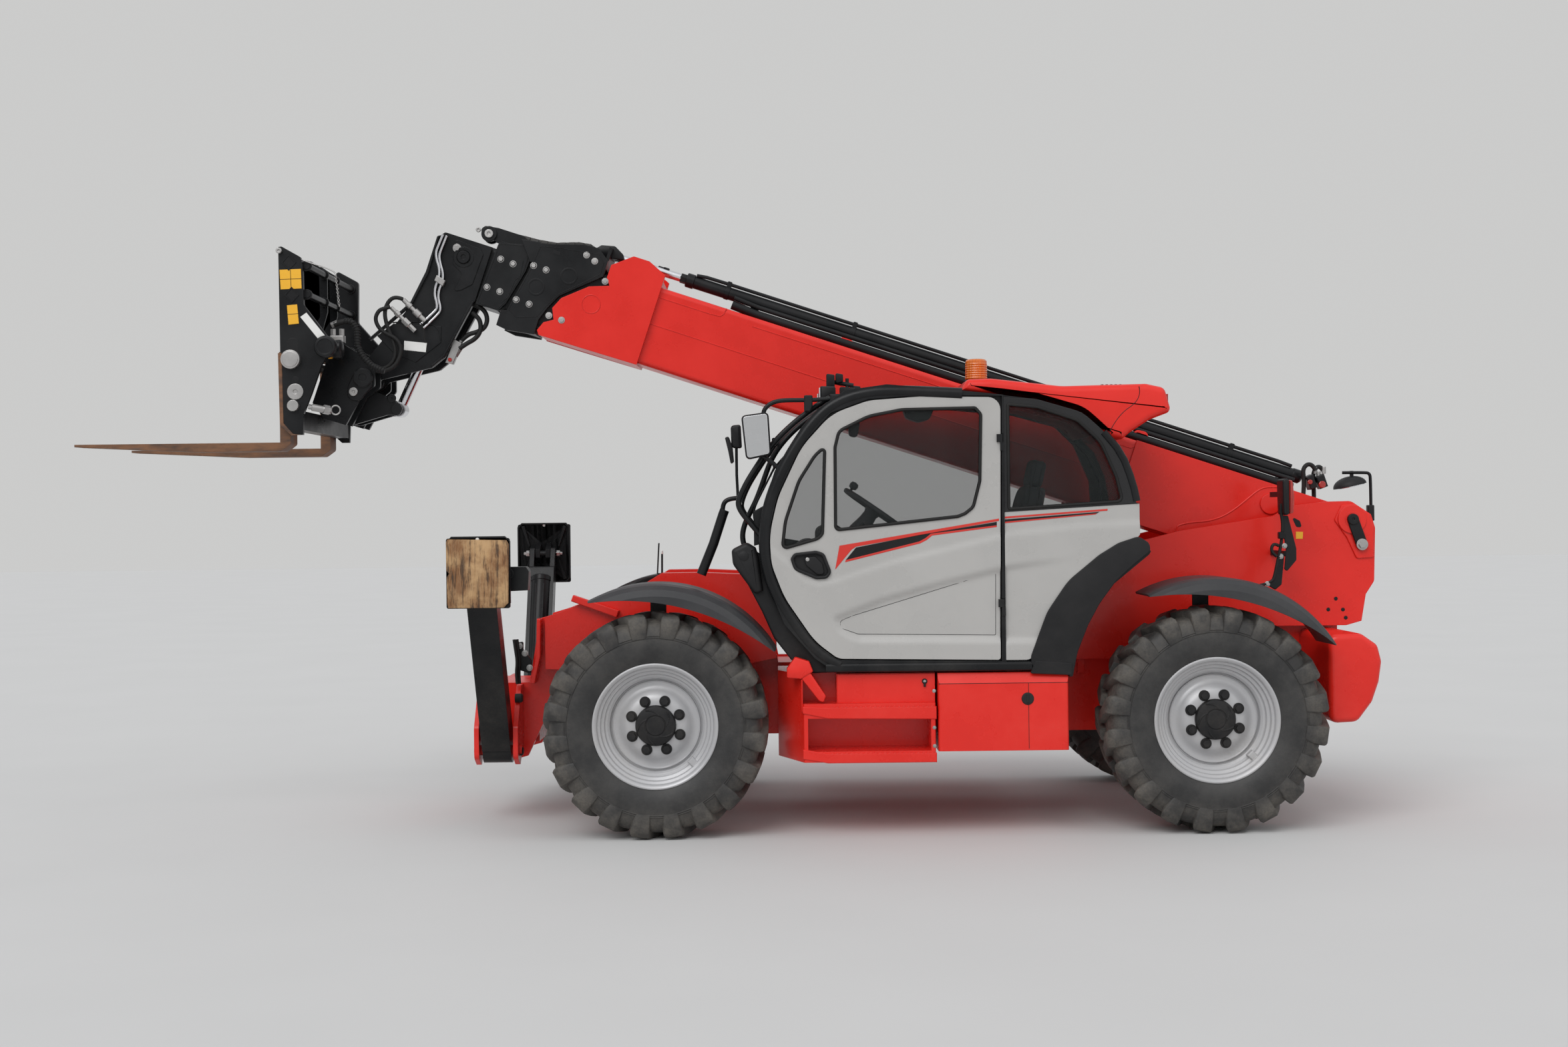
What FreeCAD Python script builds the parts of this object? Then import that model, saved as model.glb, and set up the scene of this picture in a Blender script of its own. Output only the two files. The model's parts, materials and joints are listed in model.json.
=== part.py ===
import FreeCAD, Part
import math
import os
from FreeCAD import Vector, Placement, Rotation

# Telescopic handler, in millimetres.
# The drawing frame has the front at -X, the cab side at -Y, the ground at
# z = 0 and x = 0 midway between the axles. Every body is moved by
# origin_shift, so that the finished machine is centred on its own box.

SIZES = [
    ("axle_x", 1535), ("axle_z", 620), ("kingpin_y", 930), ("wheel_y", 1010),
    ("tyre_radius", 622), ("tyre_width", 400), ("rim_radius", 336),
    ("tyre_lugs", 20), ("lug_depth", 36),
    ("fender_radius", 780), ("boom_angle", 18.5), ("boom_x", 2508),
    ("boom_z", 1706), ("boom_half_width", 180), ("boom_top", 78),
    ("boom_bottom", 400), ("boom_wall", 12), ("slide_gap", 13),
    ("pin_radius", 45), ("running_gap", 0.05), ("chassis_y", 300),
    ("plate_thickness", 40), ("tower_y", 380), ("cab_left", 1165),
    ("cab_right", 290), ("cab_wall", 35), ("skin_thickness", 30),
    ("box_y", 1200), ("box_inner_y", 560), ("box_top", 896),
    ("lift_foot_x", 2340), ("lift_foot_z", 960), ("lift_lug_along", 1400),
    ("lift_lug_down", 540), ("lift_bore", 62), ("lift_rod_radius", 40),
    ("tilt_x", -3313), ("tilt_z", 2618), ("tilt_rod_radius", 30),
    ("fork_tip_x", -4918), ("fork_width", 150), ("fork_y", 485),
    ("fork_thickness", 50), ("carriage_y", 575), ("arm_y", 500),
    ("arm_z", 420), ("arm_length", 1210), ("arm_width", 165),
    ("left_arm_angle", 60), ("right_arm_angle", 67), ("rear_mirror_x", 2920),
    ("counterweight_y", 950), ("seat_gap", 0.3),
]

doc = FreeCAD.newDocument("Telehandler")
sheet = doc.addObject("Spreadsheet::Sheet", "Sizes")
for row, (alias, size) in enumerate(SIZES, 1):
    sheet.set("A%d" % row, alias)
    sheet.set("B%d" % row, str(size))
    sheet.setAlias("B%d" % row, alias)
last_row = len(SIZES) + 1
sheet.set("A%d" % last_row, "origin_shift")
sheet.set("B%d" % last_row, "=-(fork_tip_x + rear_mirror_x) / 2")
sheet.setAlias("B%d" % last_row, "origin_shift")
doc.recompute()


def size(alias):
    return float(sheet.get(alias))


VIEWS = {"side": "XZ_Plane", "front": "YZ_Plane", "top": "XY_Plane"}
SHIFT = size("origin_shift")
AXLE_X, AXLE_Z = size("axle_x"), size("axle_z")
nodes = []


def new_body(label):
    body = doc.addObject("PartDesign::Body", label)
    body.Label = label
    body.AllowCompound = True
    body.setExpression("Placement.Base.x", "Sizes.origin_shift")
    nodes.append(body)
    return body


def place(body, x, y, z, turn=0):
    """Stand a body at a point, turned about the vertical."""
    body.setExpression("Placement.Base.x", None)
    rotation = Rotation(Vector(0, 0, 1), turn)
    body.Placement = Placement(Vector(x + SHIFT, y, z), rotation)


def aim(body, x, z, angle):
    """Stand a body at a point with its own x axis forward and up by angle."""
    body.setExpression("Placement.Base.x", None)
    lean = Rotation(Vector(0, 1, 0), angle)
    rotation = lean.multiply(Rotation(Vector(0, 0, 1), 180))
    body.Placement = Placement(Vector(x + SHIFT, 0, z), rotation)


def origin_part(body, role):
    for feature in body.Origin.OriginFeatures:
        if feature.Role == role:
            return feature


def outline_edges(points):
    """Edges of a closed outline; a third number rounds that corner."""
    corners = []
    for index, point in enumerate(points):
        here = Vector(point[0], point[1], 0)
        radius = point[2] if len(point) > 2 else 0
        if not radius:
            corners.append((here, None, here))
            continue
        before, after = points[index - 1], points[(index + 1) % len(points)]
        back = (Vector(before[0], before[1], 0) - here).normalize()
        ahead = (Vector(after[0], after[1], 0) - here).normalize()
        half = back.getAngle(ahead) / 2
        run = radius / math.tan(half)
        middle = (back + ahead).normalize()
        reach = radius / math.sin(half) - radius
        corners.append((here + back * run, here + middle * reach,
                        here + ahead * run))
    edges = []
    for index, (start, middle, end) in enumerate(corners):
        if middle:
            edges.append(Part.Arc(start, middle, end))
        following = corners[(index + 1) % len(corners)][0]
        if (following - end).Length > 1e-6:
            edges.append(Part.LineSegment(end, following))
    return edges


def hole(x, y, radius):
    return [Part.Circle(Vector(x, y, 0), Vector(0, 0, 1), radius)]


def draw(body, view, loops, level):
    sketch = body.newObject("Sketcher::SketchObject", "Outline")
    sketch.AttachmentSupport = [(origin_part(body, VIEWS[view]), "")]
    sketch.MapMode = "FlatFace"
    sketch.AttachmentOffset = Placement(Vector(0, 0, level), Rotation())
    for loop in loops:
        is_points = isinstance(loop[0], tuple)
        sketch.addGeometry(outline_edges(loop) if is_points else loop, False)
    sketch.Visibility = False
    return sketch


def block(body, view, low, high, *loops, bind=None, remove=False):
    """Extrude outlines between two levels: y for side, x for front, z for top."""
    level = -high if view == "side" else low
    sketch = draw(body, view, loops, level)
    kind = "PartDesign::Pocket" if remove else "PartDesign::Pad"
    feature = body.newObject(kind, "Cut" if remove else "Block")
    feature.Profile = sketch
    if remove:
        feature.Reversed = True
    feature.Length = high - low
    if bind:
        feature.setExpression("Length", bind)
    body.Tip = feature
    return feature


def cut(body, view, low, high, *loops):
    return block(body, view, low, high, *loops, remove=True)


def pair(body, view, low, high, *loops):
    """The same block on both sides of the middle plane y = 0."""
    block(body, view, low, high, *loops)
    block(body, view, -high, -low, *loops)


def box(body, x0, x1, y0, y1, z0, z1):
    block(body, "side", y0, y1, rect(x0, x1, z0, z1))


def pair_box(body, x0, x1, y0, y1, z0, z1):
    pair(body, "side", y0, y1, rect(x0, x1, z0, z1))


def rect(x0, x1, y0, y1, radius=0):
    corners = [(x0, y0), (x1, y0), (x1, y1), (x0, y1)]
    return [(x, y, radius) for x, y in corners] if radius else corners


def flip(points):
    """Mirror a front-view outline to the other side."""
    return [(-point[0],) + tuple(point[1:]) for point in reversed(points)]


def inset(points, depth):
    """Move every edge of a counter-clockwise outline inwards by depth."""
    moved = []
    count = len(points)
    for index in range(count):
        ax, ay = points[index - 1][:2]
        bx, by = points[index][:2]
        cx, cy = points[(index + 1) % count][:2]
        first = Vector(bx - ax, by - ay, 0).normalize()
        second = Vector(cx - bx, cy - by, 0).normalize()
        n1 = Vector(-first.y, first.x, 0)
        n2 = Vector(-second.y, second.x, 0)
        middle = (n1 + n2).normalize()
        reach = depth / max(0.2, middle.dot(n1))
        moved.append((bx + middle.x * reach, by + middle.y * reach))
    return moved


def spin(body, profile, bind=None):
    """Turn an outline of (radius, y) points about the body's y axis."""
    sketch = draw(body, "top", [profile], 0)
    feature = body.newObject("PartDesign::Revolution", "Turned")
    feature.Profile = sketch
    feature.ReferenceAxis = (origin_part(body, "Y_Axis"), [""])
    feature.Angle = 360
    body.Tip = feature
    return feature


CHASSIS_SIDE = [
    (-2400, 350), (-2341, 366), (-2211, 640), (-1850, 640), (-1800, 800),
    (-1270, 800), (-1200, 480), (1200, 480), (1270, 800), (1800, 800),
    (1850, 640), (2440, 640), (2440, 1080), (2560, 1250), (1400, 1250),
    (1250, 1120), (1150, 900), (-860, 900), (-954, 1345), (-1070, 1425), (-1304, 1437),
    (-1538, 1436), (-1676, 1354), (-1813, 1336), (-2165, 1203),
    (-2263, 1175), (-2327, 800), (-2400, 796),
]
ARM_BRACKET = [(250, 385), (440, 385), (500, 330, 30), (600, 385, 40),
               (600, 560, 40), (430, 790), (250, 790)]
LEFT_ARM_X, RIGHT_ARM_X = -2492, -2404


def chassis_frame():
    body = new_body("chassis_frame")
    inner = size("chassis_y")
    outer = inner + size("plate_thickness")
    block(body, "side", -outer, -inner, CHASSIS_SIDE)
    block(body, "side", inner, outer, CHASSIS_SIDE)
    for x0, x1, z0, z1 in [(-2230, 1300, 860, 890), (-1190, 1190, 480, 500),
                           (-2260, -2225, 640, 1050), (-920, -885, 500, 860),
                           (900, 935, 500, 860), (2405, 2440, 640, 1080),
                           (1960, 2000, 640, 800), (-1100, -1060, 500, 760)]:
        box(body, x0, x1, -inner, inner, z0, z1)
    half = size("box_inner_y")
    for x in (-500, 480):
        box(body, x - 40, x + 40, -half, half, 560, 640)
    hinge_y, hinge_z = HOOD_HINGE
    for x in HOOD_POSTS:
        box(body, x, x + 50, outer - 20, hinge_y - 16, 850, 890)
        block(body, "front", x, x + 50,
              [(hinge_y - 40, 850), (hinge_y - 16, 850), (hinge_y - 16, hinge_z - 30),
               (hinge_y, hinge_z - 6), (hinge_y, hinge_z + 6),
               (hinge_y - 16, hinge_z + 6), (hinge_y - 40, hinge_z - 30)])
        block(body, "front", x, x + 50, hole(hinge_y, hinge_z, 9))
    box(body, -2630, -2284, -250, 250, 440, 790)
    box(body, -2400, -2284, -inner, inner, 500, 790)
    half_gap = size("arm_width") / 2 + 16
    for x, outline, side in [(LEFT_ARM_X, flip(ARM_BRACKET), -1),
                             (RIGHT_ARM_X, ARM_BRACKET, 1)]:
        block(body, "front", x - half_gap - 28, x - half_gap, outline)
        block(body, "front", x + half_gap, x + half_gap + 28, outline)
        block(body, "front", x - half_gap - 40, x + half_gap + 40,
              hole(side * size("arm_y"), size("arm_z"), 30))
    foot_x, foot_z = size("lift_foot_x"), size("lift_foot_z")
    lug = [(foot_x - 65, foot_z - 65, 60), (2405, foot_z - 120),
           (2405, foot_z + 75), (foot_x - 65, foot_z + 65, 60)]
    pair(body, "side", 62, 95, lug)
    block(body, "side", -100, 100, hole(foot_x, foot_z, 35))
    block(body, "top", 620, 645, rect(2440, 2620, -70, 70, 30),
          hole(2575, 0, 19))
    block(body, "top", 700, 725, rect(2440, 2620, -70, 70, 30),
          hole(2575, 0, 19))


def rear_tower():
    body = new_body("rear_tower")
    low = size("tower_y")
    high = low + size("plate_thickness")
    outline = [(620, 905), (1230, 905), (1300, 1085), (2470, 1085),
               (2560, 1110), (2587, 1266), (2637, 1343, 40), (2646, 1655, 40),
               (2622, 1734, 20), (2505, 1813, 60), (2369, 1811),
               (2154, 1788), (2056, 1730), (1508, 1649), (1274, 1593, 30),
               (1120, 1580), (880, 1435), (700, 1240), (620, 1110)]
    small = [hole(x, z, 11) for x, z in [(2411, 1241), (2366, 1178),
                                         (2452, 1177), (2468, 1129)]]
    block(body, "side", -high, -low, outline, *small)
    block(body, "side", low, high, outline, *small)
    inner = size("chassis_y") + size("plate_thickness")
    for x0, x1 in [(1300, 1340), (1900, 1940), (2440, 2480)]:
        pair_box(body, x0, x1, inner, low, 1090, 1245)
    pair_box(body, 900, 940, inner, low, 820, 960)
    box(body, 2602, 2630, -low, low, 1350, 1585)
    boom_x, boom_z = size("boom_x"), size("boom_z")
    block(body, "side", -high - 22, high + 22,
          hole(boom_x, boom_z, size("pin_radius")))
    pair(body, "side", high, high + 12, hole(boom_x, boom_z, 82))
    tube_gap = size("boom_half_width") + 30
    bore = hole(boom_x, boom_z, size("pin_radius") - 5)
    pair(body, "side", tube_gap, low, hole(boom_x, boom_z, 78), bore)


def front_cowl():
    body = new_body("front_cowl")
    low = size("chassis_y") + size("plate_thickness")
    outline = [(-2225, 880), (-1250, 860), (-870, 930), (-870, 1150),
               (-954, 1345, 20), (-1070, 1425, 30), (-1304, 1437),
               (-1538, 1436, 20), (-1676, 1354), (-1813, 1336),
               (-2165, 1203), (-2225, 1185)]
    block(body, "side", -low - 80, -low, outline)
    block(body, "side", low, low + 80, outline)


def counterweight():
    body = new_body("counterweight")
    inner = size("chassis_y") + size("plate_thickness")
    half = size("counterweight_y")
    outline = [(2215, 568, 20), (2374, 575, 40), (2459, 687, 40),
               (2498, 799, 60), (2514, 911, 60), (2491, 1005, 30),
               (2398, 1071, 30), (2268, 1066, 15), (2258, 990), (2215, 970)]
    block(body, "side", -half, -inner, outline)
    block(body, "side", inner, half, outline)
    rear = [(2440, 740), (2478, 740), (2498, 799), (2514, 911, 40),
            (2491, 1005, 30), (2440, 1040)]
    block(body, "side", -inner, inner, rear)


FUEL_CAP = (498, 752)


def side_boxes():
    body = new_body("side_boxes")
    outer, inner, top = size("box_y"), size("box_inner_y"), size("box_top")
    plan = [(-4, -outer, 12), (-4, -inner), (-862, -inner), (-862, -860, 10),
            (-721, -outer, 12)]
    block(body, "top", 416, top, plan)
    cut(body, "side", -outer - 10, -outer + 260, rect(-700, -30, 475, 655))
    cut(body, "side", -outer - 10, -outer + 200, rect(-730, -541, 735, top + 5))
    cut(body, "side", -outer - 10, -outer + 45, rect(-541, 0, 735, top + 5))
    block(body, "top", 470, top, rect(10, 722, -outer, -inner, 18))
    cut(body, "front", 5, 727, [(-outer - 10, 836), (-outer, 836),
                                (-outer + 28, top + 5), (-outer - 10, top + 5)])
    block(body, "top", 470, top, rect(-700, 722, inner, outer, 18))
    block(body, "side", -outer - 6, -outer, hole(*FUEL_CAP, 30))


def engine_block():
    body = new_body("engine_block")
    box(body, -350, 690, 600, 1080, size("box_top"), 1460)
    box(body, -200, 100, 650, 1000, 1460, 1540)
    block(body, "side", 700, 760, hole(250, 1200, 150), hole(250, 1200, 60))


HOOD_HINGE = (440, 1600)
HOOD_POSTS = (-400, 500)


def engine_hood():
    body = new_body("engine_hood")
    top = size("box_top") + size("seat_gap")
    outline = [(-620, top), (735, top), (735, 1100), (860, 1340),
               (1040, 1440, 20), (1040, 1520, 40), (900, 1600, 80),
               (-520, 1600, 60), (-620, 1500, 60)]
    block(body, "side", 440, 1190, outline)
    inside = inset([point[:2] for point in outline], 14)
    inside[0] = (inside[0][0], top - 20)
    inside[1] = (inside[1][0], top - 20)
    cut(body, "side", 430, 1176, inside)
    for z in (1000, 1060, 1120, 1180):
        cut(body, "side", 1165, 1200, rect(-480, -120, z, z + 28, 12))
    y, z = HOOD_HINGE
    for x in HOOD_POSTS:
        cut(body, "side", y - 10, y + 16, rect(x - 4, x + 54, z - 16, z + 5))
        block(body, "front", x + 56, x + 96, hole(y, z, 9))


def axle(label, x):
    body = new_body(label)
    z = AXLE_Z
    end = size("kingpin_y")
    place(body, x, 0, z)
    block(body, "side", -end + 140, end - 140, hole(0, 0, 95))
    block(body, "side", -160, 160, [(-150, -60, 40), (-60, -150, 40),
                                    (60, -150, 40), (150, -60, 40),
                                    (150, 80, 30), (-150, 80, 30)])
    base = size("chassis_y")
    pair_box(body, -130, 130, base, base + size("plate_thickness"), 60, 180)
    bore = hole(0, end, 25 + size("running_gap"))
    far = hole(0, -end, 25 + size("running_gap"))
    for low, high in [(110, 140), (-140, -110)]:
        block(body, "top", low, high, rect(-70, 70, end - 150, end + 60), bore)
        block(body, "top", low, high, rect(-70, 70, -end - 60, -end + 150), far)
    pair_box(body, -80, 80, end - 160, end - 90, -140, 140)
    block(body, "side", -end + 150, end - 150, hole(0, -140, 34))


def ring_point(radius, degrees):
    turn = math.radians(degrees)
    return Vector(radius * math.cos(turn), radius * math.sin(turn), 0)


def arc(radius, start, end):
    return Part.Arc(ring_point(radius, start),
                    ring_point(radius, (start + end) / 2),
                    ring_point(radius, end))


def mudguard(body, start, end):
    """Moulded guard: a turned shell with a rounded shoulder and a skirt that
    runs to a point at both ends."""
    radius, low, high = size("fender_radius"), -280, 152
    inner = radius - 12
    spin(body, [(radius, high), (radius, low + 75), (radius - 9, low + 38),
                (radius - 32, low + 10), (radius - 68, low),
                (radius - 118, low), (radius - 118, low + 10),
                (radius - 70, low + 10), (radius - 40, low + 20),
                (inner - 9, low + 46), (inner, low + 78), (inner, high)])
    beyond = radius + 30
    block(body, "side", low - 5, high + 5, [
        arc(beyond, end, start + 360),
        Part.LineSegment(ring_point(beyond, start), Vector(0, 0, 0)),
        Part.LineSegment(Vector(0, 0, 0), ring_point(beyond, end))],
        remove=True)
    middle, deep = (start + end) / 2, radius - 118
    tip, foot = inner - 1, radius - 150
    block(body, "side", low - 5, low + 70, [
        Part.Arc(ring_point(tip, start), ring_point(deep + 4, middle),
                 ring_point(tip, end)),
        Part.LineSegment(ring_point(tip, end), ring_point(foot, end)),
        arc(foot, end, start),
        Part.LineSegment(ring_point(foot, start), ring_point(tip, start))],
        remove=True)


def knuckle(label, x, side):
    """Steering knuckle with its mudguard; local -y points outwards."""
    body = new_body(label)
    place(body, x, side * size("kingpin_y"), AXLE_Z, 180 if side > 0 else 0)
    mudguard(body, *((31.5, 118) if side < 0 else (62, 148.5)))
    box(body, -45, 45, 137, 152, 150, 770)
    box(body, -45, 45, -30, 152, 150, 170)
    block(body, "top", -105, 105, hole(0, 0, 72))
    block(body, "top", -150, 165, hole(0, 0, 25))
    offset = size("wheel_y") - size("kingpin_y")
    block(body, "side", -offset - 110, 0, hole(0, 0, 50))


def flat(*corners):
    return Part.Face(Part.makePolygon([*corners, corners[0]]))


def lugged_ring(groove, lug, lugs):
    """Closed ring whose two halves carry lugs by turns.

    groove and lug are outlines of (radius, y) from the bead to the middle
    plane, with the same number of points. Every sector shows one of them on
    each side; the last two points run one sector on, which slants the lugs.
    """
    sectors = 2 * lugs
    step = 2 * math.pi / sectors
    last = len(groove) - 1

    def at(hand, outline, index, sector):
        radius, y = outline[index]
        ahead = 1.5 if index >= last - 1 else 0.5
        turn = (sector + ahead) * step
        return Vector(radius * math.cos(turn), hand * y, radius * math.sin(turn))

    faces = []
    for sector in range(sectors):
        following = sector + 1
        faces.append(flat(at(1, groove, 0, sector), at(1, groove, 0, following),
                          at(-1, groove, 0, following), at(-1, groove, 0, sector)))
        for hand in (-1, 1):
            raised = (sector % 2 == 0) == (hand < 0)
            outline = lug if raised else groove
            for index in range(last):
                a = at(hand, outline, index, sector)
                b = at(hand, outline, index + 1, sector)
                c = at(hand, outline, index + 1, following)
                d = at(hand, outline, index, following)
                if index == last - 2:
                    faces += [flat(a, b, c), flat(a, c, d)]
                else:
                    faces.append(flat(a, b, c, d))
                low = [at(hand, groove, i, sector) for i in (index, index + 1)]
                high = [at(hand, lug, i, sector) for i in (index, index + 1)]
                starts, ends = low[0] != high[0], low[1] != high[1]
                if ends:
                    faces.append(flat(*low, high[1]))
                if starts:
                    faces.append(flat(low[0], high[1], high[0]))
    shell = Part.makeShell(faces)
    shell.sewShape()
    return Part.makeSolid(shell)


def tyre(label, x, side):
    """Tyre in flat facets, standing on one, with slanted shoulder lugs."""
    out, half = size("tyre_radius"), size("tyre_width") / 2
    bead, floor = size("rim_radius") + 1.2, out - size("lug_depth")
    groove = [(bead, half * 0.82), (bead + 103, half), (out - 126, half),
              (floor - 20, half * 0.84), (floor, 16), (floor, 0)]
    lug = [*groove[:3], (out - 10, half * 0.97), (out, 16), (floor, 0)]
    carcass = doc.addObject("Part::Feature", label + "_carcass")
    carcass.Shape = lugged_ring(groove, lug, int(size("tyre_lugs")))
    carcass.Visibility = False
    body = new_body(label)
    place(body, x, side * size("wheel_y"), AXLE_Z, 180 if side > 0 else 0)
    body.BaseFeature = carcass


def rim(label, x, side):
    body = new_body(label)
    place(body, x, side * size("wheel_y"), AXLE_Z, 180 if side > 0 else 0)
    bead = size("rim_radius")
    edge = size("tyre_width") * 0.41
    bore = 50 + size("running_gap")
    profile = [(bead, -edge), (bead + 12, -edge - 13), (bead - 14, -edge - 13),
               (bead - 32, -edge + 15), (bead - 36, -60), (215, -48),
               (185, -90), (170, -108), (bore, -108), (bore, -60),
               (150, -60), (175, -44), (200, -28), (bead - 40, -36),
               (bead - 36, edge - 15), (bead - 14, edge + 13),
               (bead + 12, edge + 13), (bead, edge)]
    spin(body, list(reversed(profile)))


CAB = [
    (-550, 908), (528, 908), (564, 1063), (658, 1263), (842, 1461),
    (1099, 1613), (1121, 1640), (1121, 1805), (1102, 1814), (1076, 1969),
    (1014, 2116), (906, 2227), (815, 2310), (561, 2386), (384, 2410),
    (154, 2436), (-250, 2474), (-478, 2444), (-625, 2346), (-718, 2246),
    (-866, 2010), (-933, 1810), (-953, 1609), (-919, 1408), (-821, 1169),
    (-659, 984),
]
DOOR = [
    (-532, 981), (353, 965), (369, 2397), (-59, 2406), (-351, 2387),
    (-553, 2316), (-719, 2136), (-850, 1864), (-898, 1663), (-890, 1499),
    (-820, 1316), (-658, 1077),
]
DOOR_HINGE = (371, -1200)
DOOR_HINGE_LEVELS = (1250, 2150)
DOOR_WINDOW = [(-542, 1678), (130, 1745), (171, 1761), (217, 1797),
               (255, 1942), (264, 2307, 30), (232, 2344), (-169, 2339),
               (-352, 2305), (-517, 2225), (-540, 2134)]
FRONT_PANE = [(-835, 1577), (-634, 1633), (-606, 1660), (-588, 2143),
              (-646, 2098), (-739, 1954), (-815, 1735)]
QUARTER_WINDOW = [(404, 1782), (1034, 1818), (1000, 1960), (916, 2150),
                  (790, 2270), (570, 2345), (404, 2362)]
FRONT_RING = [(-550, 908), (384, 908), (384, 2410), (154, 2436),
              (-250, 2474), (-478, 2444), (-625, 2346), (-718, 2246),
              (-866, 2010), (-933, 1810), (-953, 1609), (-919, 1408),
              (-821, 1169), (-659, 984)]
QUARTER = [(384, 963), (526, 963), (564, 1063), (658, 1263), (842, 1461),
           (1099, 1613), (1121, 1640), (1121, 1805), (1102, 1814),
           (1076, 1969), (1014, 2116), (906, 2227), (815, 2310),
           (561, 2386), (384, 2397)]
DOOR_PRESSING = [(-567, 1180, 40), (-535, 1100, 60), (-421, 1064, 80),
                 (420, 1055), (420, 1491), (350, 1475), (-286, 1318),
                 (-545, 1220, 30)]
DOOR_HANDLE = [(-781, 1529, 20), (-762, 1471, 30), (-647, 1421, 20),
               (-590, 1423, 20), (-568, 1453, 20), (-605, 1552, 20),
               (-646, 1566), (-761, 1554, 15)]
QUARTER_PRESSING = [(370, 1055), (520, 1050), (700, 1380), (853, 1540),
                    (840, 1558), (370, 1499)]
RIGHT_WINDOW = [(-640, 1600), (1000, 1780), (990, 1950), (900, 2160),
                (790, 2270), (540, 2340), (-260, 2420), (-440, 2390),
                (-640, 2200), (-790, 1980), (-860, 1800), (-870, 1640)]
ARCH = [(526, 912), (722, 912), (728, 869), (744, 869), (802, 1151),
        (950, 1350), (1171, 1530), (1181, 1548), (1099, 1613), (842, 1461),
        (658, 1263), (564, 1063)]


def cab_frame():
    body = new_body("cab_frame")
    left, right, wall = size("cab_left"), size("cab_right"), size("cab_wall")
    block(body, "side", -left, -right, CAB)
    cut(body, "side", -left + wall, -right - wall, inset(CAB, 40))
    block(body, "side", -left - size("skin_thickness"), -left, FRONT_RING,
          inset(DOOR, -7))
    cut(body, "side", -left - 5, -left + wall + 5, inset(DOOR, 30))
    cut(body, "side", -left - 5, -left + wall + 5, QUARTER_WINDOW)
    cut(body, "side", -right - wall - 5, -right + 5, RIGHT_WINDOW)
    cut(body, "front", -1000, -420,
        rect(-left + 70, -right - 70, 1480, 2330))
    cut(body, "front", 890, 1200, rect(-left + 70, -right - 70, 1680, 2200))
    block(body, "side", -left - 25, -600, ARCH)
    hinge_x, hinge_y = DOOR_HINGE
    for z in DOOR_HINGE_LEVELS:
        cut(body, "side", -left - 36, -left - 24,
            rect(hinge_x - 10, hinge_x + 9, z - 1, z + 48))
        box(body, hinge_x + 1, 384, hinge_y - 5, -left, z - 45, z - 2)
        block(body, "top", z - 45, z - 2, hole(hinge_x, hinge_y, 6))
    top = size("box_top")
    for x in (-480, 150, 430):
        for y in (-1080, -640):
            box(body, x - 40, x + 40, y - 40, y + 40, top, 912)


def cab_panels():
    body = new_body("cab_panels")
    left = size("cab_left")
    block(body, "side", -left - size("skin_thickness"), -left, QUARTER,
          QUARTER_WINDOW)
    cut(body, "side", -left - 40, -left - 22, QUARTER_PRESSING)


def roof_cap():
    body = new_body("roof_cap")
    outline = [(154, 2436), (384, 2410), (561, 2386), (815, 2310),
               (906, 2227), (971, 2165), (1045, 2164), (1082, 2196),
               (1194, 2268), (1316, 2313, 20), (1280, 2444, 20),
               (1178, 2467, 30), (715, 2459), (326, 2505), (196, 2502, 20)]
    block(body, "side", -1140, -330, outline)


def cab_glass():
    body = new_body("cab_glass")
    left, right, wall = size("cab_left"), size("cab_right"), size("cab_wall")
    block(body, "side", -left + 70, -right - 70, inset(CAB, 14),
          inset(CAB, 20))
    for x0, x1, z0, z1 in [(-1100, 1300, 800, 1480), (-1100, 1300, 2330, 2600),
                           (800, 1300, 1400, 1680), (600, 1300, 2200, 2400)]:
        cut(body, "side", -left, -right, rect(x0, x1, z0, z1))
    block(body, "side", -left + 8, -left + 14, QUARTER_WINDOW)
    block(body, "side", -right - 14, -right - 8, RIGHT_WINDOW)


def cab_interior():
    body = new_body("cab_interior")
    box(body, 120, 420, -900, -560, 948, 1180)
    block(body, "side", -960, -500, [(-20, 1180, 30), (440, 1180), (440, 1330),
                                     (-20, 1330, 40)])
    block(body, "side", -950, -510, [(400, 1330), (520, 1330), (640, 1980, 50),
                                     (520, 2010, 50)])
    box(body, -690, -520, -1000, -450, 1110, 1420)
    box(body, -530, -480, -800, -660, 948, 1150)
    block(body, "side", -790, -670, [(-600, 1400), (-540, 1400), (-440, 1650),
                                     (-500, 1680)])
    wheel = [(-660, 1690), (-260, 1560), (-252, 1584), (-652, 1714)]
    block(body, "side", -930, -530, wheel)


def mirrors():
    body = new_body("mirrors")
    block(body, "side", -1200, -1155, [(-1047, 2312, 20), (-1028, 2069, 20),
                                       (-878, 2097, 20), (-897, 2332, 20)])
    top, foot = CAB[-7], CAB[-6]
    slope = (top[0] - foot[0]) / (top[1] - foot[1])
    ends = [(top[0] + slope * (z - top[1]), z) for z in (2210, 2235)]
    block(body, "side", -1150, -1130, [(-960, 2190), *ends, (-960, 2215)])
    box(body, -960, -930, -1165, -1130, 2190, 2215)
    rear_x = size("rear_mirror_x")
    low = size("tower_y")
    box(body, 2600, rear_x - 60, low + 40, low + 60, 1640, 1665)
    box(body, rear_x - 80, rear_x - 60, low + 40, low + 60, 1640, 1900)
    box(body, rear_x - 200, rear_x, low + 60, low + 90, 1790, 1990)


def beacon():
    body = new_body("beacon")
    block(body, "top", 2505, 2536, hole(300, -600, 52))
    block(body, "top", 2536, 2655, hole(300, -600, 64))


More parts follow.
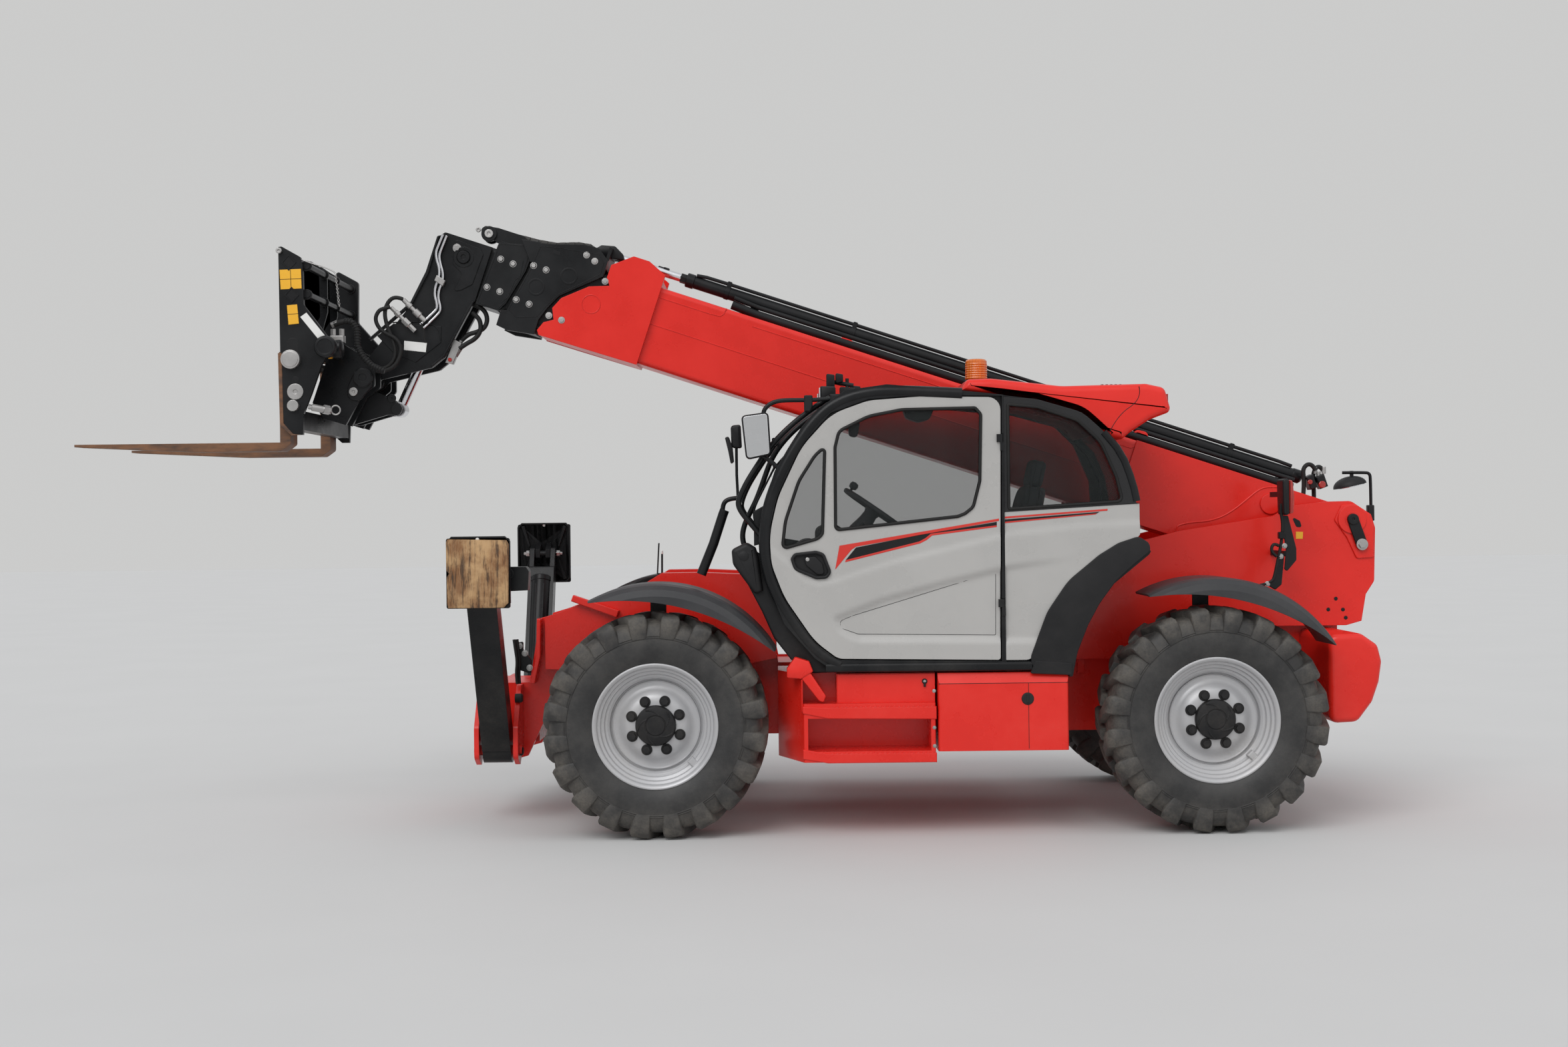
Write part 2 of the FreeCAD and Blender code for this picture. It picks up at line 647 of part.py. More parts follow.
def lights():
    body = new_body("lights")
    low = size("tower_y") + size("plate_thickness")
    pair_box(body, 1995, 2090, 720, 760, 1418, 1941)
    for z in (1500, 1840):
        pair_box(body, 2030, 2055, low, 720, z, z + 30)
    block(body, "side", -1150, -1000, [
        (-1109, 1575, 20), (-1094, 1480, 20), (-985, 1350), (-895.5, 1350),
        CAB[-3], CAB[-4], (-1026, 1621, 20)])
    for y in (-1000, -480):
        block(body, "side", y - 55, y + 55, [(-610, 2356), (-520, 2416),
                                             (-520, 2480), (-610, 2480)])


def door_shell():
    body = new_body("door_shell")
    left = size("cab_left")
    block(body, "side", -left - 35, -left - size("seat_gap"), DOOR,
          DOOR_WINDOW, FRONT_PANE)
    cut(body, "side", -left - 40, -left - 27, DOOR_PRESSING)
    cut(body, "side", -left - 40, -left - 12, DOOR_HANDLE)
    hinge_x, hinge_y = DOOR_HINGE
    for z in DOOR_HINGE_LEVELS:
        cut(body, "side", -left - 45, -left + 5,
            rect(hinge_x - 11, hinge_x + 5, z - 49, z))
        box(body, hinge_x - 26, hinge_x - 1, hinge_y - 5, hinge_y + 10,
            z + 2, z + 45)
        block(body, "top", z + 2, z + 45, hole(hinge_x, hinge_y, 6))


def door_glass():
    body = new_body("door_glass")
    left = size("cab_left")
    block(body, "side", -left - 16, -left - 10, DOOR_WINDOW)
    block(body, "side", -left - 16, -left - 10, FRONT_PANE)


def boom_body(label):
    body = new_body(label)
    aim(body, size("boom_x"), size("boom_z"), size("boom_angle"))
    return body


def tube_loops(step):
    """Outer and inner loops of a boom section, step 0 being the base."""
    drop = step * (size("boom_wall") + size("slide_gap"))
    wall = size("boom_wall")
    half = size("boom_half_width") - drop
    top = size("boom_top") - drop
    bottom = -size("boom_bottom") + drop
    outer = rect(-half, half, bottom, top, 30)
    inner = rect(-half + wall, half - wall, bottom + wall, top - wall, 18)
    return outer, inner


def wear_pads(body, step, front, rear):
    """Pads that carry the next section inside, and this one inside the last."""
    wall, gap = size("boom_wall"), size("slide_gap")
    pad = gap - size("seat_gap")
    drop = step * (wall + gap)
    floor = -size("boom_bottom") + drop + wall
    half = size("boom_half_width") - drop
    if front:
        box(body, front, front + 160, -90, 90, floor, floor + pad)
        pair_box(body, front, front + 160, half - wall - pad, half - wall,
                 -250, -100)
    if rear:
        top = size("boom_top") - drop
        box(body, rear, rear + 160, -90, 90, top, top + pad)


BASE_REAR = 690


def boom_base():
    body = boom_body("boom_base")
    half = size("boom_half_width")
    top, bottom = size("boom_top"), -size("boom_bottom")
    bore = hole(0, 0, size("pin_radius") + size("running_gap"))
    tail = [(-110, -60, 40), (-40, -120, 40), (180, -150, 60),
            (BASE_REAR, bottom), (1300, bottom), (1300, top), (100, top),
            (-60, 100, 50), (-110, 40, 40)]
    block(body, "front", BASE_REAR, 4560, *tube_loops(0))
    block(body, "side", half - 12, half + 12, tail, bore)
    block(body, "side", -half - 12, -half + 12, tail, bore)
    block(body, "side", -half + 12, half - 12, [(120, top - 12), (BASE_REAR, top - 12),
                                                (BASE_REAR, top), (120, top)])
    block(body, "side", -half + 12, half - 12, [(180, -150), (BASE_REAR, bottom),
                                                (BASE_REAR, bottom + 16),
                                                (186, -136)])
    collar = [(4285, bottom - 12), (4650, bottom - 18), (4897, bottom - 21),
              (4914, -396), (4892, -340), (4839, -307), (4868, -243),
              (4835, -170, 30), (4698, -53, 30), (4584, -12), (4613, 31),
              (4611, 110), (4560, 150), (4499, 200, 20), (4400, 200),
              (4285, 150)]
    pair(body, "side", half, half + 32, collar)
    block(body, "side", -half - 32, half + 32,
          [(4285, bottom - 12), (4897, bottom - 18), (4897, bottom),
           (4285, bottom)])
    block(body, "side", -half - 32, half + 32,
          [(4285, top), (4585, top), (4560, 110), (4285, 110)])
    lug_x = size("lift_lug_along")
    lug_z = -size("lift_lug_down")
    lug = [(lug_x - 60, lug_z - 50, 45), (lug_x + 60, lug_z - 50, 45),
           (lug_x + 180, bottom), (lug_x - 160, bottom)]
    pair(body, "side", 62, 90, lug)
    pair(body, "side", 90, 100, hole(lug_x, lug_z, 40))
    wear_pads(body, 0, 4380, 0)
    for x in (1263, 3136):
        eye = [(x - 60, top), (x + 60, top), (x + 40, 135, 25),
               (x - 40, 135, 25)]
        pair(body, "side", 60, 80, eye, hole(x, 110, 14))


def telescope_barrel():
    body = boom_body("telescope_barrel")
    ring = hole(0, 185, 38)
    block(body, "front", 300, 4150, ring, hole(0, 185, 31))
    block(body, "front", 262, 300, hole(0, 185, 38))
    top = size("boom_top")
    for x0, x1 in [(340, 400), (1900, 1940), (3700, 3740)]:
        block(body, "front", x0, x1,
              [(-50, top), (50, top), (24, 150), (-24, 150)])


def section_one():
    body = boom_body("boom_section_1")
    block(body, "front", BASE_REAR + 20, 4930, *tube_loops(1))
    half = size("boom_half_width") - 25
    bottom = -size("boom_bottom")
    collar = [(4928, bottom - 25), (5088, bottom - 50), (5160, bottom - 40),
              (5160, bottom + 50), (5126, bottom + 64), (5075, -79),
              (5060, 105), (4966, 129), (4806, 178, 20), (4715, 185, 20),
              (4640, 130), (4640, 30), (4720, -40), (4855, -160, 20),
              (4900, -250), (4928, -330)]
    pair(body, "side", half, half + 32, collar)
    block(body, "side", -half - 32, half + 32,
          [(4640, 80), (5060, 80), (5060, 105), (4640, 105)])
    block(body, "side", -half - 32, half + 32,
          [(4928, bottom - 20), (5150, bottom - 20), (5150, bottom + 25),
           (4928, bottom + 25)])
    block(body, "side", -half, half,
          [(4640, 80), (4660, 80), (4660, 215), (4640, 215)])
    wear_pads(body, 1, 4740, BASE_REAR + 40)


def telescope_rod():
    body = boom_body("telescope_rod")
    block(body, "front", 420, 4640, hole(0, 185, 25))


def section_two():
    body = boom_body("boom_section_2")
    block(body, "front", 800, 5180, *tube_loops(2))
    half = size("boom_half_width") - 50
    bottom = -size("boom_bottom") + 50
    collar = [(5180, bottom - 5), (5322, bottom - 5), (5300, 36, 20),
              (5160, 70, 20), (5085, 50), (5095, -79), (5150, -300)]
    pair(body, "side", half, half + 30, collar)
    block(body, "side", -half - 30, half + 30,
          [(5085, 28), (5290, 28), (5290, 50), (5085, 50)])
    block(body, "side", -half - 30, half + 30,
          [(5190, bottom - 5), (5315, bottom - 5), (5315, bottom),
           (5190, bottom)])
    roller = [(5105, 40), (5290, 40), (5360, 52), (5420, 58, 20),
              (5452, 88, 20), (5430, 118, 20), (5350, 130, 20), (5180, 130, 20)]
    pair(body, "side", 30, 48, roller)
    block(body, "side", -60, 60, hole(5370, 92, 18))
    wear_pads(body, 2, 4990, 820)


TILT_TOP = (5480, -110)


def section_three():
    body = boom_body("boom_section_3")
    block(body, "front", 900, 5400, *tube_loops(3))
    angle = math.radians(size("boom_angle"))
    dx = size("tilt_x") - size("boom_x")
    dz = size("tilt_z") - size("boom_z")
    along = -dx * math.cos(angle) + dz * math.sin(angle)
    up = dx * math.sin(angle) + dz * math.cos(angle)
    head = [(5335, -330), (5402, -718), (5455, -799, 30),
            (along - 85, up + 20, 20), (along - 55, up - 55, 50),
            (along + 60, up - 60, 50), (along + 62, up + 40, 40),
            (5692, -472), (5656, -267), (5663, -220), (5660, -34, 25),
            (5631, 0, 20), (5394, 0), (5335, 0)]
    bore = hole(along, up, 40 + size("running_gap"))
    pair(body, "side", 105, 128, head, bore)
    block(body, "side", -105, 105, [(5630, -290), (5657, -290), (5663, -220),
                                    (5660, -40), (5630, -40)])
    block(body, "side", -105, 105, [(5400, -14), (5640, -14), (5640, 0),
                                    (5400, 0)])
    for start in (-105, 60):
        block(body, "side", start, start + 45,
              hole(along, up, 62), bore)
    for start in (-105, 62):
        block(body, "side", start, start + 43, hole(*TILT_TOP, 40))
    block(body, "side", -62, 62, hole(*TILT_TOP, 25))
    wear_pads(body, 3, 0, 920)


def boom_point(along, up):
    """World x and z of a point on the boom at rest."""
    angle = math.radians(size("boom_angle"))
    return (size("boom_x") - along * math.cos(angle) + up * math.sin(angle),
            size("boom_z") + along * math.sin(angle) + up * math.cos(angle))


def ram(barrel_label, rod_label, foot, eye, radius, wall, rod_radius,
        barrel_end, rod_start, eye_radius, eye_width, pins):
    """Barrel standing on its foot pin and rod ending in its eye."""
    dx, dz = eye[0] - foot[0], eye[1] - foot[1]
    length = math.hypot(dx, dz)
    angle = math.degrees(math.atan2(dz, -dx))
    gap = size("running_gap")
    barrel = new_body(barrel_label)
    aim(barrel, foot[0], foot[1], angle)
    block(barrel, "side", -eye_width, eye_width, hole(0, 0, eye_radius),
          hole(0, 0, pins[0] + gap))
    block(barrel, "front", eye_radius - 8, eye_radius + 25,
          hole(0, 0, min(radius, eye_width - 5)))
    block(barrel, "front", eye_radius + 25, eye_radius + 40,
          hole(0, 0, radius))
    block(barrel, "front", eye_radius + 40, barrel_end,
          hole(0, 0, radius), hole(0, 0, radius - wall))
    block(barrel, "front", barrel_end, barrel_end + 30,
          hole(0, 0, radius + 4), hole(0, 0, rod_radius + gap))
    rod = new_body(rod_label)
    aim(rod, foot[0], foot[1], angle)
    block(rod, "side", -eye_width, eye_width, hole(length, 0, eye_radius),
          hole(length, 0, pins[1] + 5))
    block(rod, "front", rod_start, length - eye_radius + 6,
          hole(0, 0, rod_radius))
    return length, angle


def carriage():
    body = new_body("carriage")
    low = size("carriage_y")
    plate = [(-3709, 2731), (-3694, 2321), (-3631, 2262), (-3583, 2262),
             (-3578, 2383), (-3532, 2498), (-3472, 2664), (-3400, 2779),
             (-3571, 3011, 30), (-3575, 3242, 20), (-3587, 3287, 20),
             (-3695, 3349, 10), (-3714, 3346)]
    pair(body, "side", low, low + 30, plate)
    x, z = size("tilt_x"), size("tilt_z")
    coupler = [(-3594, 2463), (-3529, 2370), (-3399, 2329), (-3305, 2499),
               (x + 87, z - 60, 30), (x + 87, z + 40, 30), (-3289, 2735, 20),
               (-3419, 2815, 30), (-3513, 2698)]
    pair(body, "side", 140, 168, coupler)
    pair(body, "side", 300, 328, coupler)
    block(body, "side", -178, 178, hole(x, z, 40))
    lever = [(x - 40, z - 90), (x + 30, z - 70), (-3105, 2455, 35),
             (-3125, 2395, 35), (-3200, 2400), (-3395, 2345),
             (-3440, 2345), (-3440, 2400)]
    pair(body, "side", 64, 92, lever)
    pair(body, "side", 92, 102, hole(-3143, 2435, 32))
    pair_box(body, -3440, -3395, 64, 168, 2347, 2395)
    outer = low
    block(body, "side", -outer, outer, hole(-3439, 2766, 34))
    block(body, "side", -outer, outer, hole(-3651, 2698, 28))
    box(body, -3640, -3585, -outer, outer, 2290, 2400)
    box(body, -3665, -3640, -outer, outer, 2290, 2350)
    for z in (3075, 3240):
        block(body, "side", -outer, outer, hole(-3560, z, 20))
    pair(body, "side", 120, 135, [(-3705, 2790), (-3610, 2790),
                                  (-3545, 3020, 20), (-3545, 3260, 20),
                                  (-3640, 3325, 20), (-3700, 3325)])
    box(body, -3700, -3660, -outer, outer, 2752, 2790)


def forks():
    body = new_body("forks")
    tip, thick = size("fork_tip_x"), size("fork_thickness")
    top = 2221
    side = [(tip, top - 14), (tip + 700, top - thick), (-3720, top - thick, 30),
            (-3665, top - thick + 40, 20), (-3665, 2600), (-3590, 2640, 20),
            (-3590, 2745, 20), (-3727, 2745), (-3727, top), (tip, top)]
    y, half = size("fork_y"), size("fork_width") / 2
    bore = hole(-3651, 2698, 28 + size("running_gap"))
    pair(body, "side", y - half, y + half, side, bore)


def bar(start, angle, along, back, depth):
    """Bar outline in a front view, from a pivot along an angle."""
    direction = Vector(math.cos(angle), math.sin(angle), 0)
    normal = Vector(-direction.y, direction.x, 0)
    origin = Vector(start[0], start[1], 0)
    corners = [origin + direction * a + normal * b
               for a, b in [(back, -depth), (along, -depth * 0.8),
                            (along, depth * 0.8), (back, depth)]]
    return [(corner.x, corner.y, 12) for corner in corners]


def stabiliser(side, arm_label, pad_label, wood_label, x, degrees):
    pivot = (side * size("arm_y"), size("arm_z"))
    angle = math.radians(degrees if side > 0 else 180 - degrees)
    half = size("arm_width") / 2
    length = size("arm_length")
    tip = (pivot[0] + length * math.cos(angle),
           pivot[1] + length * math.sin(angle))
    body = new_body(arm_label)
    block(body, "front", x - half, x + half,
          bar(pivot, angle, length - 110, 40, 75))
    block(body, "front", x - half, x + half, hole(*pivot, 72))
    cut(body, "front", x - half - 5, x + half + 5,
        hole(*pivot, 30 + size("running_gap")))
    ear = bar(tip, angle, 30, -190, 45)
    for x0 in (x - half, x + half - 30):
        block(body, "front", x0, x0 + 30, ear)
        cut(body, "front", x0 - 5, x0 + 35, hole(*tip, 20 + size("running_gap")))
    y0, z0 = tip
    if side < 0:
        block(body, "side", y0 + 45, y0 + 135,
              [(x + half - 5, z0 - 107), (x + 255, z0 - 100), (x + 261, z0 + 6, 15),
               (x + 246, z0 + 30, 10), (x + half - 5, z0 + 30)])
    pad = new_body(pad_label)
    out = side * 60
    far = side * 74
    low, high = sorted((y0 + out, y0 + far))
    block(pad, "side", low, high, rect(x - 174, x + 174, z0 - 192, z0 + 192, 12))
    for x0 in (x - half + 34, x + half - 64):
        lug = [(y0 - side * 26, z0 - 26), (y0 - side * 26, z0 + 26),
               (y0 + out, z0 + 70), (y0 + out, z0 - 70)]
        if side > 0:
            lug.reverse()
        block(pad, "front", x0, x0 + 30, lug)
    block(pad, "front", x - half - 8, x + half + 8, hole(y0, z0, 20))
    wood = new_body(wood_label)
    low, high = sorted((y0 + far, y0 + side * 104))
    block(wood, "side", low, high,
          rect(x - 170, x + 170, z0 - 188, z0 + 188, 6))


chassis_frame()
rear_tower()
front_cowl()
counterweight()
side_boxes()
engine_block()
engine_hood()
axle("front_axle", -AXLE_X)
axle("rear_axle", AXLE_X)
for name, wheel_x, hand in [("front_left", -AXLE_X, -1),
                            ("front_right", -AXLE_X, 1),
                            ("rear_left", AXLE_X, -1),
                            ("rear_right", AXLE_X, 1)]:
    knuckle("knuckle_" + name, wheel_x, hand)
    tyre("tyre_" + name, wheel_x, hand)
    rim("rim_" + name, wheel_x, hand)
cab_frame()
cab_panels()
roof_cap()
cab_glass()
cab_interior()
mirrors()
beacon()
lights()
door_shell()
door_glass()
boom_base()
telescope_barrel()
section_one()
telescope_rod()
section_two()
section_three()
lift_eye = boom_point(size("lift_lug_along"), -size("lift_lug_down"))
ram("lift_barrel", "lift_rod", (size("lift_foot_x"), size("lift_foot_z")),
    lift_eye, size("lift_bore") + 13, 13, size("lift_rod_radius"),
    1040, 370, 55, 55, (35, 30))
ram("tilt_barrel", "tilt_rod", boom_point(*TILT_TOP), (-3143, 2435),
    50, 10, size("tilt_rod_radius"), 560, 425, 45, 55, (25, 22))
carriage()
forks()
stabiliser(-1, "stabiliser_arm_left", "stabiliser_pad_left",
           "pad_wood_left", LEFT_ARM_X, size("left_arm_angle"))
stabiliser(1, "stabiliser_arm_right", "stabiliser_pad_right",
           "pad_wood_right", RIGHT_ARM_X, size("right_arm_angle"))

doc.recompute()
for thing in doc.Objects:
    if "Invalid" in thing.State or "Error" in thing.State:
        raise RuntimeError("%s is not built: %s" % (thing.Label, thing.State))
os.makedirs("parts", exist_ok=True)
for body in nodes:
    if body.Shape.isNull() or not body.Shape.isValid():
        raise RuntimeError("bad shape: " + body.Label)
    body.Shape.exportStep("parts/%s.step" % body.Label)
    print(body.Label, len(body.Shape.Solids), round(body.Shape.Volume / 1e6))
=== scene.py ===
"""Looks of a telescopic handler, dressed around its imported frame.

Places are given the way the machine is drawn: millimetres, front at -x,
cab side at -y, ground at z 0 and x 0 midway between the axles. point()
turns them into metres in the frame's own axes.
"""

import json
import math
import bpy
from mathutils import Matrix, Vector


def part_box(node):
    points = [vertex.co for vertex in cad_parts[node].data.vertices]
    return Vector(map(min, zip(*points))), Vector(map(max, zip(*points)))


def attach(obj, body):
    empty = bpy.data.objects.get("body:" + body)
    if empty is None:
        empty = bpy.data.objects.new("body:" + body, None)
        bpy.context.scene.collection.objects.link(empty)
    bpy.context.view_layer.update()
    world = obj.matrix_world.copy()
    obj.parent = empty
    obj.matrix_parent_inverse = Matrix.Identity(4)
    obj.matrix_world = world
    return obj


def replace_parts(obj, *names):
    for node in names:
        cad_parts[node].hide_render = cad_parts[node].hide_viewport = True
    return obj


bl_info = {
    "name": "Telescopic Handler",
    "version": (1, 0, 0),
    "blender": (4, 5, 0),
    "location": "View3D > Sidebar > Handler",
    "description": "Dresses the frame of a telescopic handler",
    "category": "Object",
}

import bmesh
import bpy
from bpy.props import FloatProperty, FloatVectorProperty, IntProperty
from mathutils import Matrix, Vector
from mathutils.geometry import delaunay_2d_cdt

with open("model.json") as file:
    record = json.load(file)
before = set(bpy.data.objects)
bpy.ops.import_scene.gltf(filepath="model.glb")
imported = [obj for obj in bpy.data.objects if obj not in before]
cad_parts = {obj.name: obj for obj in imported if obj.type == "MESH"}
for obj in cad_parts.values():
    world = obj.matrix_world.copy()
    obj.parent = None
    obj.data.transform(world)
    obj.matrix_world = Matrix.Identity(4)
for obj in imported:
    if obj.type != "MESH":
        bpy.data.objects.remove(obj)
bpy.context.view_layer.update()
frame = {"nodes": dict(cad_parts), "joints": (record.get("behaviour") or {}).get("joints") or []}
SHIFT = 999.0
AXLES = (-1535.0, 1535.0)
WHEEL_Z, WHEEL_Y = 620.0, 1010.0
BOOM_PIN, BOOM_TILT = (2508.0, 1706.0), math.radians(18.5)


def point(x, y, z):
    return Vector(((x + SHIFT) / 1000, y / 1000, z / 1000))


def boom_point(along, y, up):
    c, s = math.cos(BOOM_TILT), math.sin(BOOM_TILT)
    return point(BOOM_PIN[0] - along * c + up * s, y,
                 BOOM_PIN[1] + along * s + up * c)


# Shader building

def link(tree, source, target):
    tree.links.new(source, target)


def add(tree, kind, **settings):
    """Add a node; socket values are given by name, options by attribute."""
    node = tree.nodes.new(kind)
    for key, value in settings.items():
        if hasattr(node, key) and key not in node.inputs:
            setattr(node, key, value)
        elif isinstance(value, bpy.types.NodeSocket):
            link(tree, value, node.inputs[key])
        else:
            node.inputs[key].default_value = value
    return node


def math_node(tree, operation, a, b=None, clamp=False):
    node = tree.nodes.new("ShaderNodeMath")
    node.operation = operation
    node.use_clamp = clamp
    for socket, value in zip(node.inputs, (a, b)):
        if isinstance(value, bpy.types.NodeSocket):
            link(tree, value, socket)
        elif value is not None:
            socket.default_value = value
    return node.outputs[0]


def mix_colour(tree, factor, a, b, blend="MIX"):
    node = tree.nodes.new("ShaderNodeMix")
    node.data_type = "RGBA"
    node.blend_type = blend
    for index, value in ((0, factor), (6, a), (7, b)):
        if isinstance(value, bpy.types.NodeSocket):
            link(tree, value, node.inputs[index])
        else:
            node.inputs[index].default_value = value
    return node.outputs[2]


def ranged(tree, value, low, high, out_low=0.0, out_high=1.0):
    node = tree.nodes.new("ShaderNodeMapRange")
    node.interpolation_type = "SMOOTHSTEP"
    link(tree, value, node.inputs["Value"])
    for key, number in (("From Min", low), ("From Max", high),
                        ("To Min", out_low), ("To Max", out_high)):
        if isinstance(number, bpy.types.NodeSocket):
            link(tree, number, node.inputs[key])
        else:
            node.inputs[key].default_value = number
    return node.outputs["Result"]


def shader_group(name, inputs, outputs):
    """An empty group with its named sockets; returns tree, input and output."""
    tree = bpy.data.node_groups.new(name, "ShaderNodeTree")
    for label, kind, default in inputs:
        socket = tree.interface.new_socket(label, in_out="INPUT",
                                           socket_type="NodeSocket" + kind)
        socket.default_value = default
    for label, kind in outputs:
        tree.interface.new_socket(label, in_out="OUTPUT",
                                  socket_type="NodeSocket" + kind)
    return (tree, tree.nodes.new("NodeGroupInput"),
            tree.nodes.new("NodeGroupOutput"))


def edge_wear_group():
    """Mask of rubbed edges and a normal that rounds them."""
    tree, given, result = shader_group(
        "edge wear", [("Radius", "Float", 0.004), ("Patchiness", "Float", 6.0),
                      ("Amount", "Float", 0.5)],
        [("Worn", "Float"), ("Rounded", "Vector")])
    bevel = add(tree, "ShaderNodeBevel", samples=4,
                Radius=given.outputs["Radius"])
    flat = add(tree, "ShaderNodeNewGeometry")
    dot = add(tree, "ShaderNodeVectorMath", operation="DOT_PRODUCT")
    link(tree, bevel.outputs[0], dot.inputs[0])
    link(tree, flat.outputs["Normal"], dot.inputs[1])
    edge = ranged(tree, dot.outputs["Value"], 0.985, 0.80)
    where = add(tree, "ShaderNodeTexCoord")
    noise = add(tree, "ShaderNodeTexNoise", Vector=where.outputs["Object"],
                Scale=given.outputs["Patchiness"], Detail=6.0, Roughness=0.7)
    patch = ranged(tree, noise.outputs["Fac"], 0.45, 0.68)
    worn = math_node(tree, "MULTIPLY", edge, patch)
    link(tree, math_node(tree, "MULTIPLY", worn, given.outputs["Amount"], True),
         result.inputs["Worn"])
    link(tree, bevel.outputs[0], result.inputs["Rounded"])
    return tree


def grime_group():
    """Road dust that thickens towards the ground, and slow mottling."""
    tree, given, result = shader_group(
        "grime", [("Scale", "Float", 3.0), ("Clean above", "Float", 1.4),
                  ("Thick below", "Float", 0.2), ("Amount", "Float", 0.5)],
        [("Dust", "Float"), ("Mottle", "Float")])
    where = add(tree, "ShaderNodeTexCoord")
    split = add(tree, "ShaderNodeSeparateXYZ", Vector=where.outputs["Object"])
    slow = add(tree, "ShaderNodeTexNoise", Vector=where.outputs["Object"],
               Scale=given.outputs["Scale"], Detail=8.0, Roughness=0.62)
    fine = add(tree, "ShaderNodeTexNoise", Vector=where.outputs["Object"],
               Scale=70.0, Detail=4.0, Roughness=0.6)
    height = ranged(tree, split.outputs["Z"], given.outputs["Clean above"],
                    given.outputs["Thick below"], 0.10, 1.0)
    patch = ranged(tree, slow.outputs["Fac"], 0.40, 0.72)
    speck = ranged(tree, fine.outputs["Fac"], 0.35, 0.75, 0.45, 1.0)
    dust = math_node(tree, "MULTIPLY", math_node(tree, "MULTIPLY", height, patch),
                     speck)
    link(tree, math_node(tree, "MULTIPLY", dust, given.outputs["Amount"], True),
         result.inputs["Dust"])
    link(tree, slow.outputs["Fac"], result.inputs["Mottle"])
    return tree


def grain_group():
    """Height of a fine moulded or sprayed grain."""
    tree, given, result = shader_group(
        "grain", [("Scale", "Float", 400.0), ("Waviness", "Float", 0.3)],
        [("Height", "Float")])
    where = add(tree, "ShaderNodeTexCoord")
    fine = add(tree, "ShaderNodeTexNoise", Vector=where.outputs["Object"],
               Scale=given.outputs["Scale"], Detail=3.0, Roughness=0.5)
    wave = add(tree, "ShaderNodeTexNoise", Vector=where.outputs["Object"],
               Scale=9.0, Detail=2.0, Roughness=0.5)
    waved = math_node(tree, "MULTIPLY", wave.outputs["Fac"],
                      given.outputs["Waviness"])
    link(tree, math_node(tree, "ADD", fine.outputs["Fac"], waved),
         result.inputs["Height"])
    return tree


GROUPS = {}


def group(tree, maker, **values):
    if maker not in GROUPS:
        GROUPS[maker] = maker()
    node = tree.nodes.new("ShaderNodeGroup")
    node.node_tree = GROUPS[maker]
    for key, value in values.items():
        node.inputs[key].default_value = value
    return node


def blank_material(name):
    material = bpy.data.materials.new(name)
    material.use_nodes = True
    tree = material.node_tree
    tree.nodes.clear()
    shader = tree.nodes.new("ShaderNodeBsdfPrincipled")
    out = tree.nodes.new("ShaderNodeOutputMaterial")
    link(tree, shader.outputs[0], out.inputs[0])
    return material, tree, shader


def rgba(colour):
    return (*colour, 1.0)


def shade(colour, factor):
    return tuple(min(1.0, c * factor) for c in colour)


def surface(name, colour, rough=(0.3, 0.45), metal=0.0, coat=0.0, spread=0.12,
            dust=0.3, dust_colour=(0.30, 0.255, 0.20), clean_above=1.4,
            worn=0.4, worn_colour=(0.32, 0.30, 0.29), radius=0.004,
            grain=(500.0, 0.3, 0.02), patchiness=6.0, gloss=0.5):
    """A painted, moulded or cast finish with wear, dust, mottle and grain."""
    material, tree, shader = blank_material(name)
    wear = group(tree, edge_wear_group, Radius=radius, Patchiness=patchiness,
                 Amount=worn)
    grime = group(tree, grime_group, Amount=dust, **{"Clean above": clean_above})
    mottle = ranged(tree, grime.outputs["Mottle"], 0.3, 0.7)
    base = mix_colour(tree, mottle, rgba(shade(colour, 1 - spread)),
                      rgba(shade(colour, 1 + spread)))
    base = mix_colour(tree, wear.outputs["Worn"], base, rgba(worn_colour))
    base = mix_colour(tree, grime.outputs["Dust"], base, rgba(dust_colour))
    link(tree, base, shader.inputs["Base Color"])
    roughness = ranged(tree, grime.outputs["Mottle"], 0.3, 0.7, *rough)
    spoiled = math_node(tree, "MAXIMUM", wear.outputs["Worn"],
                        grime.outputs["Dust"])
    link(tree, math_node(tree, "ADD", roughness,
                         math_node(tree, "MULTIPLY", spoiled, 0.45), True),
         shader.inputs["Roughness"])
    shader.inputs["Metallic"].default_value = metal
    shader.inputs["Coat Weight"].default_value = coat
    shader.inputs["Coat Roughness"].default_value = 0.08
    shader.inputs["Specular IOR Level"].default_value = gloss
    texture = group(tree, grain_group, Scale=grain[0], Waviness=grain[1])
    bump = add(tree, "ShaderNodeBump", Strength=1.0, Distance=grain[2] / 100,
               Height=texture.outputs["Height"],
               Normal=wear.outputs["Rounded"])
    link(tree, bump.outputs[0], shader.inputs["Normal"])
    return material


def glass_material(name, tint, clear, dirty=0.12):
    """Thin tinted pane: alpha lets the inside show, the face still mirrors."""
    material, tree, shader = blank_material(name)
    grime = group(tree, grime_group, Amount=dirty, **{"Clean above": 2.6})
    base = mix_colour(tree, grime.outputs["Dust"], rgba(tint),
                      rgba((0.34, 0.31, 0.27)))
    link(tree, base, shader.inputs["Base Color"])
    rim = add(tree, "ShaderNodeLayerWeight", Blend=0.25)
    cover = math_node(tree, "ADD", math_node(
        tree, "MULTIPLY", rim.outputs["Fresnel"], 0.55), clear, True)
    cover = math_node(tree, "MAXIMUM", cover, grime.outputs["Dust"])
    link(tree, cover, shader.inputs["Alpha"])
    shader.inputs["Roughness"].default_value = 0.03
    shader.inputs["IOR"].default_value = 1.52
    return material


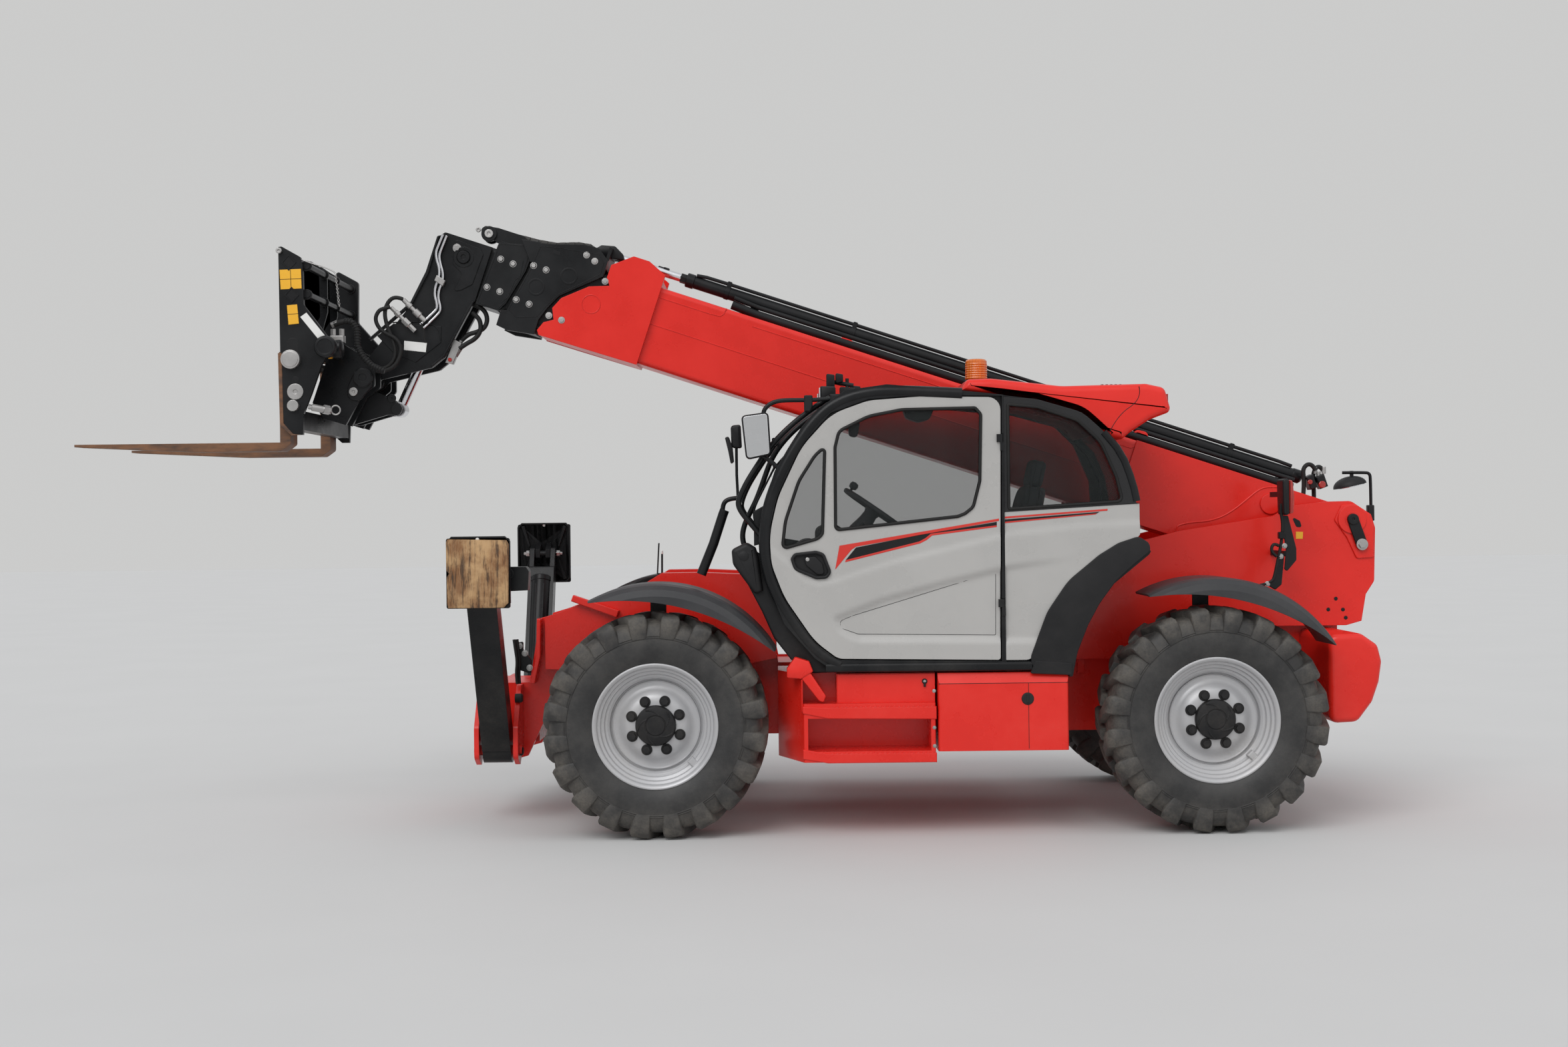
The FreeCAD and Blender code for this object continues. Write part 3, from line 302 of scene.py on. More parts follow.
def rust_material(name):
    """Forged forks: dark steel under brown rust, with bright rub marks."""
    material, tree, shader = blank_material(name)
    where = add(tree, "ShaderNodeTexCoord")
    wear = group(tree, edge_wear_group, Radius=0.005, Patchiness=9.0, Amount=0.7)
    stretch = add(tree, "ShaderNodeMapping", Vector=where.outputs["Object"],
                  Scale=(2.5, 9.0, 9.0))
    patches = add(tree, "ShaderNodeTexNoise", Vector=stretch.outputs[0],
                  Scale=1.6, Detail=9.0, Roughness=0.68)
    pits = add(tree, "ShaderNodeTexNoise", Vector=where.outputs["Object"],
               Scale=160.0, Detail=5.0, Roughness=0.7)
    ramp = add(tree, "ShaderNodeValToRGB", Fac=patches.outputs["Fac"])
    stops = [(0.30, (0.055, 0.040, 0.034)), (0.46, (0.150, 0.075, 0.042)),
             (0.58, (0.235, 0.115, 0.060)), (0.72, (0.130, 0.095, 0.080))]
    for index, (place, colour) in enumerate(stops):
        stop = (ramp.color_ramp.elements[index] if index < 2
                else ramp.color_ramp.elements.new(place))
        stop.position, stop.color = place, rgba(colour)
    base = mix_colour(tree, wear.outputs["Worn"], ramp.outputs["Color"],
                      rgba((0.34, 0.31, 0.29)))
    link(tree, base, shader.inputs["Base Color"])
    link(tree, ranged(tree, patches.outputs["Fac"], 0.3, 0.7, 0.45, 0.82),
         shader.inputs["Roughness"])
    shader.inputs["Metallic"].default_value = 0.35
    bump = add(tree, "ShaderNodeBump", Strength=0.6, Distance=0.0012,
               Height=pits.outputs["Fac"], Normal=wear.outputs["Rounded"])
    link(tree, bump.outputs[0], shader.inputs["Normal"])
    return material


def wood_material(name):
    """Weathered end-grain block: tan with dark upright streaks."""
    material, tree, shader = blank_material(name)
    where = add(tree, "ShaderNodeTexCoord")
    stretch = add(tree, "ShaderNodeMapping", Vector=where.outputs["Object"],
                  Scale=(30.0, 30.0, 3.2))
    streaks = add(tree, "ShaderNodeTexNoise", Vector=stretch.outputs[0],
                  Scale=1.6, Detail=8.0, Roughness=0.72, Distortion=0.25)
    blotch = add(tree, "ShaderNodeTexNoise", Vector=where.outputs["Object"],
                 Scale=6.5, Detail=5.0, Roughness=0.6)
    fibre = add(tree, "ShaderNodeMapping", Vector=where.outputs["Object"],
                Scale=(260.0, 260.0, 14.0))
    fine = add(tree, "ShaderNodeTexNoise", Vector=fibre.outputs[0], Scale=1.0,
               Detail=3.0, Roughness=0.6)
    base = mix_colour(tree, ranged(tree, blotch.outputs["Fac"], 0.35, 0.65),
                      rgba((0.20, 0.085, 0.030)), rgba((0.50, 0.31, 0.15)))
    base = mix_colour(tree, ranged(tree, fine.outputs["Fac"], 0.35, 0.8, 0.0, 0.3),
                      base, rgba((0.56, 0.40, 0.24)))
    dark = math_node(tree, "MULTIPLY",
                     ranged(tree, streaks.outputs["Fac"], 0.50, 0.64),
                     ranged(tree, blotch.outputs["Fac"], 0.66, 0.44, 0.30, 1.0))
    base = mix_colour(tree, dark, base, rgba((0.075, 0.045, 0.028)))
    link(tree, base, shader.inputs["Base Color"])
    shader.inputs["Roughness"].default_value = 0.86
    wear = group(tree, edge_wear_group, Radius=0.006, Amount=0.0)
    height = math_node(tree, "SUBTRACT", fine.outputs["Fac"], dark)
    bump = add(tree, "ShaderNodeBump", Strength=0.8, Distance=0.003,
               Height=height, Normal=wear.outputs["Rounded"])
    link(tree, bump.outputs[0], shader.inputs["Normal"])
    return material


def tyre_material(name):
    """Black rubber, brown with dried mud on the tread and in the corners."""
    material, tree, shader = blank_material(name)
    where = add(tree, "ShaderNodeTexCoord")
    mud = add(tree, "ShaderNodeAttribute", attribute_name="mud")
    slow = add(tree, "ShaderNodeTexNoise", Vector=where.outputs["Object"],
               Scale=5.0, Detail=8.0, Roughness=0.68)
    fine = add(tree, "ShaderNodeTexNoise", Vector=where.outputs["Object"],
               Scale=90.0, Detail=5.0, Roughness=0.65)
    amount = math_node(tree, "MULTIPLY", mud.outputs["Fac"],
                       ranged(tree, slow.outputs["Fac"], 0.36, 0.66, 0.15, 1.0))
    amount = math_node(tree, "MULTIPLY", amount,
                       ranged(tree, fine.outputs["Fac"], 0.3, 0.6, 0.55, 1.0),
                       True)
    rubber = mix_colour(tree, ranged(tree, slow.outputs["Fac"], 0.3, 0.7),
                        rgba((0.014, 0.014, 0.0145)), rgba((0.030, 0.030, 0.030)))
    amount = math_node(tree, "MULTIPLY", amount, 0.62)
    base = mix_colour(tree, amount, rubber, rgba((0.17, 0.15, 0.125)))
    link(tree, base, shader.inputs["Base Color"])
    link(tree, math_node(tree, "ADD", 0.52,
                         math_node(tree, "MULTIPLY", amount, 0.38), True),
         shader.inputs["Roughness"])
    wear = group(tree, edge_wear_group, Radius=0.006, Amount=0.0)
    bump = add(tree, "ShaderNodeBump", Strength=0.5, Distance=0.002,
               Height=fine.outputs["Fac"], Normal=wear.outputs["Rounded"])
    link(tree, bump.outputs[0], shader.inputs["Normal"])
    return material


def lamp_material(name, colour, dark):
    """Moulded lens: vertical flutes over bright coloured plastic, each flute painted from a
    darker copy of the lens colour up to the lens colour, a painted shade and highlight; the
    flutes also bump the surface.
    """
    material, tree, shader = blank_material(name)
    where = add(tree, "ShaderNodeTexCoord")
    flute_relief_and_shade = add(tree, "ShaderNodeTexWave", Vector=where.outputs["Object"],
                 Scale=38.0, Distortion=0.0, bands_direction="X")
    # Painted highlight and shade: across each flute the colour runs from the darker copy to the
    # lit lens colour.
    base = mix_colour(tree, flute_relief_and_shade.outputs["Fac"], rgba(dark), rgba(colour))
    link(tree, base, shader.inputs["Base Color"])
    shader.inputs["Roughness"].default_value = 0.12
    shader.inputs["Coat Weight"].default_value = 0.6
    bump = add(tree, "ShaderNodeBump", Strength=0.5, Distance=0.002,
               Height=flute_relief_and_shade.outputs["Fac"])
    link(tree, bump.outputs[0], shader.inputs["Normal"])
    return material


MATERIALS = {}


def material(name):
    return MATERIALS[name]


def make_materials(paint):
    """Every finish of the machine, from the colours in the panel."""
    red, grey, silver = tuple(paint.red), tuple(paint.grey), tuple(paint.rim)
    black = (0.009, 0.0095, 0.0105)
    MATERIALS.update({
        "red paint": surface("red paint", red, (0.24, 0.34), coat=0.12,
                             spread=0.05, dust=0.10, worn=0.25, gloss=0.35,
                             worn_colour=shade(red, 0.55), radius=0.005),
        "grey paint": surface("grey paint", grey, (0.24, 0.34), coat=0.2,
                              spread=0.03, dust=0.10, worn=0.15,
                              worn_colour=shade(grey, 0.7)),
        "black paint": surface("black paint", black, (0.24, 0.38), gloss=0.25,
                               spread=0.25, dust=0.10, worn=0.35,
                               worn_colour=(0.12, 0.118, 0.115),
                               clean_above=1.7),
        "black plastic": surface("black plastic", (0.013, 0.013, 0.014),
                                 (0.38, 0.52), spread=0.2, dust=0.12, worn=0.2,
                                 gloss=0.25,
                                 worn_colour=(0.09, 0.09, 0.09),
                                 grain=(900.0, 0.2, 0.04)),
        "mudguard": surface("mudguard", (0.034, 0.035, 0.038), (0.36, 0.50),
                            spread=0.15, dust=0.15, gloss=0.4, worn=0.25,
                            worn_colour=(0.12, 0.12, 0.12), clean_above=1.9,
                            grain=(900.0, 0.3, 0.05)),
        "silver rim": surface("silver rim", silver, (0.30, 0.42), metal=0.25,
                              spread=0.05, dust=0.35, worn=0.3,
                              worn_colour=shade(silver, 0.75),
                              clean_above=1.3),
        "steel": surface("steel", (0.46, 0.45, 0.44), (0.28, 0.42), metal=0.9,
                         spread=0.15, dust=0.15, worn=0.3,
                         worn_colour=(0.62, 0.60, 0.58)),
        "mirror glass": surface("mirror glass", (0.86, 0.87, 0.88), (0.02, 0.04),
                                metal=1.0, spread=0.02, dust=0.05, worn=0.0),
        "chrome": surface("chrome", (0.72, 0.72, 0.74), (0.07, 0.14), metal=1.0,
                          spread=0.04, dust=0.1, worn=0.0, radius=0.002),
        "cast iron": surface("cast iron", (0.060, 0.058, 0.056), (0.5, 0.66),
                             metal=0.2, spread=0.25, dust=0.45,
                             worn=0.3, grain=(140.0, 0.2, 0.15)),
        "engine": surface("engine", (0.16, 0.165, 0.17), (0.45, 0.6), metal=0.2,
                          spread=0.2, dust=0.35, grain=(140.0, 0.2, 0.12)),
        "seat cloth": surface("seat cloth", (0.028, 0.029, 0.032), (0.75, 0.88),
                              spread=0.25, dust=0.05, worn=0.1,
                              grain=(700.0, 0.5, 0.12)),
        "trim": surface("trim", (0.040, 0.041, 0.045), (0.5, 0.64),
                        spread=0.12, dust=0.08, worn=0.1,
                        grain=(1100.0, 0.2, 0.05)),
        "rubber": surface("rubber", (0.010, 0.010, 0.010), (0.5, 0.66),
                          gloss=0.3,
                          spread=0.2, dust=0.18, worn=0.1,
                          worn_colour=(0.07, 0.07, 0.07)),
        "yellow plate": surface("yellow plate", (0.85, 0.44, 0.02), (0.4, 0.5),
                                spread=0.05, dust=0.3, clean_above=3.5,
                                worn=0.5, worn_colour=(0.5, 0.35, 0.12)),
        # White for labels, plates and marker tips, and also painted light showing through the
        # pad holes.
        "white plate": surface("white plate", (0.78, 0.78, 0.76), (0.4, 0.5),
                               spread=0.03, dust=0.3, clean_above=3.5),
        "red stripe": surface("red stripe", (0.62, 0.03, 0.02), (0.28, 0.36),
                              spread=0.04, dust=0.12, worn=0.1),
        "window band": surface("window band", (0.010, 0.010, 0.011),
                               (0.05, 0.12), spread=0.1, dust=0.05, worn=0.0),
        # Black for stripes, seams and print, and also painted shade over holes.
        "black stripe": surface("black stripe", (0.012, 0.012, 0.013),
                                (0.28, 0.36), spread=0.1, dust=0.05, worn=0.1,
                                gloss=0.25),
        "forged steel": rust_material("forged steel"),
        "wood": wood_material("wood"),
        "tyre rubber": tyre_material("tyre rubber"),
        "clear glass": glass_material("clear glass", (0.030, 0.036, 0.036), 0.22),
        "dark glass": glass_material("dark glass", (0.010, 0.011, 0.012), 0.55),
        # Each lens's second colour is a darker copy of its first, painted as the shaded side of
        # every flute.
        "amber lens": lamp_material("amber lens", (0.86, 0.22, 0.01),
                                    (0.45, 0.08, 0.004)),
        "red lens": lamp_material("red lens", (0.55, 0.02, 0.01),
                                  (0.20, 0.008, 0.005)),
        "white lens": lamp_material("white lens", (0.75, 0.76, 0.78),
                                    (0.42, 0.43, 0.45)),
    })


NODE_FINISH = {
    "red paint": ["chassis_frame", "rear_tower", "front_cowl", "counterweight",
                  "side_boxes", "engine_hood", "roof_cap", "boom_base"],
    "grey paint": ["cab_panels", "door_shell"],
    "black paint": ["cab_frame", "boom_section_1", "boom_section_2",
                    "boom_section_3", "telescope_barrel", "lift_barrel",
                    "tilt_barrel", "carriage", "stabiliser_arm_left",
                    "stabiliser_arm_right", "stabiliser_pad_left",
                    "stabiliser_pad_right"],
    "cast iron": ["front_axle", "rear_axle"],
    "mudguard": ["knuckle_front_left", "knuckle_front_right",
                 "knuckle_rear_left", "knuckle_rear_right"],
    "black plastic": ["mirrors", "lights"],
    "silver rim": ["rim_front_left", "rim_front_right", "rim_rear_left",
                   "rim_rear_right"],
    "chrome": ["telescope_rod", "lift_rod", "tilt_rod"],
    "engine": ["engine_block"],
    "trim": ["cab_interior"],
    "forged steel": ["forks"],
    "wood": ["pad_wood_left", "pad_wood_right"],
    "tyre rubber": ["tyre_front_left", "tyre_front_right", "tyre_rear_left",
                    "tyre_rear_right"],
    "clear glass": ["cab_glass", "door_glass"],
    "amber lens": ["beacon"],
}


# Mesh building

class Shape:
    """Gathers solids, then becomes one object that rides on a body."""

    def __init__(self):
        self.bm = bmesh.new()

    def solid(self, verts, faces, smooth=True):
        made = [self.bm.verts.new(v) for v in verts]
        for face in faces:
            try:
                self.bm.faces.new([made[i] for i in face]).smooth = smooth
            except ValueError:
                continue

    def prism(self, outline, low, high, place, chamfer=0.0, steps=1):
        """Extrude (a, b) points; place turns (a, level, b) into a point.

        A chamfer breaks both end faces' edges, or rounds them in steps.
        """
        rings = [(low, 0.0), (high, 0.0)]
        if chamfer:
            turns = [math.pi / 2 * k / steps for k in range(steps + 1)]
            ends = [(chamfer * (1 - math.cos(t)), chamfer * (1 - math.sin(t)))
                    for t in turns]
            rings = [(low + run, depth) for run, depth in ends] + [
                (high - run, depth) for run, depth in reversed(ends)]
        loops = [shrink(outline, depth) for _, depth in rings]
        verts = [place(a, level, b)
                 for (level, _), loop in zip(rings, loops) for a, b in loop]
        count = len(outline)
        faces = [list(range(count))[::-1],
                 list(range(count * (len(rings) - 1), count * len(rings)))]
        for ring in range(len(rings) - 1):
            for i in range(count):
                j = (i + 1) % count
                a = ring * count
                faces.append([a + i, a + j, a + count + j, a + count + i])
        self.solid(verts, faces, smooth=False)

    def plate(self, outline, y0, y1, chamfer=0.0, place=point, steps=1):
        self.prism(outline, y0, y1, place, chamfer, steps)

    def frame(self, outline, width, y0, y1, place=point):
        """Flat band of a width along the inside of an outline."""
        inner = shrink(outline, width)
        count = len(outline)
        verts = [place(a, y, b) for y in (y0, y1) for loop in (outline, inner)
                 for a, b in loop]
        faces = []
        for i in range(count):
            j = (i + 1) % count
            for a, b in ((0, 1), (3, 2), (2, 0), (1, 3)):
                faces.append([a * count + i, a * count + j,
                              b * count + j, b * count + i])
        self.solid(verts, faces, smooth=False)

    def box(self, x0, x1, y0, y1, z0, z1, chamfer=0.0, place=point):
        self.prism([(x0, z0), (x1, z0), (x1, z1), (x0, z1)], y0, y1, place,
                   chamfer)

    def turned(self, centre, axis, profile, sides=32, closed=False):
        """Revolve (radius, along) pairs about an axis, with end faces, or
        back to the first pair for a ring."""
        axis = Vector(axis).normalized()
        side = axis.orthogonal().normalized()
        up = axis.cross(side)
        centre = Vector(centre)
        verts = []
        for radius, along in profile:
            for k in range(sides):
                turn = 2 * math.pi * k / sides
                spoke = side * math.cos(turn) + up * math.sin(turn)
                verts.append(centre + (axis * along + spoke * radius) / 1000)
        faces = []
        for ring in range(len(profile) - 1):
            for k in range(sides):
                j = (k + 1) % sides
                a = ring * sides
                faces.append([a + k, a + j, a + sides + j, a + sides + k])
        last = (len(profile) - 1) * sides
        if closed:
            faces += [[last + k, last + (k + 1) % sides, (k + 1) % sides, k]
                      for k in range(sides)]
        else:
            faces += [list(range(sides))[::-1],
                      list(range(last, last + sides))]
        self.solid(verts, faces)

    def rod(self, start, end, radius, sides=16):
        start, end = Vector(start), Vector(end)
        length = (end - start).length * 1000
        self.turned(start, end - start, [(radius, 0), (radius, length)], sides)

    def finish(self, name, body, finish, slot=None, sharp=32.0, merge=True):
        bm = self.bm
        if merge:
            bmesh.ops.remove_doubles(bm, verts=bm.verts, dist=1e-6)
        bmesh.ops.recalc_face_normals(bm, faces=bm.faces)
        mark_edges(bm, sharp)
        mesh = bpy.data.meshes.new(name)
        bm.to_mesh(mesh)
        bm.free()
        return settle(mesh, name, body, finish)


def mark_edges(bm, sharp):
    """Shade every face smooth, and keep edges over an angle sharp."""
    limit = math.radians(sharp)
    for face in bm.faces:
        face.smooth = True
    for edge in bm.edges:
        if len(edge.link_faces) != 2 or edge.calc_face_angle(0.0) > limit:
            edge.smooth = False


def tidy(mesh, sharp):
    """Merge touching points, face outwards and keep edges over an angle."""
    bm = bmesh.new()
    bm.from_mesh(mesh)
    bmesh.ops.remove_doubles(bm, verts=bm.verts, dist=1e-6)
    bmesh.ops.recalc_face_normals(bm, faces=bm.faces)
    mark_edges(bm, sharp)
    bm.to_mesh(mesh)
    bm.free()
    return mesh


def settle(mesh, name, body, finish):
    """Make the object for a finished mesh and let it ride on its body."""
    mesh.materials.clear()
    mesh.materials.append(material(finish))
    piece = bpy.data.objects.new(name, mesh)
    bpy.context.scene.collection.objects.link(piece)
    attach(piece, body)
    return piece


def shrink(outline, depth):
    """Move every edge of an outline inwards, whichever way it runs."""
    if not depth:
        return [tuple(p[:2]) for p in outline]
    area = sum(ax * bz - bx * az for (ax, az), (bx, bz)
               in zip([outline[-1], *outline], outline))
    side = 1 if area > 0 else -1
    moved = []
    for i, (bx, bz) in enumerate(outline):
        ax, az = outline[i - 1]
        cx, cz = outline[(i + 1) % len(outline)]
        u, v = Vector((bx - ax, bz - az)), Vector((cx - bx, cz - bz))
        if u.length < 1e-6 or v.length < 1e-6:
            moved.append((bx, bz))
            continue
        u.normalize()
        v.normalize()
        n1, n2 = Vector((-u.y, u.x)) * side, Vector((-v.y, v.x)) * side
        middle = n1 + n2
        if middle.length < 1e-6:
            moved.append((bx, bz))
            continue
        middle.normalize()
        reach = depth / max(0.35, middle.dot(n1))
        moved.append((bx + middle.x * reach, bz + middle.y * reach))
    return moved


def rounded(points, steps=5):
    """Outline with arcs at corners that carry a third number, the radius."""
    made = []
    for i, corner in enumerate(points):
        if len(corner) < 3 or not corner[2]:
            made.append(tuple(corner[:2]))
            continue
        here = Vector(corner[:2])
        back = Vector(points[i - 1][:2]) - here
        ahead = Vector(points[(i + 1) % len(points)][:2]) - here
        half = back.angle(ahead) / 2
        run = min(corner[2] / math.tan(half),
                  0.48 * min(back.length, ahead.length))
        radius = run * math.tan(half)
        start = here + back.normalized() * run
        end = here + ahead.normalized() * run
        centre = here + (back.normalized() + ahead.normalized()).normalized() * (
            radius / math.sin(half))
        first, last = start - centre, end - centre
        turn = first.angle_signed(last) if first.length and last.length else 0
        for k in range(steps + 1):
            a = -turn * k / steps
            made.append(tuple(centre + Matrix.Rotation(a, 2) @ first))
    return made


def inside(x, z, outline):
    """Whether a point lies within an outline."""
    found = False
    for i, (bx, bz) in enumerate(outline):
        ax, az = outline[i - 1]
        if (az > z) != (bz > z) and x < ax + (z - az) / (bz - az) * (bx - ax):
            found = not found
    return found


def edge_distance(x, z, outline):
    here = Vector((x, z))
    least = 1e9
    for i, end in enumerate(outline):
        start, end = Vector(outline[i - 1]), Vector(end)
        run = end - start
        share = (here - start).dot(run) / max(run.length_squared, 1e-9)
        nearest = start + run * min(1.0, max(0.0, share))
        least = min(least, (here - nearest).length)
    return least


def level_at(line, x):
    """Height of a polyline at x, carried on past its ends."""
    for (x0, z0), (x1, z1) in zip(line, line[1:]):
        if x <= x1 or (x1, z1) == tuple(line[-1]):
            slope = (z1 - z0) / (x1 - x0)
            return z0 + (x - x0) * slope, math.hypot(1.0, slope)
    return line[-1][1], 1.0


def smooth(value):
    value = min(1.0, max(0.0, value))
    return value * value * (3 - 2 * value)


def pressed_panel(name, body, finish, outline, holes, depth, face, back,
                  pitch=16.0):
    """Sheet with windows whose outer face sinks by depth(x, z)."""
    loops = [list(outline), *[list(hole) for hole in holes]]
    dense = []
    for loop in loops:
        made = []
        for i, end in enumerate(loop):
            start, end = Vector(loop[i - 1]), Vector(end)
            count = max(1, round((end - start).length / pitch))
            made += [tuple(start + (end - start) * k / count)
                     for k in range(count)]
        dense.append(made)
    points, edges = [], []
    for made in dense:
        first = len(points)
        points += made
        edges += [(first + i, first + (i + 1) % len(made))
                  for i in range(len(made))]
    xs, zs = [p[0] for p in dense[0]], [p[1] for p in dense[0]]
    for i in range(1, int((max(xs) - min(xs)) / pitch) + 1):
        for j in range(1, int((max(zs) - min(zs)) / pitch) + 1):
            x, z = min(xs) + i * pitch, min(zs) + j * pitch
            if not inside(x, z, dense[0]) or any(
                    inside(x, z, hole) for hole in dense[1:]):
                continue
            if min(edge_distance(x, z, loop) for loop in loops) > pitch * 0.45:
                points.append((x, z))
    flat, _, faces, origins, _, _ = delaunay_2d_cdt(
        [Vector(p) for p in points], edges, [], 0, 1e-4)
    kept = []
    for face_points in faces:
        cx = sum(flat[i][0] for i in face_points) / 3
        cz = sum(flat[i][1] for i in face_points) / 3
        if inside(cx, cz, dense[0]) and not any(
                inside(cx, cz, hole) for hole in dense[1:]):
            kept.append(list(face_points))
    shape = Shape()
    front = [shape.bm.verts.new(point(x, face + depth(x, z), z)) for x, z in flat]
    rear = [shape.bm.verts.new(point(x, back, z)) for x, z in flat]
    borders = {}
    for tri in kept:
        shape.bm.faces.new([front[i] for i in tri])
        shape.bm.faces.new([rear[i] for i in reversed(tri)])
        for a, b in zip(tri, tri[1:] + tri[:1]):
            key = (min(a, b), max(a, b))
            borders[key] = borders.get(key, 0) + 1
    for (a, b), uses in borders.items():
        if uses == 1:
            shape.bm.faces.new([front[a], front[b], rear[b], rear[a]])
    lone = [v for v in shape.bm.verts if not v.link_faces]
    bmesh.ops.delete(shape.bm, geom=lone, context="VERTS")
    return shape.finish(name, body, finish, sharp=40.0)


def circle(x, z, radius, sides=24):
    return [(x + radius * math.cos(2 * math.pi * k / sides),
             z + radius * math.sin(2 * math.pi * k / sides))
            for k in range(sides)]


def plates(name, body, finish, outlines, y0, y1, chamfer=0.0, place=point,
           steps=1):
    """One piece from several flat plates between the same two levels."""
    shape = Shape()
    for outline in outlines:
        shape.plate(outline, y0, y1, chamfer, place, steps)
    return shape.finish(name, body, finish)


def along(points, y, place=point):
    """Lift (x, z) points into the frame at one level."""
    return [place(p[0], y, p[1]) for p in points]


# Geometry Nodes

def node_tree(name, inputs):
    tree = bpy.data.node_groups.new(name, "GeometryNodeTree")
    tree.interface.new_socket("Geometry", in_out="INPUT",
                              socket_type="NodeSocketGeometry")
    for label, kind, default in inputs:
        socket = tree.interface.new_socket(label, in_out="INPUT",
                                           socket_type="NodeSocket" + kind)
        if default is not None:
            socket.default_value = default
    tree.interface.new_socket("Geometry", in_out="OUTPUT",
                              socket_type="NodeSocketGeometry")
    return tree, tree.nodes.new("NodeGroupInput"), tree.nodes.new("NodeGroupOutput")


def chain_nodes(tree, geometry, steps):
    """Put nodes one after another on a geometry socket."""
    for node in steps:
        link(tree, geometry, node.inputs[0])
        geometry = node.outputs[0]
    return geometry


TREES = {}


def fastener_tree():
    """A hexagon head on a washer at every vertex, turned to its normal."""
    tree, given, result = node_tree("fasteners on points", [
        ("Across", "Float", 0.024), ("Height", "Float", 0.012),
        ("Material", "Material", None)])
    head = add(tree, "GeometryNodeMeshCylinder", Vertices=6)
    washer = add(tree, "GeometryNodeMeshCylinder", Vertices=20)
    half = math_node(tree, "MULTIPLY", given.outputs["Across"], 0.577)
    wide = math_node(tree, "MULTIPLY", given.outputs["Across"], 0.85)
    thin = math_node(tree, "MULTIPLY", given.outputs["Height"], 0.3)
    for node, radius, depth in ((head, half, given.outputs["Height"]),
                                (washer, wide, thin)):
        link(tree, radius, node.inputs["Radius"])
        link(tree, depth, node.inputs["Depth"])
    lift = add(tree, "ShaderNodeCombineXYZ", Z=math_node(
        tree, "MULTIPLY", given.outputs["Height"], 0.5))
    raise_head = add(tree, "GeometryNodeTransform",
                     Geometry=head.outputs["Mesh"], Translation=lift.outputs[0])
    join = add(tree, "GeometryNodeJoinGeometry")
    link(tree, raise_head.outputs[0], join.inputs[0])
    link(tree, washer.outputs["Mesh"], join.inputs[0])
    facing = add(tree, "GeometryNodeInputNamedAttribute",
                 data_type="FLOAT_VECTOR", Name="facing")
    turn = add(tree, "FunctionNodeAlignRotationToVector", axis="Z",
               Vector=facing.outputs[0])
    place = add(tree, "GeometryNodeInstanceOnPoints",
                Points=given.outputs["Geometry"], Instance=join.outputs[0],
                Rotation=turn.outputs[0])
    real = add(tree, "GeometryNodeRealizeInstances")
    coat = add(tree, "GeometryNodeSetMaterial",
               Material=given.outputs["Material"])
    link(tree, chain_nodes(tree, place.outputs[0], [real, coat]),
         result.inputs[0])
    return tree


def path_tree():
    """A round bar, pipe or hose along every path, closed at its ends."""
    tree, given, result = node_tree("bar along path", [
        ("Radius", "Float", 0.01), ("Sides", "Int", 12),
        ("Material", "Material", None)])
    ring = add(tree, "GeometryNodeCurvePrimitiveCircle",
               Resolution=given.outputs["Sides"], Radius=given.outputs["Radius"])
    sweep = add(tree, "GeometryNodeCurveToMesh", Curve=given.outputs["Geometry"],
                **{"Profile Curve": ring.outputs[0], "Fill Caps": True})
    smooth = add(tree, "GeometryNodeSetShadeSmooth")
    real = add(tree, "GeometryNodeRealizeInstances")
    coat = add(tree, "GeometryNodeSetMaterial",
               Material=given.outputs["Material"])
    link(tree, chain_nodes(tree, sweep.outputs[0], [smooth, real, coat]),
         result.inputs[0])
    return tree


def repeat_tree():
    """Copies of a given object round an axis through a centre."""
    tree, given, result = node_tree("ring of copies", [
        ("Copies", "Int", 20), ("Unit", "Object", None),
        ("Centre", "Vector", (0, 0, 0)), ("Start", "Float", 0.0),
        ("Material", "Material", None)])
    unit = add(tree, "GeometryNodeObjectInfo", Object=given.outputs["Unit"])
    points = add(tree, "GeometryNodePoints", Count=given.outputs["Copies"],
                 Position=given.outputs["Centre"])
    index = add(tree, "GeometryNodeInputIndex")
    share = math_node(tree, "DIVIDE", index.outputs[0], given.outputs["Copies"])
    angle = math_node(tree, "ADD", math_node(tree, "MULTIPLY", share,
                                             2 * math.pi),
                      given.outputs["Start"])
    turn = add(tree, "ShaderNodeCombineXYZ", Y=angle)
    place = add(tree, "GeometryNodeInstanceOnPoints", Points=points.outputs[0],
                Instance=unit.outputs["Geometry"])
    link(tree, turn.outputs[0], place.inputs["Rotation"])
    real = add(tree, "GeometryNodeRealizeInstances")
    coat = add(tree, "GeometryNodeSetMaterial",
               Material=given.outputs["Material"])
    link(tree, chain_nodes(tree, place.outputs[0], [real, coat]),
         result.inputs[0])
    return tree


def bake(source, maker, values):
    """Run a node tree on an object and return the plain mesh it makes."""
    if maker not in TREES:
        TREES[maker] = maker()
    tree = TREES[maker]
    modifier = source.modifiers.new("nodes", "NODES")
    modifier.node_group = tree
    for item in tree.interface.items_tree:
        if item.in_out == "INPUT" and item.name in values:
            modifier[item.identifier] = values[item.name]
    graph = bpy.context.evaluated_depsgraph_get()
    mesh = bpy.data.meshes.new_from_object(source.evaluated_get(graph))
    source.modifiers.remove(modifier)
    data = source.data
    bpy.data.objects.remove(source)
    if data.users == 0:
        (bpy.data.curves if isinstance(data, bpy.types.Curve)
         else bpy.data.meshes).remove(data)
    return mesh


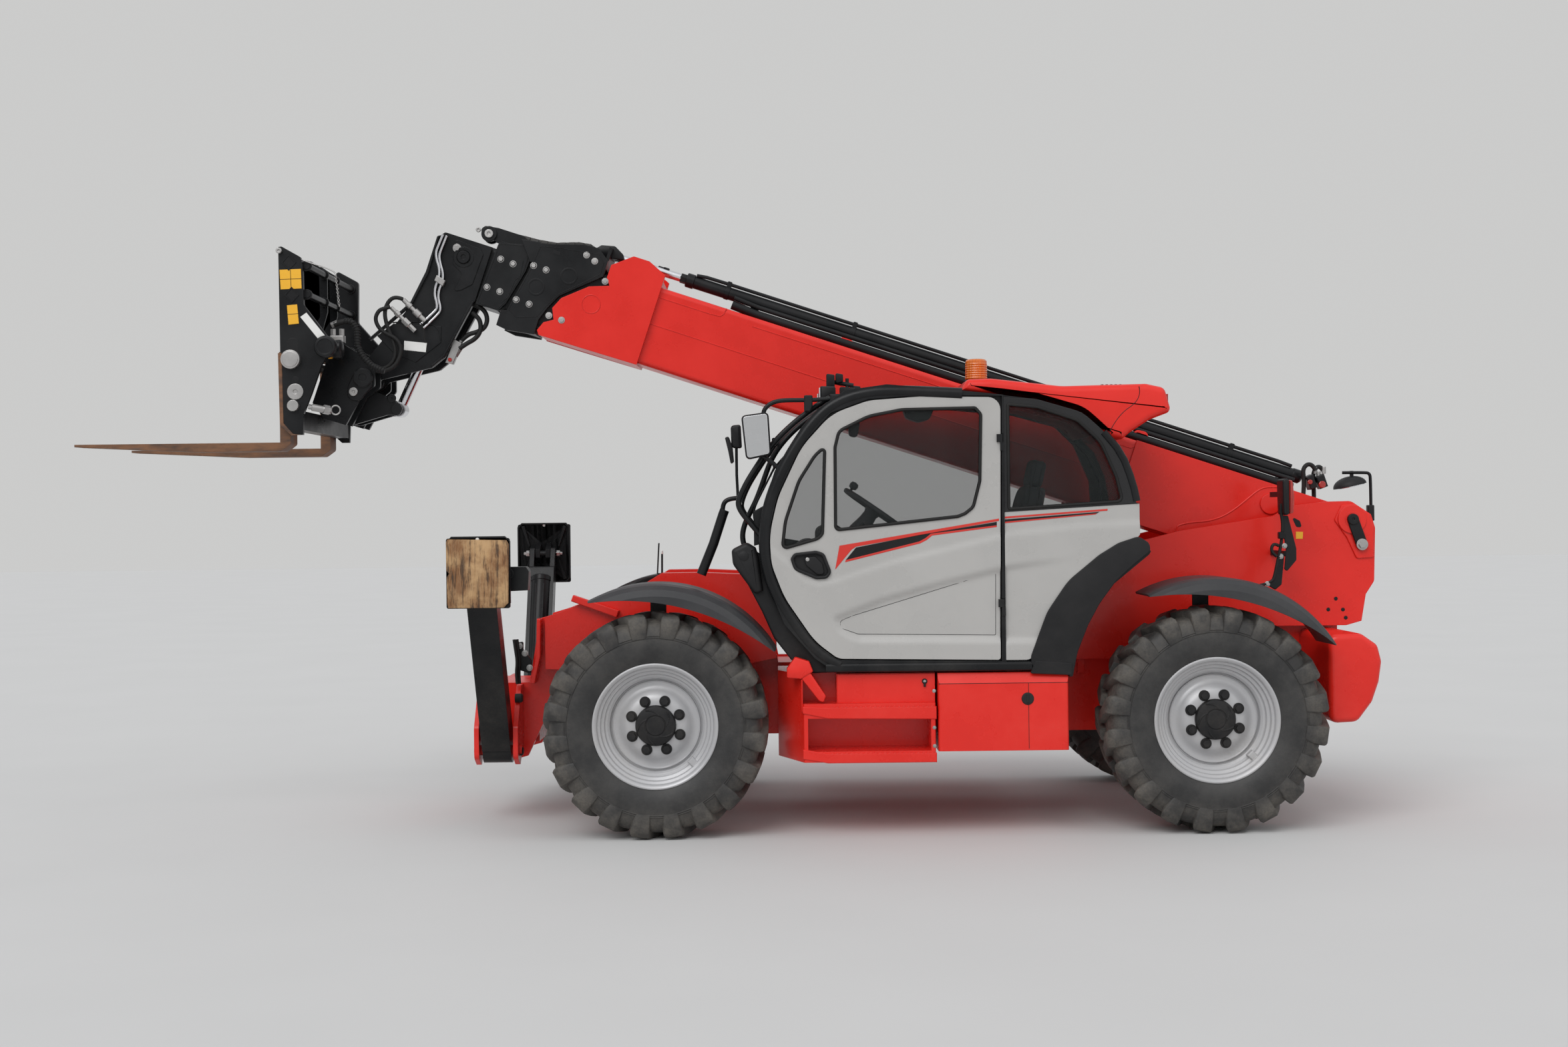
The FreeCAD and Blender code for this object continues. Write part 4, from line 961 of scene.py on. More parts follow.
def fasteners(name, body, places, across=24.0, height=12.0, finish="steel"):
    """places holds (point, direction) pairs."""
    mesh = bpy.data.meshes.new(name + "_points")
    mesh.from_pydata([tuple(p) for p, _ in places], [], [])
    facing = mesh.attributes.new("facing", "FLOAT_VECTOR", "POINT")
    for index, (_, direction) in enumerate(places):
        facing.data[index].vector = Vector(direction).normalized()
    source = bpy.data.objects.new(name + "_points", mesh)
    bpy.context.scene.collection.objects.link(source)
    made = bake(source, fastener_tree, {
        "Across": across / 1000, "Height": height / 1000,
        "Material": material(finish)})
    made.name = name
    return settle(made, name, body, finish)


def bars(name, body, paths, radius, finish="black paint", sides=12,
         smooth=True, order=3, closed=False):
    """Pipes, hoses and rails; each path is a list of points in the frame."""
    curve = bpy.data.curves.new(name + "_paths", "CURVE")
    curve.dimensions = "3D"
    curve.resolution_u = 8
    for path in paths:
        kind = "NURBS" if smooth else "POLY"
        spline = curve.splines.new(kind)
        spline.points.add(len(path) - 1)
        for item, place in zip(spline.points, path):
            item.co = (*place, 1.0)
        spline.use_cyclic_u = closed
        if smooth:
            spline.order_u = order
            spline.use_endpoint_u = not closed
    source = bpy.data.objects.new(name + "_paths", curve)
    bpy.context.scene.collection.objects.link(source)
    made = bake(source, path_tree, {
        "Radius": radius / 1000, "Sides": sides, "Material": material(finish)})
    made.name = name
    return settle(made, name, body, finish)


# Settings

class PaintSettings(bpy.types.PropertyGroup):
    red: FloatVectorProperty(name="Red paint", subtype="COLOR", size=3, min=0,
                             max=1, default=(0.74, 0.019, 0.011),
                             description="Colour of chassis, boom and boxes")
    grey: FloatVectorProperty(name="Grey paint", subtype="COLOR", size=3, min=0,
                              max=1, default=(0.42, 0.412, 0.398),
                              description="Colour of the door and cab side")
    rim: FloatVectorProperty(name="Rims", subtype="COLOR", size=3, min=0,
                             max=1, default=(0.46, 0.46, 0.47),
                             description="Colour of the wheel rims")


class WheelSettings(bpy.types.PropertyGroup):
    radius: FloatProperty(name="Tyre radius", unit="LENGTH", default=0.622,
                          description="Outer radius over the lugs")
    width: FloatProperty(name="Tyre width", unit="LENGTH", default=0.400,
                         description="Width of the tyre's body")
    lugs: IntProperty(name="Lugs", default=20, min=8, max=40,
                      description="Lugs on each side of a tyre")
    lug_depth: FloatProperty(name="Lug depth", unit="LENGTH", default=0.034,
                             description="Height of a lug over the tread")


class StageSettings(bpy.types.PropertyGroup):
    floor_colour: FloatVectorProperty(name="Floor", subtype="COLOR", size=3,
                                      min=0, max=1, default=(0.60, 0.60, 0.595),
                                      description="Colour of the floor")
    lens: FloatProperty(name="Lens", unit="CAMERA", default=43.47,
                        description="Focal length of the camera")


# Operators

class HANDLER_OT_finishes(bpy.types.Operator):
    """Give every node of the frame its own finish"""
    bl_idname = "handler.finishes"
    bl_label = "Finishes"

    def execute(self, context):
        make_materials(context.scene.handler_paint)
        left = set(frame["nodes"])
        for finish, names in NODE_FINISH.items():
            for name in names:
                node = frame["nodes"][name]
                node.data.materials.clear()
                node.data.materials.append(material(finish))
                left.discard(name)
        if left:
            raise RuntimeError("no finish for " + ", ".join(sorted(left)))
        return {"FINISHED"}


WHEELS = [("front_left", AXLES[0], -1), ("front_right", AXLES[0], 1),
          ("rear_left", AXLES[1], -1), ("rear_right", AXLES[1], 1)]


def wheel_point(x, side, out, angle=0.0, radius=0.0):
    """A point by distance out from the wheel's middle plane, and polar."""
    turn = math.radians(angle)
    return point(x + radius * math.cos(turn), side * (WHEEL_Y + out),
                 WHEEL_Z + radius * math.sin(turn))


def lug_mesh(out, half, side):
    """One slanted lug about the wheel's axis, from the middle to the side."""
    crown = [(out, 8), (out, -70), (out - 1, -130), (out - 5, -165),
             (out - 17, -186), (out - 38, -196), (out - 80, -half),
             (out - 118, -half + 1), (out - 136, -half + 3)]
    root = [(out - 46, 8), (out - 46, -70), (out - 46, -125), (out - 52, -152),
            (out - 62, -164), (out - 78, -174), (out - 104, -180),
            (out - 126, -186), (out - 138, -189)]
    widths = [33, 36, 43, 50, 54, 55, 53, 50, 47]
    slants = [92, 62, 26, 6, 0, 0, 2, 5, 8]
    verts, faces = [], []
    for (r1, y1), (r0, y0), width, slant in zip(crown, root, widths, slants):
        high, low = Vector((r1, y1)), Vector((r0, y0))
        brow = high + (low - high) * 0.16
        for place, across in ((low, -width - 7), (brow, -width),
                              (high, -width + 6), (high, width - 6),
                              (brow, width), (low, width + 7)):
            turn = (slant + across) / out
            verts.append((place.x * math.cos(turn) / 1000,
                          side * -place.y / 1000,
                          place.x * math.sin(turn) / 1000))
    count = len(verts) // 6
    for ring in range(count - 1):
        for k in range(5):
            a = ring * 6 + k
            faces.append((a, a + 1, a + 7, a + 6))
    faces += [tuple(range(6)), tuple(range(count * 6 - 6, count * 6))]
    return verts, faces


def add_mud(mesh, centre, low, high):
    """Store how far up the tread each point lies, for the rubber to read."""
    mud = mesh.attributes.new("mud", "FLOAT", "POINT")
    for vertex in mesh.vertices:
        reach = math.hypot(vertex.co.x - centre.x, vertex.co.z - centre.z)
        mud.data[vertex.index].value = 0.12 + 0.88 * smooth(
            (reach * 1000 - low) / (high - low))


class HANDLER_OT_tyres(bpy.types.Operator):
    """Shape the tyres: carcass with its rings, and slanted lugs by turns"""
    bl_idname = "handler.tyres"
    bl_label = "Tyres"

    def execute(self, context):
        settings = context.scene.handler_wheels
        out, half = settings.radius * 1000 - 2, settings.width * 500
        floor = out - settings.lug_depth * 1000
        rings = [(482, half - 7), (485, half - 3.5), (488, half - 7),
                 (492, half - 7.5), (495, half - 4), (498, half - 8)]
        wall = [(338, half - 34), (352, half - 26), (380, half - 12),
                (415, half - 5), (450, half - 4), (474, half - 6), *rings,
                (530, half - 14), (556, half - 26), (574, half - 46),
                (floor, half - 78)]
        profile = wall + [(r, -y) for r, y in reversed(wall)]
        for name, x, side in WHEELS:
            body = "wheel_" + name
            shape = Shape()
            centre = wheel_point(x, side, 0)
            shape.turned(centre, (0, side, 0), profile, 96, closed=True)
            carcass = shape.finish("tyre_" + name + "_carcass", body,
                                   "tyre rubber", "tyre")
            add_mud(carcass.data, centre, 430, 600)
            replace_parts(carcass, "tyre_" + name)
            step = 2 * math.pi / settings.lugs
            for hand, start in ((1, 0.0), (-1, step / 2)):
                mesh = bpy.data.meshes.new("lug")
                verts, faces = lug_mesh(out, half, hand)
                mesh.from_pydata(verts, [], faces)
                unit = bpy.data.objects.new("lug", mesh)
                seed = bpy.data.objects.new("lugs", bpy.data.meshes.new("lugs"))
                for thing in (unit, seed):
                    context.scene.collection.objects.link(thing)
                made = bake(seed, repeat_tree, {
                    "Copies": settings.lugs, "Unit": unit, "Centre": centre,
                    "Start": start, "Material": material("tyre rubber")})
                bpy.data.objects.remove(unit)
                bpy.data.meshes.remove(mesh)
                add_mud(made, centre, 430, 600)
                lugs = settle(tidy(made, 40), "lugs_%s_%s" % (
                    name, "out" if hand == side else "in"), body,
                    "tyre rubber")
                lugs.data.name = lugs.name
        return {"FINISHED"}


class HANDLER_OT_rims(bpy.types.Operator):
    """Turn the rims, with wheel nuts, hub caps and valve blocks"""
    bl_idname = "handler.rims"
    bl_label = "Rims"

    def execute(self, context):
        front = [(52, 110), (124, 110), (150, 107), (172, 96), (190, 78),
                 (206, 66), (222, 62), (236, 64), (243, 70), (245, 58),
                 (252, 58), (256, 84), (268, 95), (280, 98), (284, 116),
                 (300, 122), (304, 141), (318, 146), (322, 164), (330, 173),
                 (338, 176), (345, 174), (347, 167), (341, 160), (335, 150)]
        back = [(335, -150), (347, -167), (345, -174), (330, -173),
                (318, -150), (300, -120), (296, -36), (250, -30), (200, -20),
                (175, -40), (150, -56), (52, -56)]
        nuts = []
        for name, x, side in WHEELS:
            body = "wheel_" + name
            centre = wheel_point(x, side, 0)
            axis = (0, side, 0)
            shape = Shape()
            shape.turned(centre, axis, front + back, 96, closed=True)
            turn = math.radians(-45)
            spoke = Vector((math.cos(turn), 0, math.sin(turn)))
            across = Vector((-math.sin(turn), 0, math.cos(turn)))

            def place(a, level, b):
                return centre + (spoke * a + across * b
                                 + Vector(axis) * level) / 1000

            shape.prism([(262, -20), (316, -20), (316, 20), (262, 20)], 88, 132,
                        place, 5)
            rim = shape.finish("rim_" + name + "_turned", body, "silver rim",
                               "rim", 28)
            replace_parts(rim, "rim_" + name)
            cap = Shape()
            cap.turned(centre, axis, [(112, 108), (112, 124), (106, 136),
                                      (84, 143), (60, 145), (57, 142),
                                      (53, 142), (50, 146), (2, 148)], 48)
            for k in range(5):
                points = []
                for share in range(7):
                    reach = 58 + 44 * share / 6
                    swing = math.radians(72 * k + 50 * share / 6)
                    points.append((reach * math.cos(swing),
                                   reach * math.sin(swing)))
                side_axis = Vector((1, 0, 0))
                up_axis = Vector((0, 0, 1))
                for (a, b), (c, d) in zip(points, points[1:]):
                    start = centre + (side_axis * a + up_axis * b) / 1000 \
                        + Vector(axis) * 0.142
                    end = centre + (side_axis * c + up_axis * d) / 1000 \
                        + Vector(axis) * 0.140
                    cap.rod(start, end, 4.5, 8)
            cap.finish("hub_cap_" + name, body, "black plastic")
            places = [(wheel_point(x, side, 110, 24 + 45 * k, 142),
                       Vector(axis)) for k in range(8)]
            fasteners("wheel_nuts_" + name, body, places, 36, 20,
                      "black plastic")
        return {"FINISHED"}


# Cab side

DOOR = [
    (-532, 981, 90), (353, 965, 15), (369, 2397, 70), (-59, 2406, 300),
    (-351, 2387, 300), (-553, 2316, 300), (-719, 2136, 450),
    (-850, 1864, 500), (-898, 1663, 500), (-890, 1499, 300),
    (-820, 1316, 500), (-658, 1077, 400),
]
DOOR_WINDOW = [(-542, 1678, 25), (130, 1745, 60), (171, 1761, 60),
               (217, 1797, 60), (255, 1942, 60), (264, 2307, 30),
               (232, 2344, 20), (-169, 2339, 250), (-352, 2305, 250),
               (-517, 2225, 60), (-540, 2134, 60)]
FRONT_PANE = [(-835, 1577, 25), (-634, 1633, 60), (-606, 1660, 40),
              (-588, 2143, 20), (-646, 2098, 200), (-739, 1954, 250),
              (-815, 1735, 300)]
QUARTER = [(384, 963), (526, 963, 50), (564, 1063, 100), (658, 1263, 200),
           (842, 1461, 200), (1099, 1613), (1121, 1640), (1121, 1805),
           (1102, 1814), (1076, 1969, 200), (1014, 2116, 200),
           (906, 2227, 100), (815, 2310, 100), (561, 2386, 200),
           (384, 2397)]
QUARTER_WINDOW = [(404, 1782, 12), (1034, 1818, 30), (1000, 1960, 200),
                  (916, 2150, 200), (790, 2270, 100), (570, 2345, 100),
                  (404, 2362, 12)]
DOOR_HANDLE = [(-781, 1529, 20), (-762, 1471, 40), (-647, 1421, 30),
               (-590, 1423, 30), (-568, 1453, 30), (-605, 1552, 30),
               (-646, 1566, 30), (-761, 1554, 20)]
CAB_RING = [(-520, 945), (-610, 985), (-700, 1078), (-790, 1205),
            (-868, 1340), (-915, 1478), (-930, 1640), (-905, 1815),
            (-835, 1995), (-745, 2150), (-650, 2280), (-540, 2375),
            (-400, 2425), (-220, 2443), (160, 2418)]
DOOR_FACE, QUARTER_FACE, SUNK = -1200, -1195, 9


def door_depth(x, z):
    """How far the door's outer skin sinks at a place."""
    crease = [(-860, 1538), (-778, 1472), (-713, 1397), (-631, 1371),
              (-549, 1387), (-251, 1482), (352, 1623)]
    recess = [(-567, 1195), (-540, 1125), (-480, 1085), (-421, 1064),
              (345, 1055), (480, 1054), (480, 1507), (350, 1475),
              (30, 1402), (-286, 1318), (-540, 1222)]
    level, slope = level_at(crease, x)
    depth = SUNK * smooth((z - level) / slope / 34)
    if inside(x, z, recess):
        depth = max(depth, 20 * smooth(edge_distance(x, z, recess) / 40))
    return depth


def quarter_depth(x, z):
    """How far the skin behind the door sinks at a place."""
    crease = [(377, 1632), (789, 1676), (1118, 1689)]
    lower = [(375, 1482), (853, 1545), (1118, 1580)]
    level, slope = level_at(crease, x)
    depth = 8 * smooth((z - level) / slope / 34)
    level, slope = level_at(lower, x)
    fade = 1 - smooth((x - 375) / 450)
    if 1055 < z:
        low = min(level - z, z - 1050) / 38
        depth = max(depth, 18 * fade * smooth(low))
    return depth


class HANDLER_OT_cab_side(bpy.types.Operator):
    """Press the door and quarter skins, with seals, handle and stripes"""
    bl_idname = "handler.cab_side"
    bl_label = "Cab side"

    def execute(self, context):
        windows = [rounded(DOOR_WINDOW), rounded(FRONT_PANE)]
        handle = rounded(DOOR_HANDLE)
        door = pressed_panel("door_skin", "door", "grey paint",
                             rounded(DOOR, 6), windows + [handle],
                             door_depth, DOOR_FACE, -1165.3)
        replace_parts(door, "door_shell")
        quarter_window = rounded(QUARTER_WINDOW)
        foot = [corner for corner in QUARTER if corner[1] < 1700]
        belt = [(1121, 1808), (384, 1770)]
        quarter = pressed_panel("quarter_skin", "chassis", "grey paint",
                                rounded(foot + belt), [],
                                quarter_depth, QUARTER_FACE, -1165)
        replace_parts(quarter, "cab_panels")
        head = [(384, 1772), (1121, 1810), (1102, 1814), (1076, 1969, 200),
                (1014, 2116, 200), (906, 2227, 200), (815, 2310, 200),
                (561, 2386, 200), (384, 2397)]
        pressed_panel("quarter_glass_band", "chassis", "window band",
                      rounded(head), [quarter_window],
                      lambda x, z: 0, QUARTER_FACE + 4, -1165)
        bars("quarter_rim", "chassis",
             [along([(1106, 1822), (1092, 1890), (1070, 1965), (1040, 2045),
                     (1000, 2115), (930, 2200)], -1183)], 22,
             "black paint", smooth=False, sides=12)
        for index, window in enumerate(windows):
            bars("door_seal_%d" % (index + 1), "door",
                 [along(shrink(window, 4), -1193)], 9, "rubber",
                 smooth=False, closed=True, sides=8)
        bars("quarter_seal", "chassis", [along(shrink(quarter_window, 4), -1190)],
             9, "rubber", smooth=False, closed=True, sides=8)
        self.handle(handle)
        self.stripes()
        self.ring()
        seam = rounded([(-521, 1185, 25), (-452, 1213, 30), (333, 1446, 6),
                        (329, 1100, 6), (-420, 1113, 40), (-515, 1147, 20)])
        bars("door_line", "door", [along(seam, -1180.6)], 1.3, "black stripe",
             smooth=False, closed=True, sides=6)
        hinges = Shape()
        for z in (1250, 2150):
            hinges.rod(point(371, -1200, z - 45), point(371, -1200, z + 45),
                       7.5, 16)
            hinges.box(345, 372, -1205, -1190, z + 2, z + 45, 2)
        hinges.finish("door_hinges", "door", "black paint")
        return {"FINISHED"}

    def handle(self, outline):
        plates("door_handle_tray", "door", "black plastic", [outline],
               -1184, -1170)
        bars("door_handle_bezel", "door", [along(shrink(outline, 3), -1198)], 9,
             "black plastic", smooth=False, closed=True, sides=10)
        paddle = Shape()
        paddle.plate(rounded([(-716, 1536, 12), (-700, 1490, 20),
                              (-640, 1440, 20), (-600, 1440, 15),
                              (-612, 1500, 20), (-650, 1540, 15)]),
                     -1197, -1184, 5, steps=3)
        paddle.finish("door_handle_paddle", "door", "black plastic")
        lock = Shape()
        lock.turned(point(-693, -1200, 1524), (0, 1, 0),
                    [(8, -1), (11, 1), (11, 12)], 20)
        lock.finish("door_lock", "door", "steel")

    def stripes(self):
        level = DOOR_FACE + SUNK
        red_top = [(-518, 1597), (353, 1735), (353, 1722), (-428, 1590),
                   (-453, 1573), (-543, 1466)]
        underline = [(-485, 1518), (-82, 1615), (-50, 1632), (-19, 1657),
                     (341, 1698), (341, 1689), (-12, 1646), (-42, 1622),
                     (-78, 1604), (-488, 1506)]
        band = [(-428, 1586), (-85, 1650), (341, 1717), (341, 1698),
                (-19, 1657), (-50, 1632), (-82, 1615), (-485, 1518)]
        plates("door_stripe_red", "door", "red stripe", [red_top, underline],
               level - 0.7, level + 2)
        plates("door_stripe_black", "door", "black stripe", [band],
               level - 0.7, level + 2)
        level = QUARTER_FACE + 8
        plates("quarter_stripe_red", "chassis", "red stripe",
               [[(386, 1745), (947, 1781), (946, 1771), (386, 1735)],
                [(386, 1717), (889, 1757), (880, 1751), (386, 1709)]],
               level - 1.2, level + 2)
        plates("quarter_stripe_black", "chassis", "black stripe",
               [[(386, 1730), (902, 1765), (889, 1757), (386, 1717)]],
               level - 1.2, level + 2)

    def ring(self):
        bars("cab_ring", "chassis", [along(CAB_RING, -1172)], 33,
             "black paint", sides=16)
        sill = Shape()
        sill.prism(rounded([(-1203, 905, 15), (-1150, 905), (-1150, 960),
                            (-1203, 957, 20)]), -600, 528,
                   lambda a, x, b: point(x, a, b))
        sill.finish("sill_bar", "chassis", "black paint")
        cover = Shape()
        cover.plate(rounded([(519, 912), (519, 985, 60), (610, 1224, 300),
                             (727, 1393, 300), (896, 1531, 250),
                             (1002, 1595, 150), (1112, 1630, 45),
                             (1172, 1592, 40), (1176, 1548, 30),
                             (1087, 1478, 150), (991, 1393, 200),
                             (896, 1266, 250), (832, 1150, 250),
                             (772, 1000, 200), (746, 872), (728, 872),
                             (722, 912)]), -1203, -1186, 5, steps=3)
        cover.finish("arch_cover", "chassis", "black plastic", sharp=35)
        cowl = Shape()
        cowl.plate(rounded([(-1098, 1582, 30), (-1034, 1614, 40),
                            (-930, 1539, 30), (-885, 1346, 60),
                            (-795, 1174, 80), (-690, 1045, 60),
                            (-560, 960, 40), (-476, 905), (-669, 895, 30),
                            (-787, 970, 40), (-880, 1090, 60),
                            (-945, 1238, 60), (-1077, 1496, 50)]),
                   -1120, -1020, 14, steps=3)
        cowl.finish("front_corner_cowl", "chassis", "black plastic", sharp=35)


class HANDLER_OT_roof(bpy.types.Operator):
    """Mould the roof cap, with its vent, rear lamp and beacon"""
    bl_idname = "handler.roof"
    bl_label = "Roof"

    def execute(self, context):
        outline = rounded([(154, 2436), (384, 2410, 300), (561, 2386, 300),
                           (815, 2310, 200), (906, 2227, 150), (971, 2165, 20),
                           (1045, 2164, 20), (1082, 2196, 60), (1194, 2268, 60),
                           (1316, 2313, 30), (1280, 2444, 40), (1178, 2467, 60),
                           (715, 2459, 400), (326, 2505, 150), (196, 2502, 30)])
        cap = Shape()
        cap.plate(outline, -1140, -330, 38, steps=4)
        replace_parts(cap.finish("roof_moulding", "chassis", "red paint",
                               sharp=38), "roof_cap")
        bars("roof_seam", "chassis", [along([(1135, 2451), (1151, 2380),
                                             (1010, 2291), (959, 2177)], -1139)],
             2.2, "black stripe", sides=6)
        vent = Shape()
        vent.box(946, 1078, -1000, -800, 2455, 2470, 2)
        for k in range(5):
            vent.box(956 + 25 * k, 966 + 25 * k, -990, -810, 2468, 2474, 1)
        vent.finish("roof_vent", "chassis", "black plastic")
        lens = Shape()
        for y in (-1060, -450):
            lens.box(1270, 1302, y - 45, y + 45, 2340, 2410, 6)
        lens.finish("roof_lamps", "chassis", "red lens")
        base = Shape()
        base.turned(point(300, -600, 2500), (0, 0, 1),
                    [(70, 0), (70, 22), (62, 32), (56, 34)], 32)
        base.finish("beacon_base", "chassis", "black plastic")
        dome = Shape()
        profile = [(54, 34), (62, 38)]
        for k in range(7):
            profile += [(64, 44 + 13 * k), (61.5, 50 + 13 * k)]
        profile += [(62, 140), (54, 150), (36, 154), (1, 155)]
        dome.turned(point(300, -600, 2500), (0, 0, 1), profile, 40)
        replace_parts(dome.finish("beacon_dome", "chassis", "amber lens"),
                    "beacon")
        return {"FINISHED"}


class HANDLER_OT_cab_front(bpy.types.Operator):
    """Hang the mirrors, guard tubes, wipers and lamps on the cab's front"""
    bl_idname = "handler.cab_front"
    bl_label = "Cab front"

    def execute(self, context):
        self.mirrors()
        tubes = [along([(-560, 2410), (-685, 2338), (-869, 2183),
                        (-954, 2052), (-1021, 1953), (-1060, 1870),
                        (-1072, 1838), (-1060, 1790), (-1000, 1720),
                        (-940, 1650)], -1120),
                 along([(-520, 2420), (-582, 2354), (-717, 2288), (-870, 2122),
                        (-914, 2005), (-974, 1838), (-1026, 1754),
                        (-1061, 1654), (-1040, 1600)], -960),
                 along([(-560, 2410), (-685, 2338), (-869, 2183),
                        (-954, 2052), (-1021, 1953), (-1072, 1838),
                        (-1060, 1790), (-1000, 1720), (-940, 1650)], -420)]
        bars("guard_tubes", "chassis", tubes, 15, "black paint", order=4)
        cross = [[point(-870, y, 2182) for y in (-1120, -960, -700, -420)],
                 [point(-1071, y, 1838) for y in (-1120, -960, -700, -420)]]
        bars("guard_rungs", "chassis", cross, 11, "black paint", smooth=False)
        wipers = [along([(-667, 2262), (-718, 2221), (-770, 2121), (-871, 2038),
                         (-893, 1980)], -1040),
                  along([(-860, 2050), (-905, 1960), (-960, 1860),
                         (-1005, 1760), (-960, 1700)], -1010)]
        bars("wiper_arms", "chassis", wipers, 5.5, "black paint", order=4,
             sides=8)
        blade = Shape()
        blade.plate(rounded([(-882, 2060, 6), (-864, 2066, 6), (-856, 2030, 6),
                             (-874, 2022, 6)]), -1055, -1020, 3)
        blade.box(-960, -905, -1035, -985, 1668, 1712, 8)
        blade.finish("wiper_heads", "chassis", "black plastic")
        self.camera_pair()
        self.lamp_housing()
        return {"FINISHED"}

    def mirrors(self):
        arm = along([(-926, 2310), (-926, 2338), (-900, 2374), (-834, 2398),
                     (-685, 2391), (-540, 2400), (-500, 2411)], -1172)
        low = along([(-962, 2110), (-940, 2100), (-880, 2060), (-830, 2010)],
                    -1150)
        bars("mirror_arms", "chassis", [arm, low], 12, "black paint", order=4)
        clamp = Shape()
        clamp.plate(rounded([(-702, 2420, 8), (-655, 2420, 8), (-655, 2362, 8),
                             (-668, 2330, 5), (-702, 2330, 8)]), -1190, -1140, 6)
        clamp.box(-560, -470, -1190, -1130, 2385, 2425, 8)
        clamp.finish("mirror_clamps", "chassis", "black plastic")
        shell = rounded([(-1047, 2312, 24), (-1022, 2069, 24),
                         (-884, 2097, 24), (-897, 2332, 24)])
        body = Shape()
        body.plate(shell, -1199, -1160, 12, steps=4)
        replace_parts(body.finish("mirror_shells", "chassis", "black plastic"),
                    "mirrors")
        face = Shape()
        face.plate(shrink(shell, 9), -1201, -1195)
        face.finish("mirror_glasses", "chassis", "mirror glass")
        second = Shape()
        second.plate(rounded([(-1109, 2268, 20), (-1053, 2272, 12),
                              (-1047, 2141, 12), (-1105, 2142, 20)]),
                     -1030, -960, 14, steps=3)
        second.plate(rounded([(-1141, 2201, 8), (-1120, 2206, 8),
                              (-1100, 2150, 30), (-1093, 2068, 8),
                              (-1110, 2052, 8), (-1122, 2120, 30)]),
                     -1040, -930, 5, steps=2)
        second.finish("small_mirrors", "chassis", "black plastic")
        stem = [along([(-1078, 2142), (-1078, 1990), (-1072, 1850)], -1000)]
        bars("small_mirror_stem", "chassis", stem, 8, "black paint",
             smooth=False)

    def camera_pair(self):
        shape = Shape()
        for x0, x1, y, z0, z1 in [(-572, -526, -900, 2468, 2556),
                                  (-520, -478, -880, 2500, 2560),
                                  (-498, -410, -890, 2402, 2482),
                                  (-440, -380, -860, 2440, 2492)]:
            shape.plate(rounded([(x0, z0, 8), (x1, z0 + 10, 8), (x1, z1 - 8, 8),
                                 (x0, z1, 8)]), y - 38, y + 38, 5, steps=2)
        shape.rod(point(-530, -890, 2510), point(-420, -890, 2490), 12)
        shape.rod(point(-455, -890, 2440), point(-455, -890, 2530), 10)
        shape.rod(point(-480, -890, 2415), point(-330, -890, 2448), 9)
        shape.finish("work_lamps", "chassis", "black plastic")
        lens = Shape()
        for y in (-1000, -480):
            lens.plate(rounded([(-616, 2364, 8), (-606, 2364, 8),
                                (-606, 2470, 8), (-616, 2470, 8)]),
                       y - 46, y + 46, 2)
        lens.finish("work_lamp_lenses", "chassis", "white lens")
        lamps = Shape()
        for y in (-1000, -480):
            lamps.plate(rounded([(-610, 2356, 6), (-525, 2412, 12),
                                 (-525, 2476, 12), (-610, 2478, 6)]),
                        y - 54, y + 54, 8, steps=2)
        lamps.finish("work_lamp_bodies", "chassis", "black plastic")

    def lamp_housing(self):
        outline = rounded([(-1109, 1581, 25), (-1102, 1500, 60),
                           (-979, 1330, 60), (-937, 1354), (-960, 1537),
                           (-976, 1590, 15), (-1026, 1621, 30)])
        shape = Shape()
        shape.plate(outline, -1160, -1002, 26, steps=5)
        shape.turned(point(-1040, -1164, 1545), (0, 1, 0),
                     [(20, 0), (26, 3), (26, 10)], 28)
        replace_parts(shape.finish("front_lamp_housing", "chassis",
                                 "black plastic"), "lights")
        post = Shape()
        post.plate([(-985, 1790), (-930, 1820), (-905, 1620), (-985, 1600)],
                   -1110, -1090, 3)
        post.finish("ring_gusset", "chassis", "black paint")
        strut = [along([(-1285, 1440), (-1215, 1610), (-1160, 1775),
                        (-1150, 1800)], -900)]
        bars("front_strut", "chassis", strut, 27, "black paint", smooth=False,
             sides=20)
        thin = [along([(-1160, 1775), (-1165, 1826), (-1128, 1866),
                       (-1060, 1866)], -900)]
        bars("strut_pipe", "chassis", thin, 13, "black paint")


# Boom: (along, up) is measured from the boom's pin, along the boom

SIDE = -180
COLLARS = {"boom": -212, "section_1": -187, "section_2": -160,
           "section_3": -128}


def on_boom(points, y):
    return [boom_point(a, y, b) for a, b in points]


def boss(shape, centre, axis, radius, height, bore=0.0, sides=28):
    """Round boss with a broken edge and, if asked, a countersunk bore."""
    profile = [(radius, -2), (radius, height - 2), (radius - 2, height)]
    if bore:
        profile += [(bore + 2, height), (bore, height - 2), (bore, height - 6)]
    shape.turned(centre, axis, profile, sides)


def rings(name, body, finish, centres, axis, radius, width=2.5):
    """Thin raised rings, such as the edge of a pressed or welded disc."""
    shape = Shape()
    for centre in centres:
        shape.turned(centre, axis,
                     [(radius - width, -2), (radius - width, 1.5), (radius, 2.4),
                      (radius + width, 1.5), (radius + width, -2)],
                     40, closed=True)
    return shape.finish(name, body, finish)


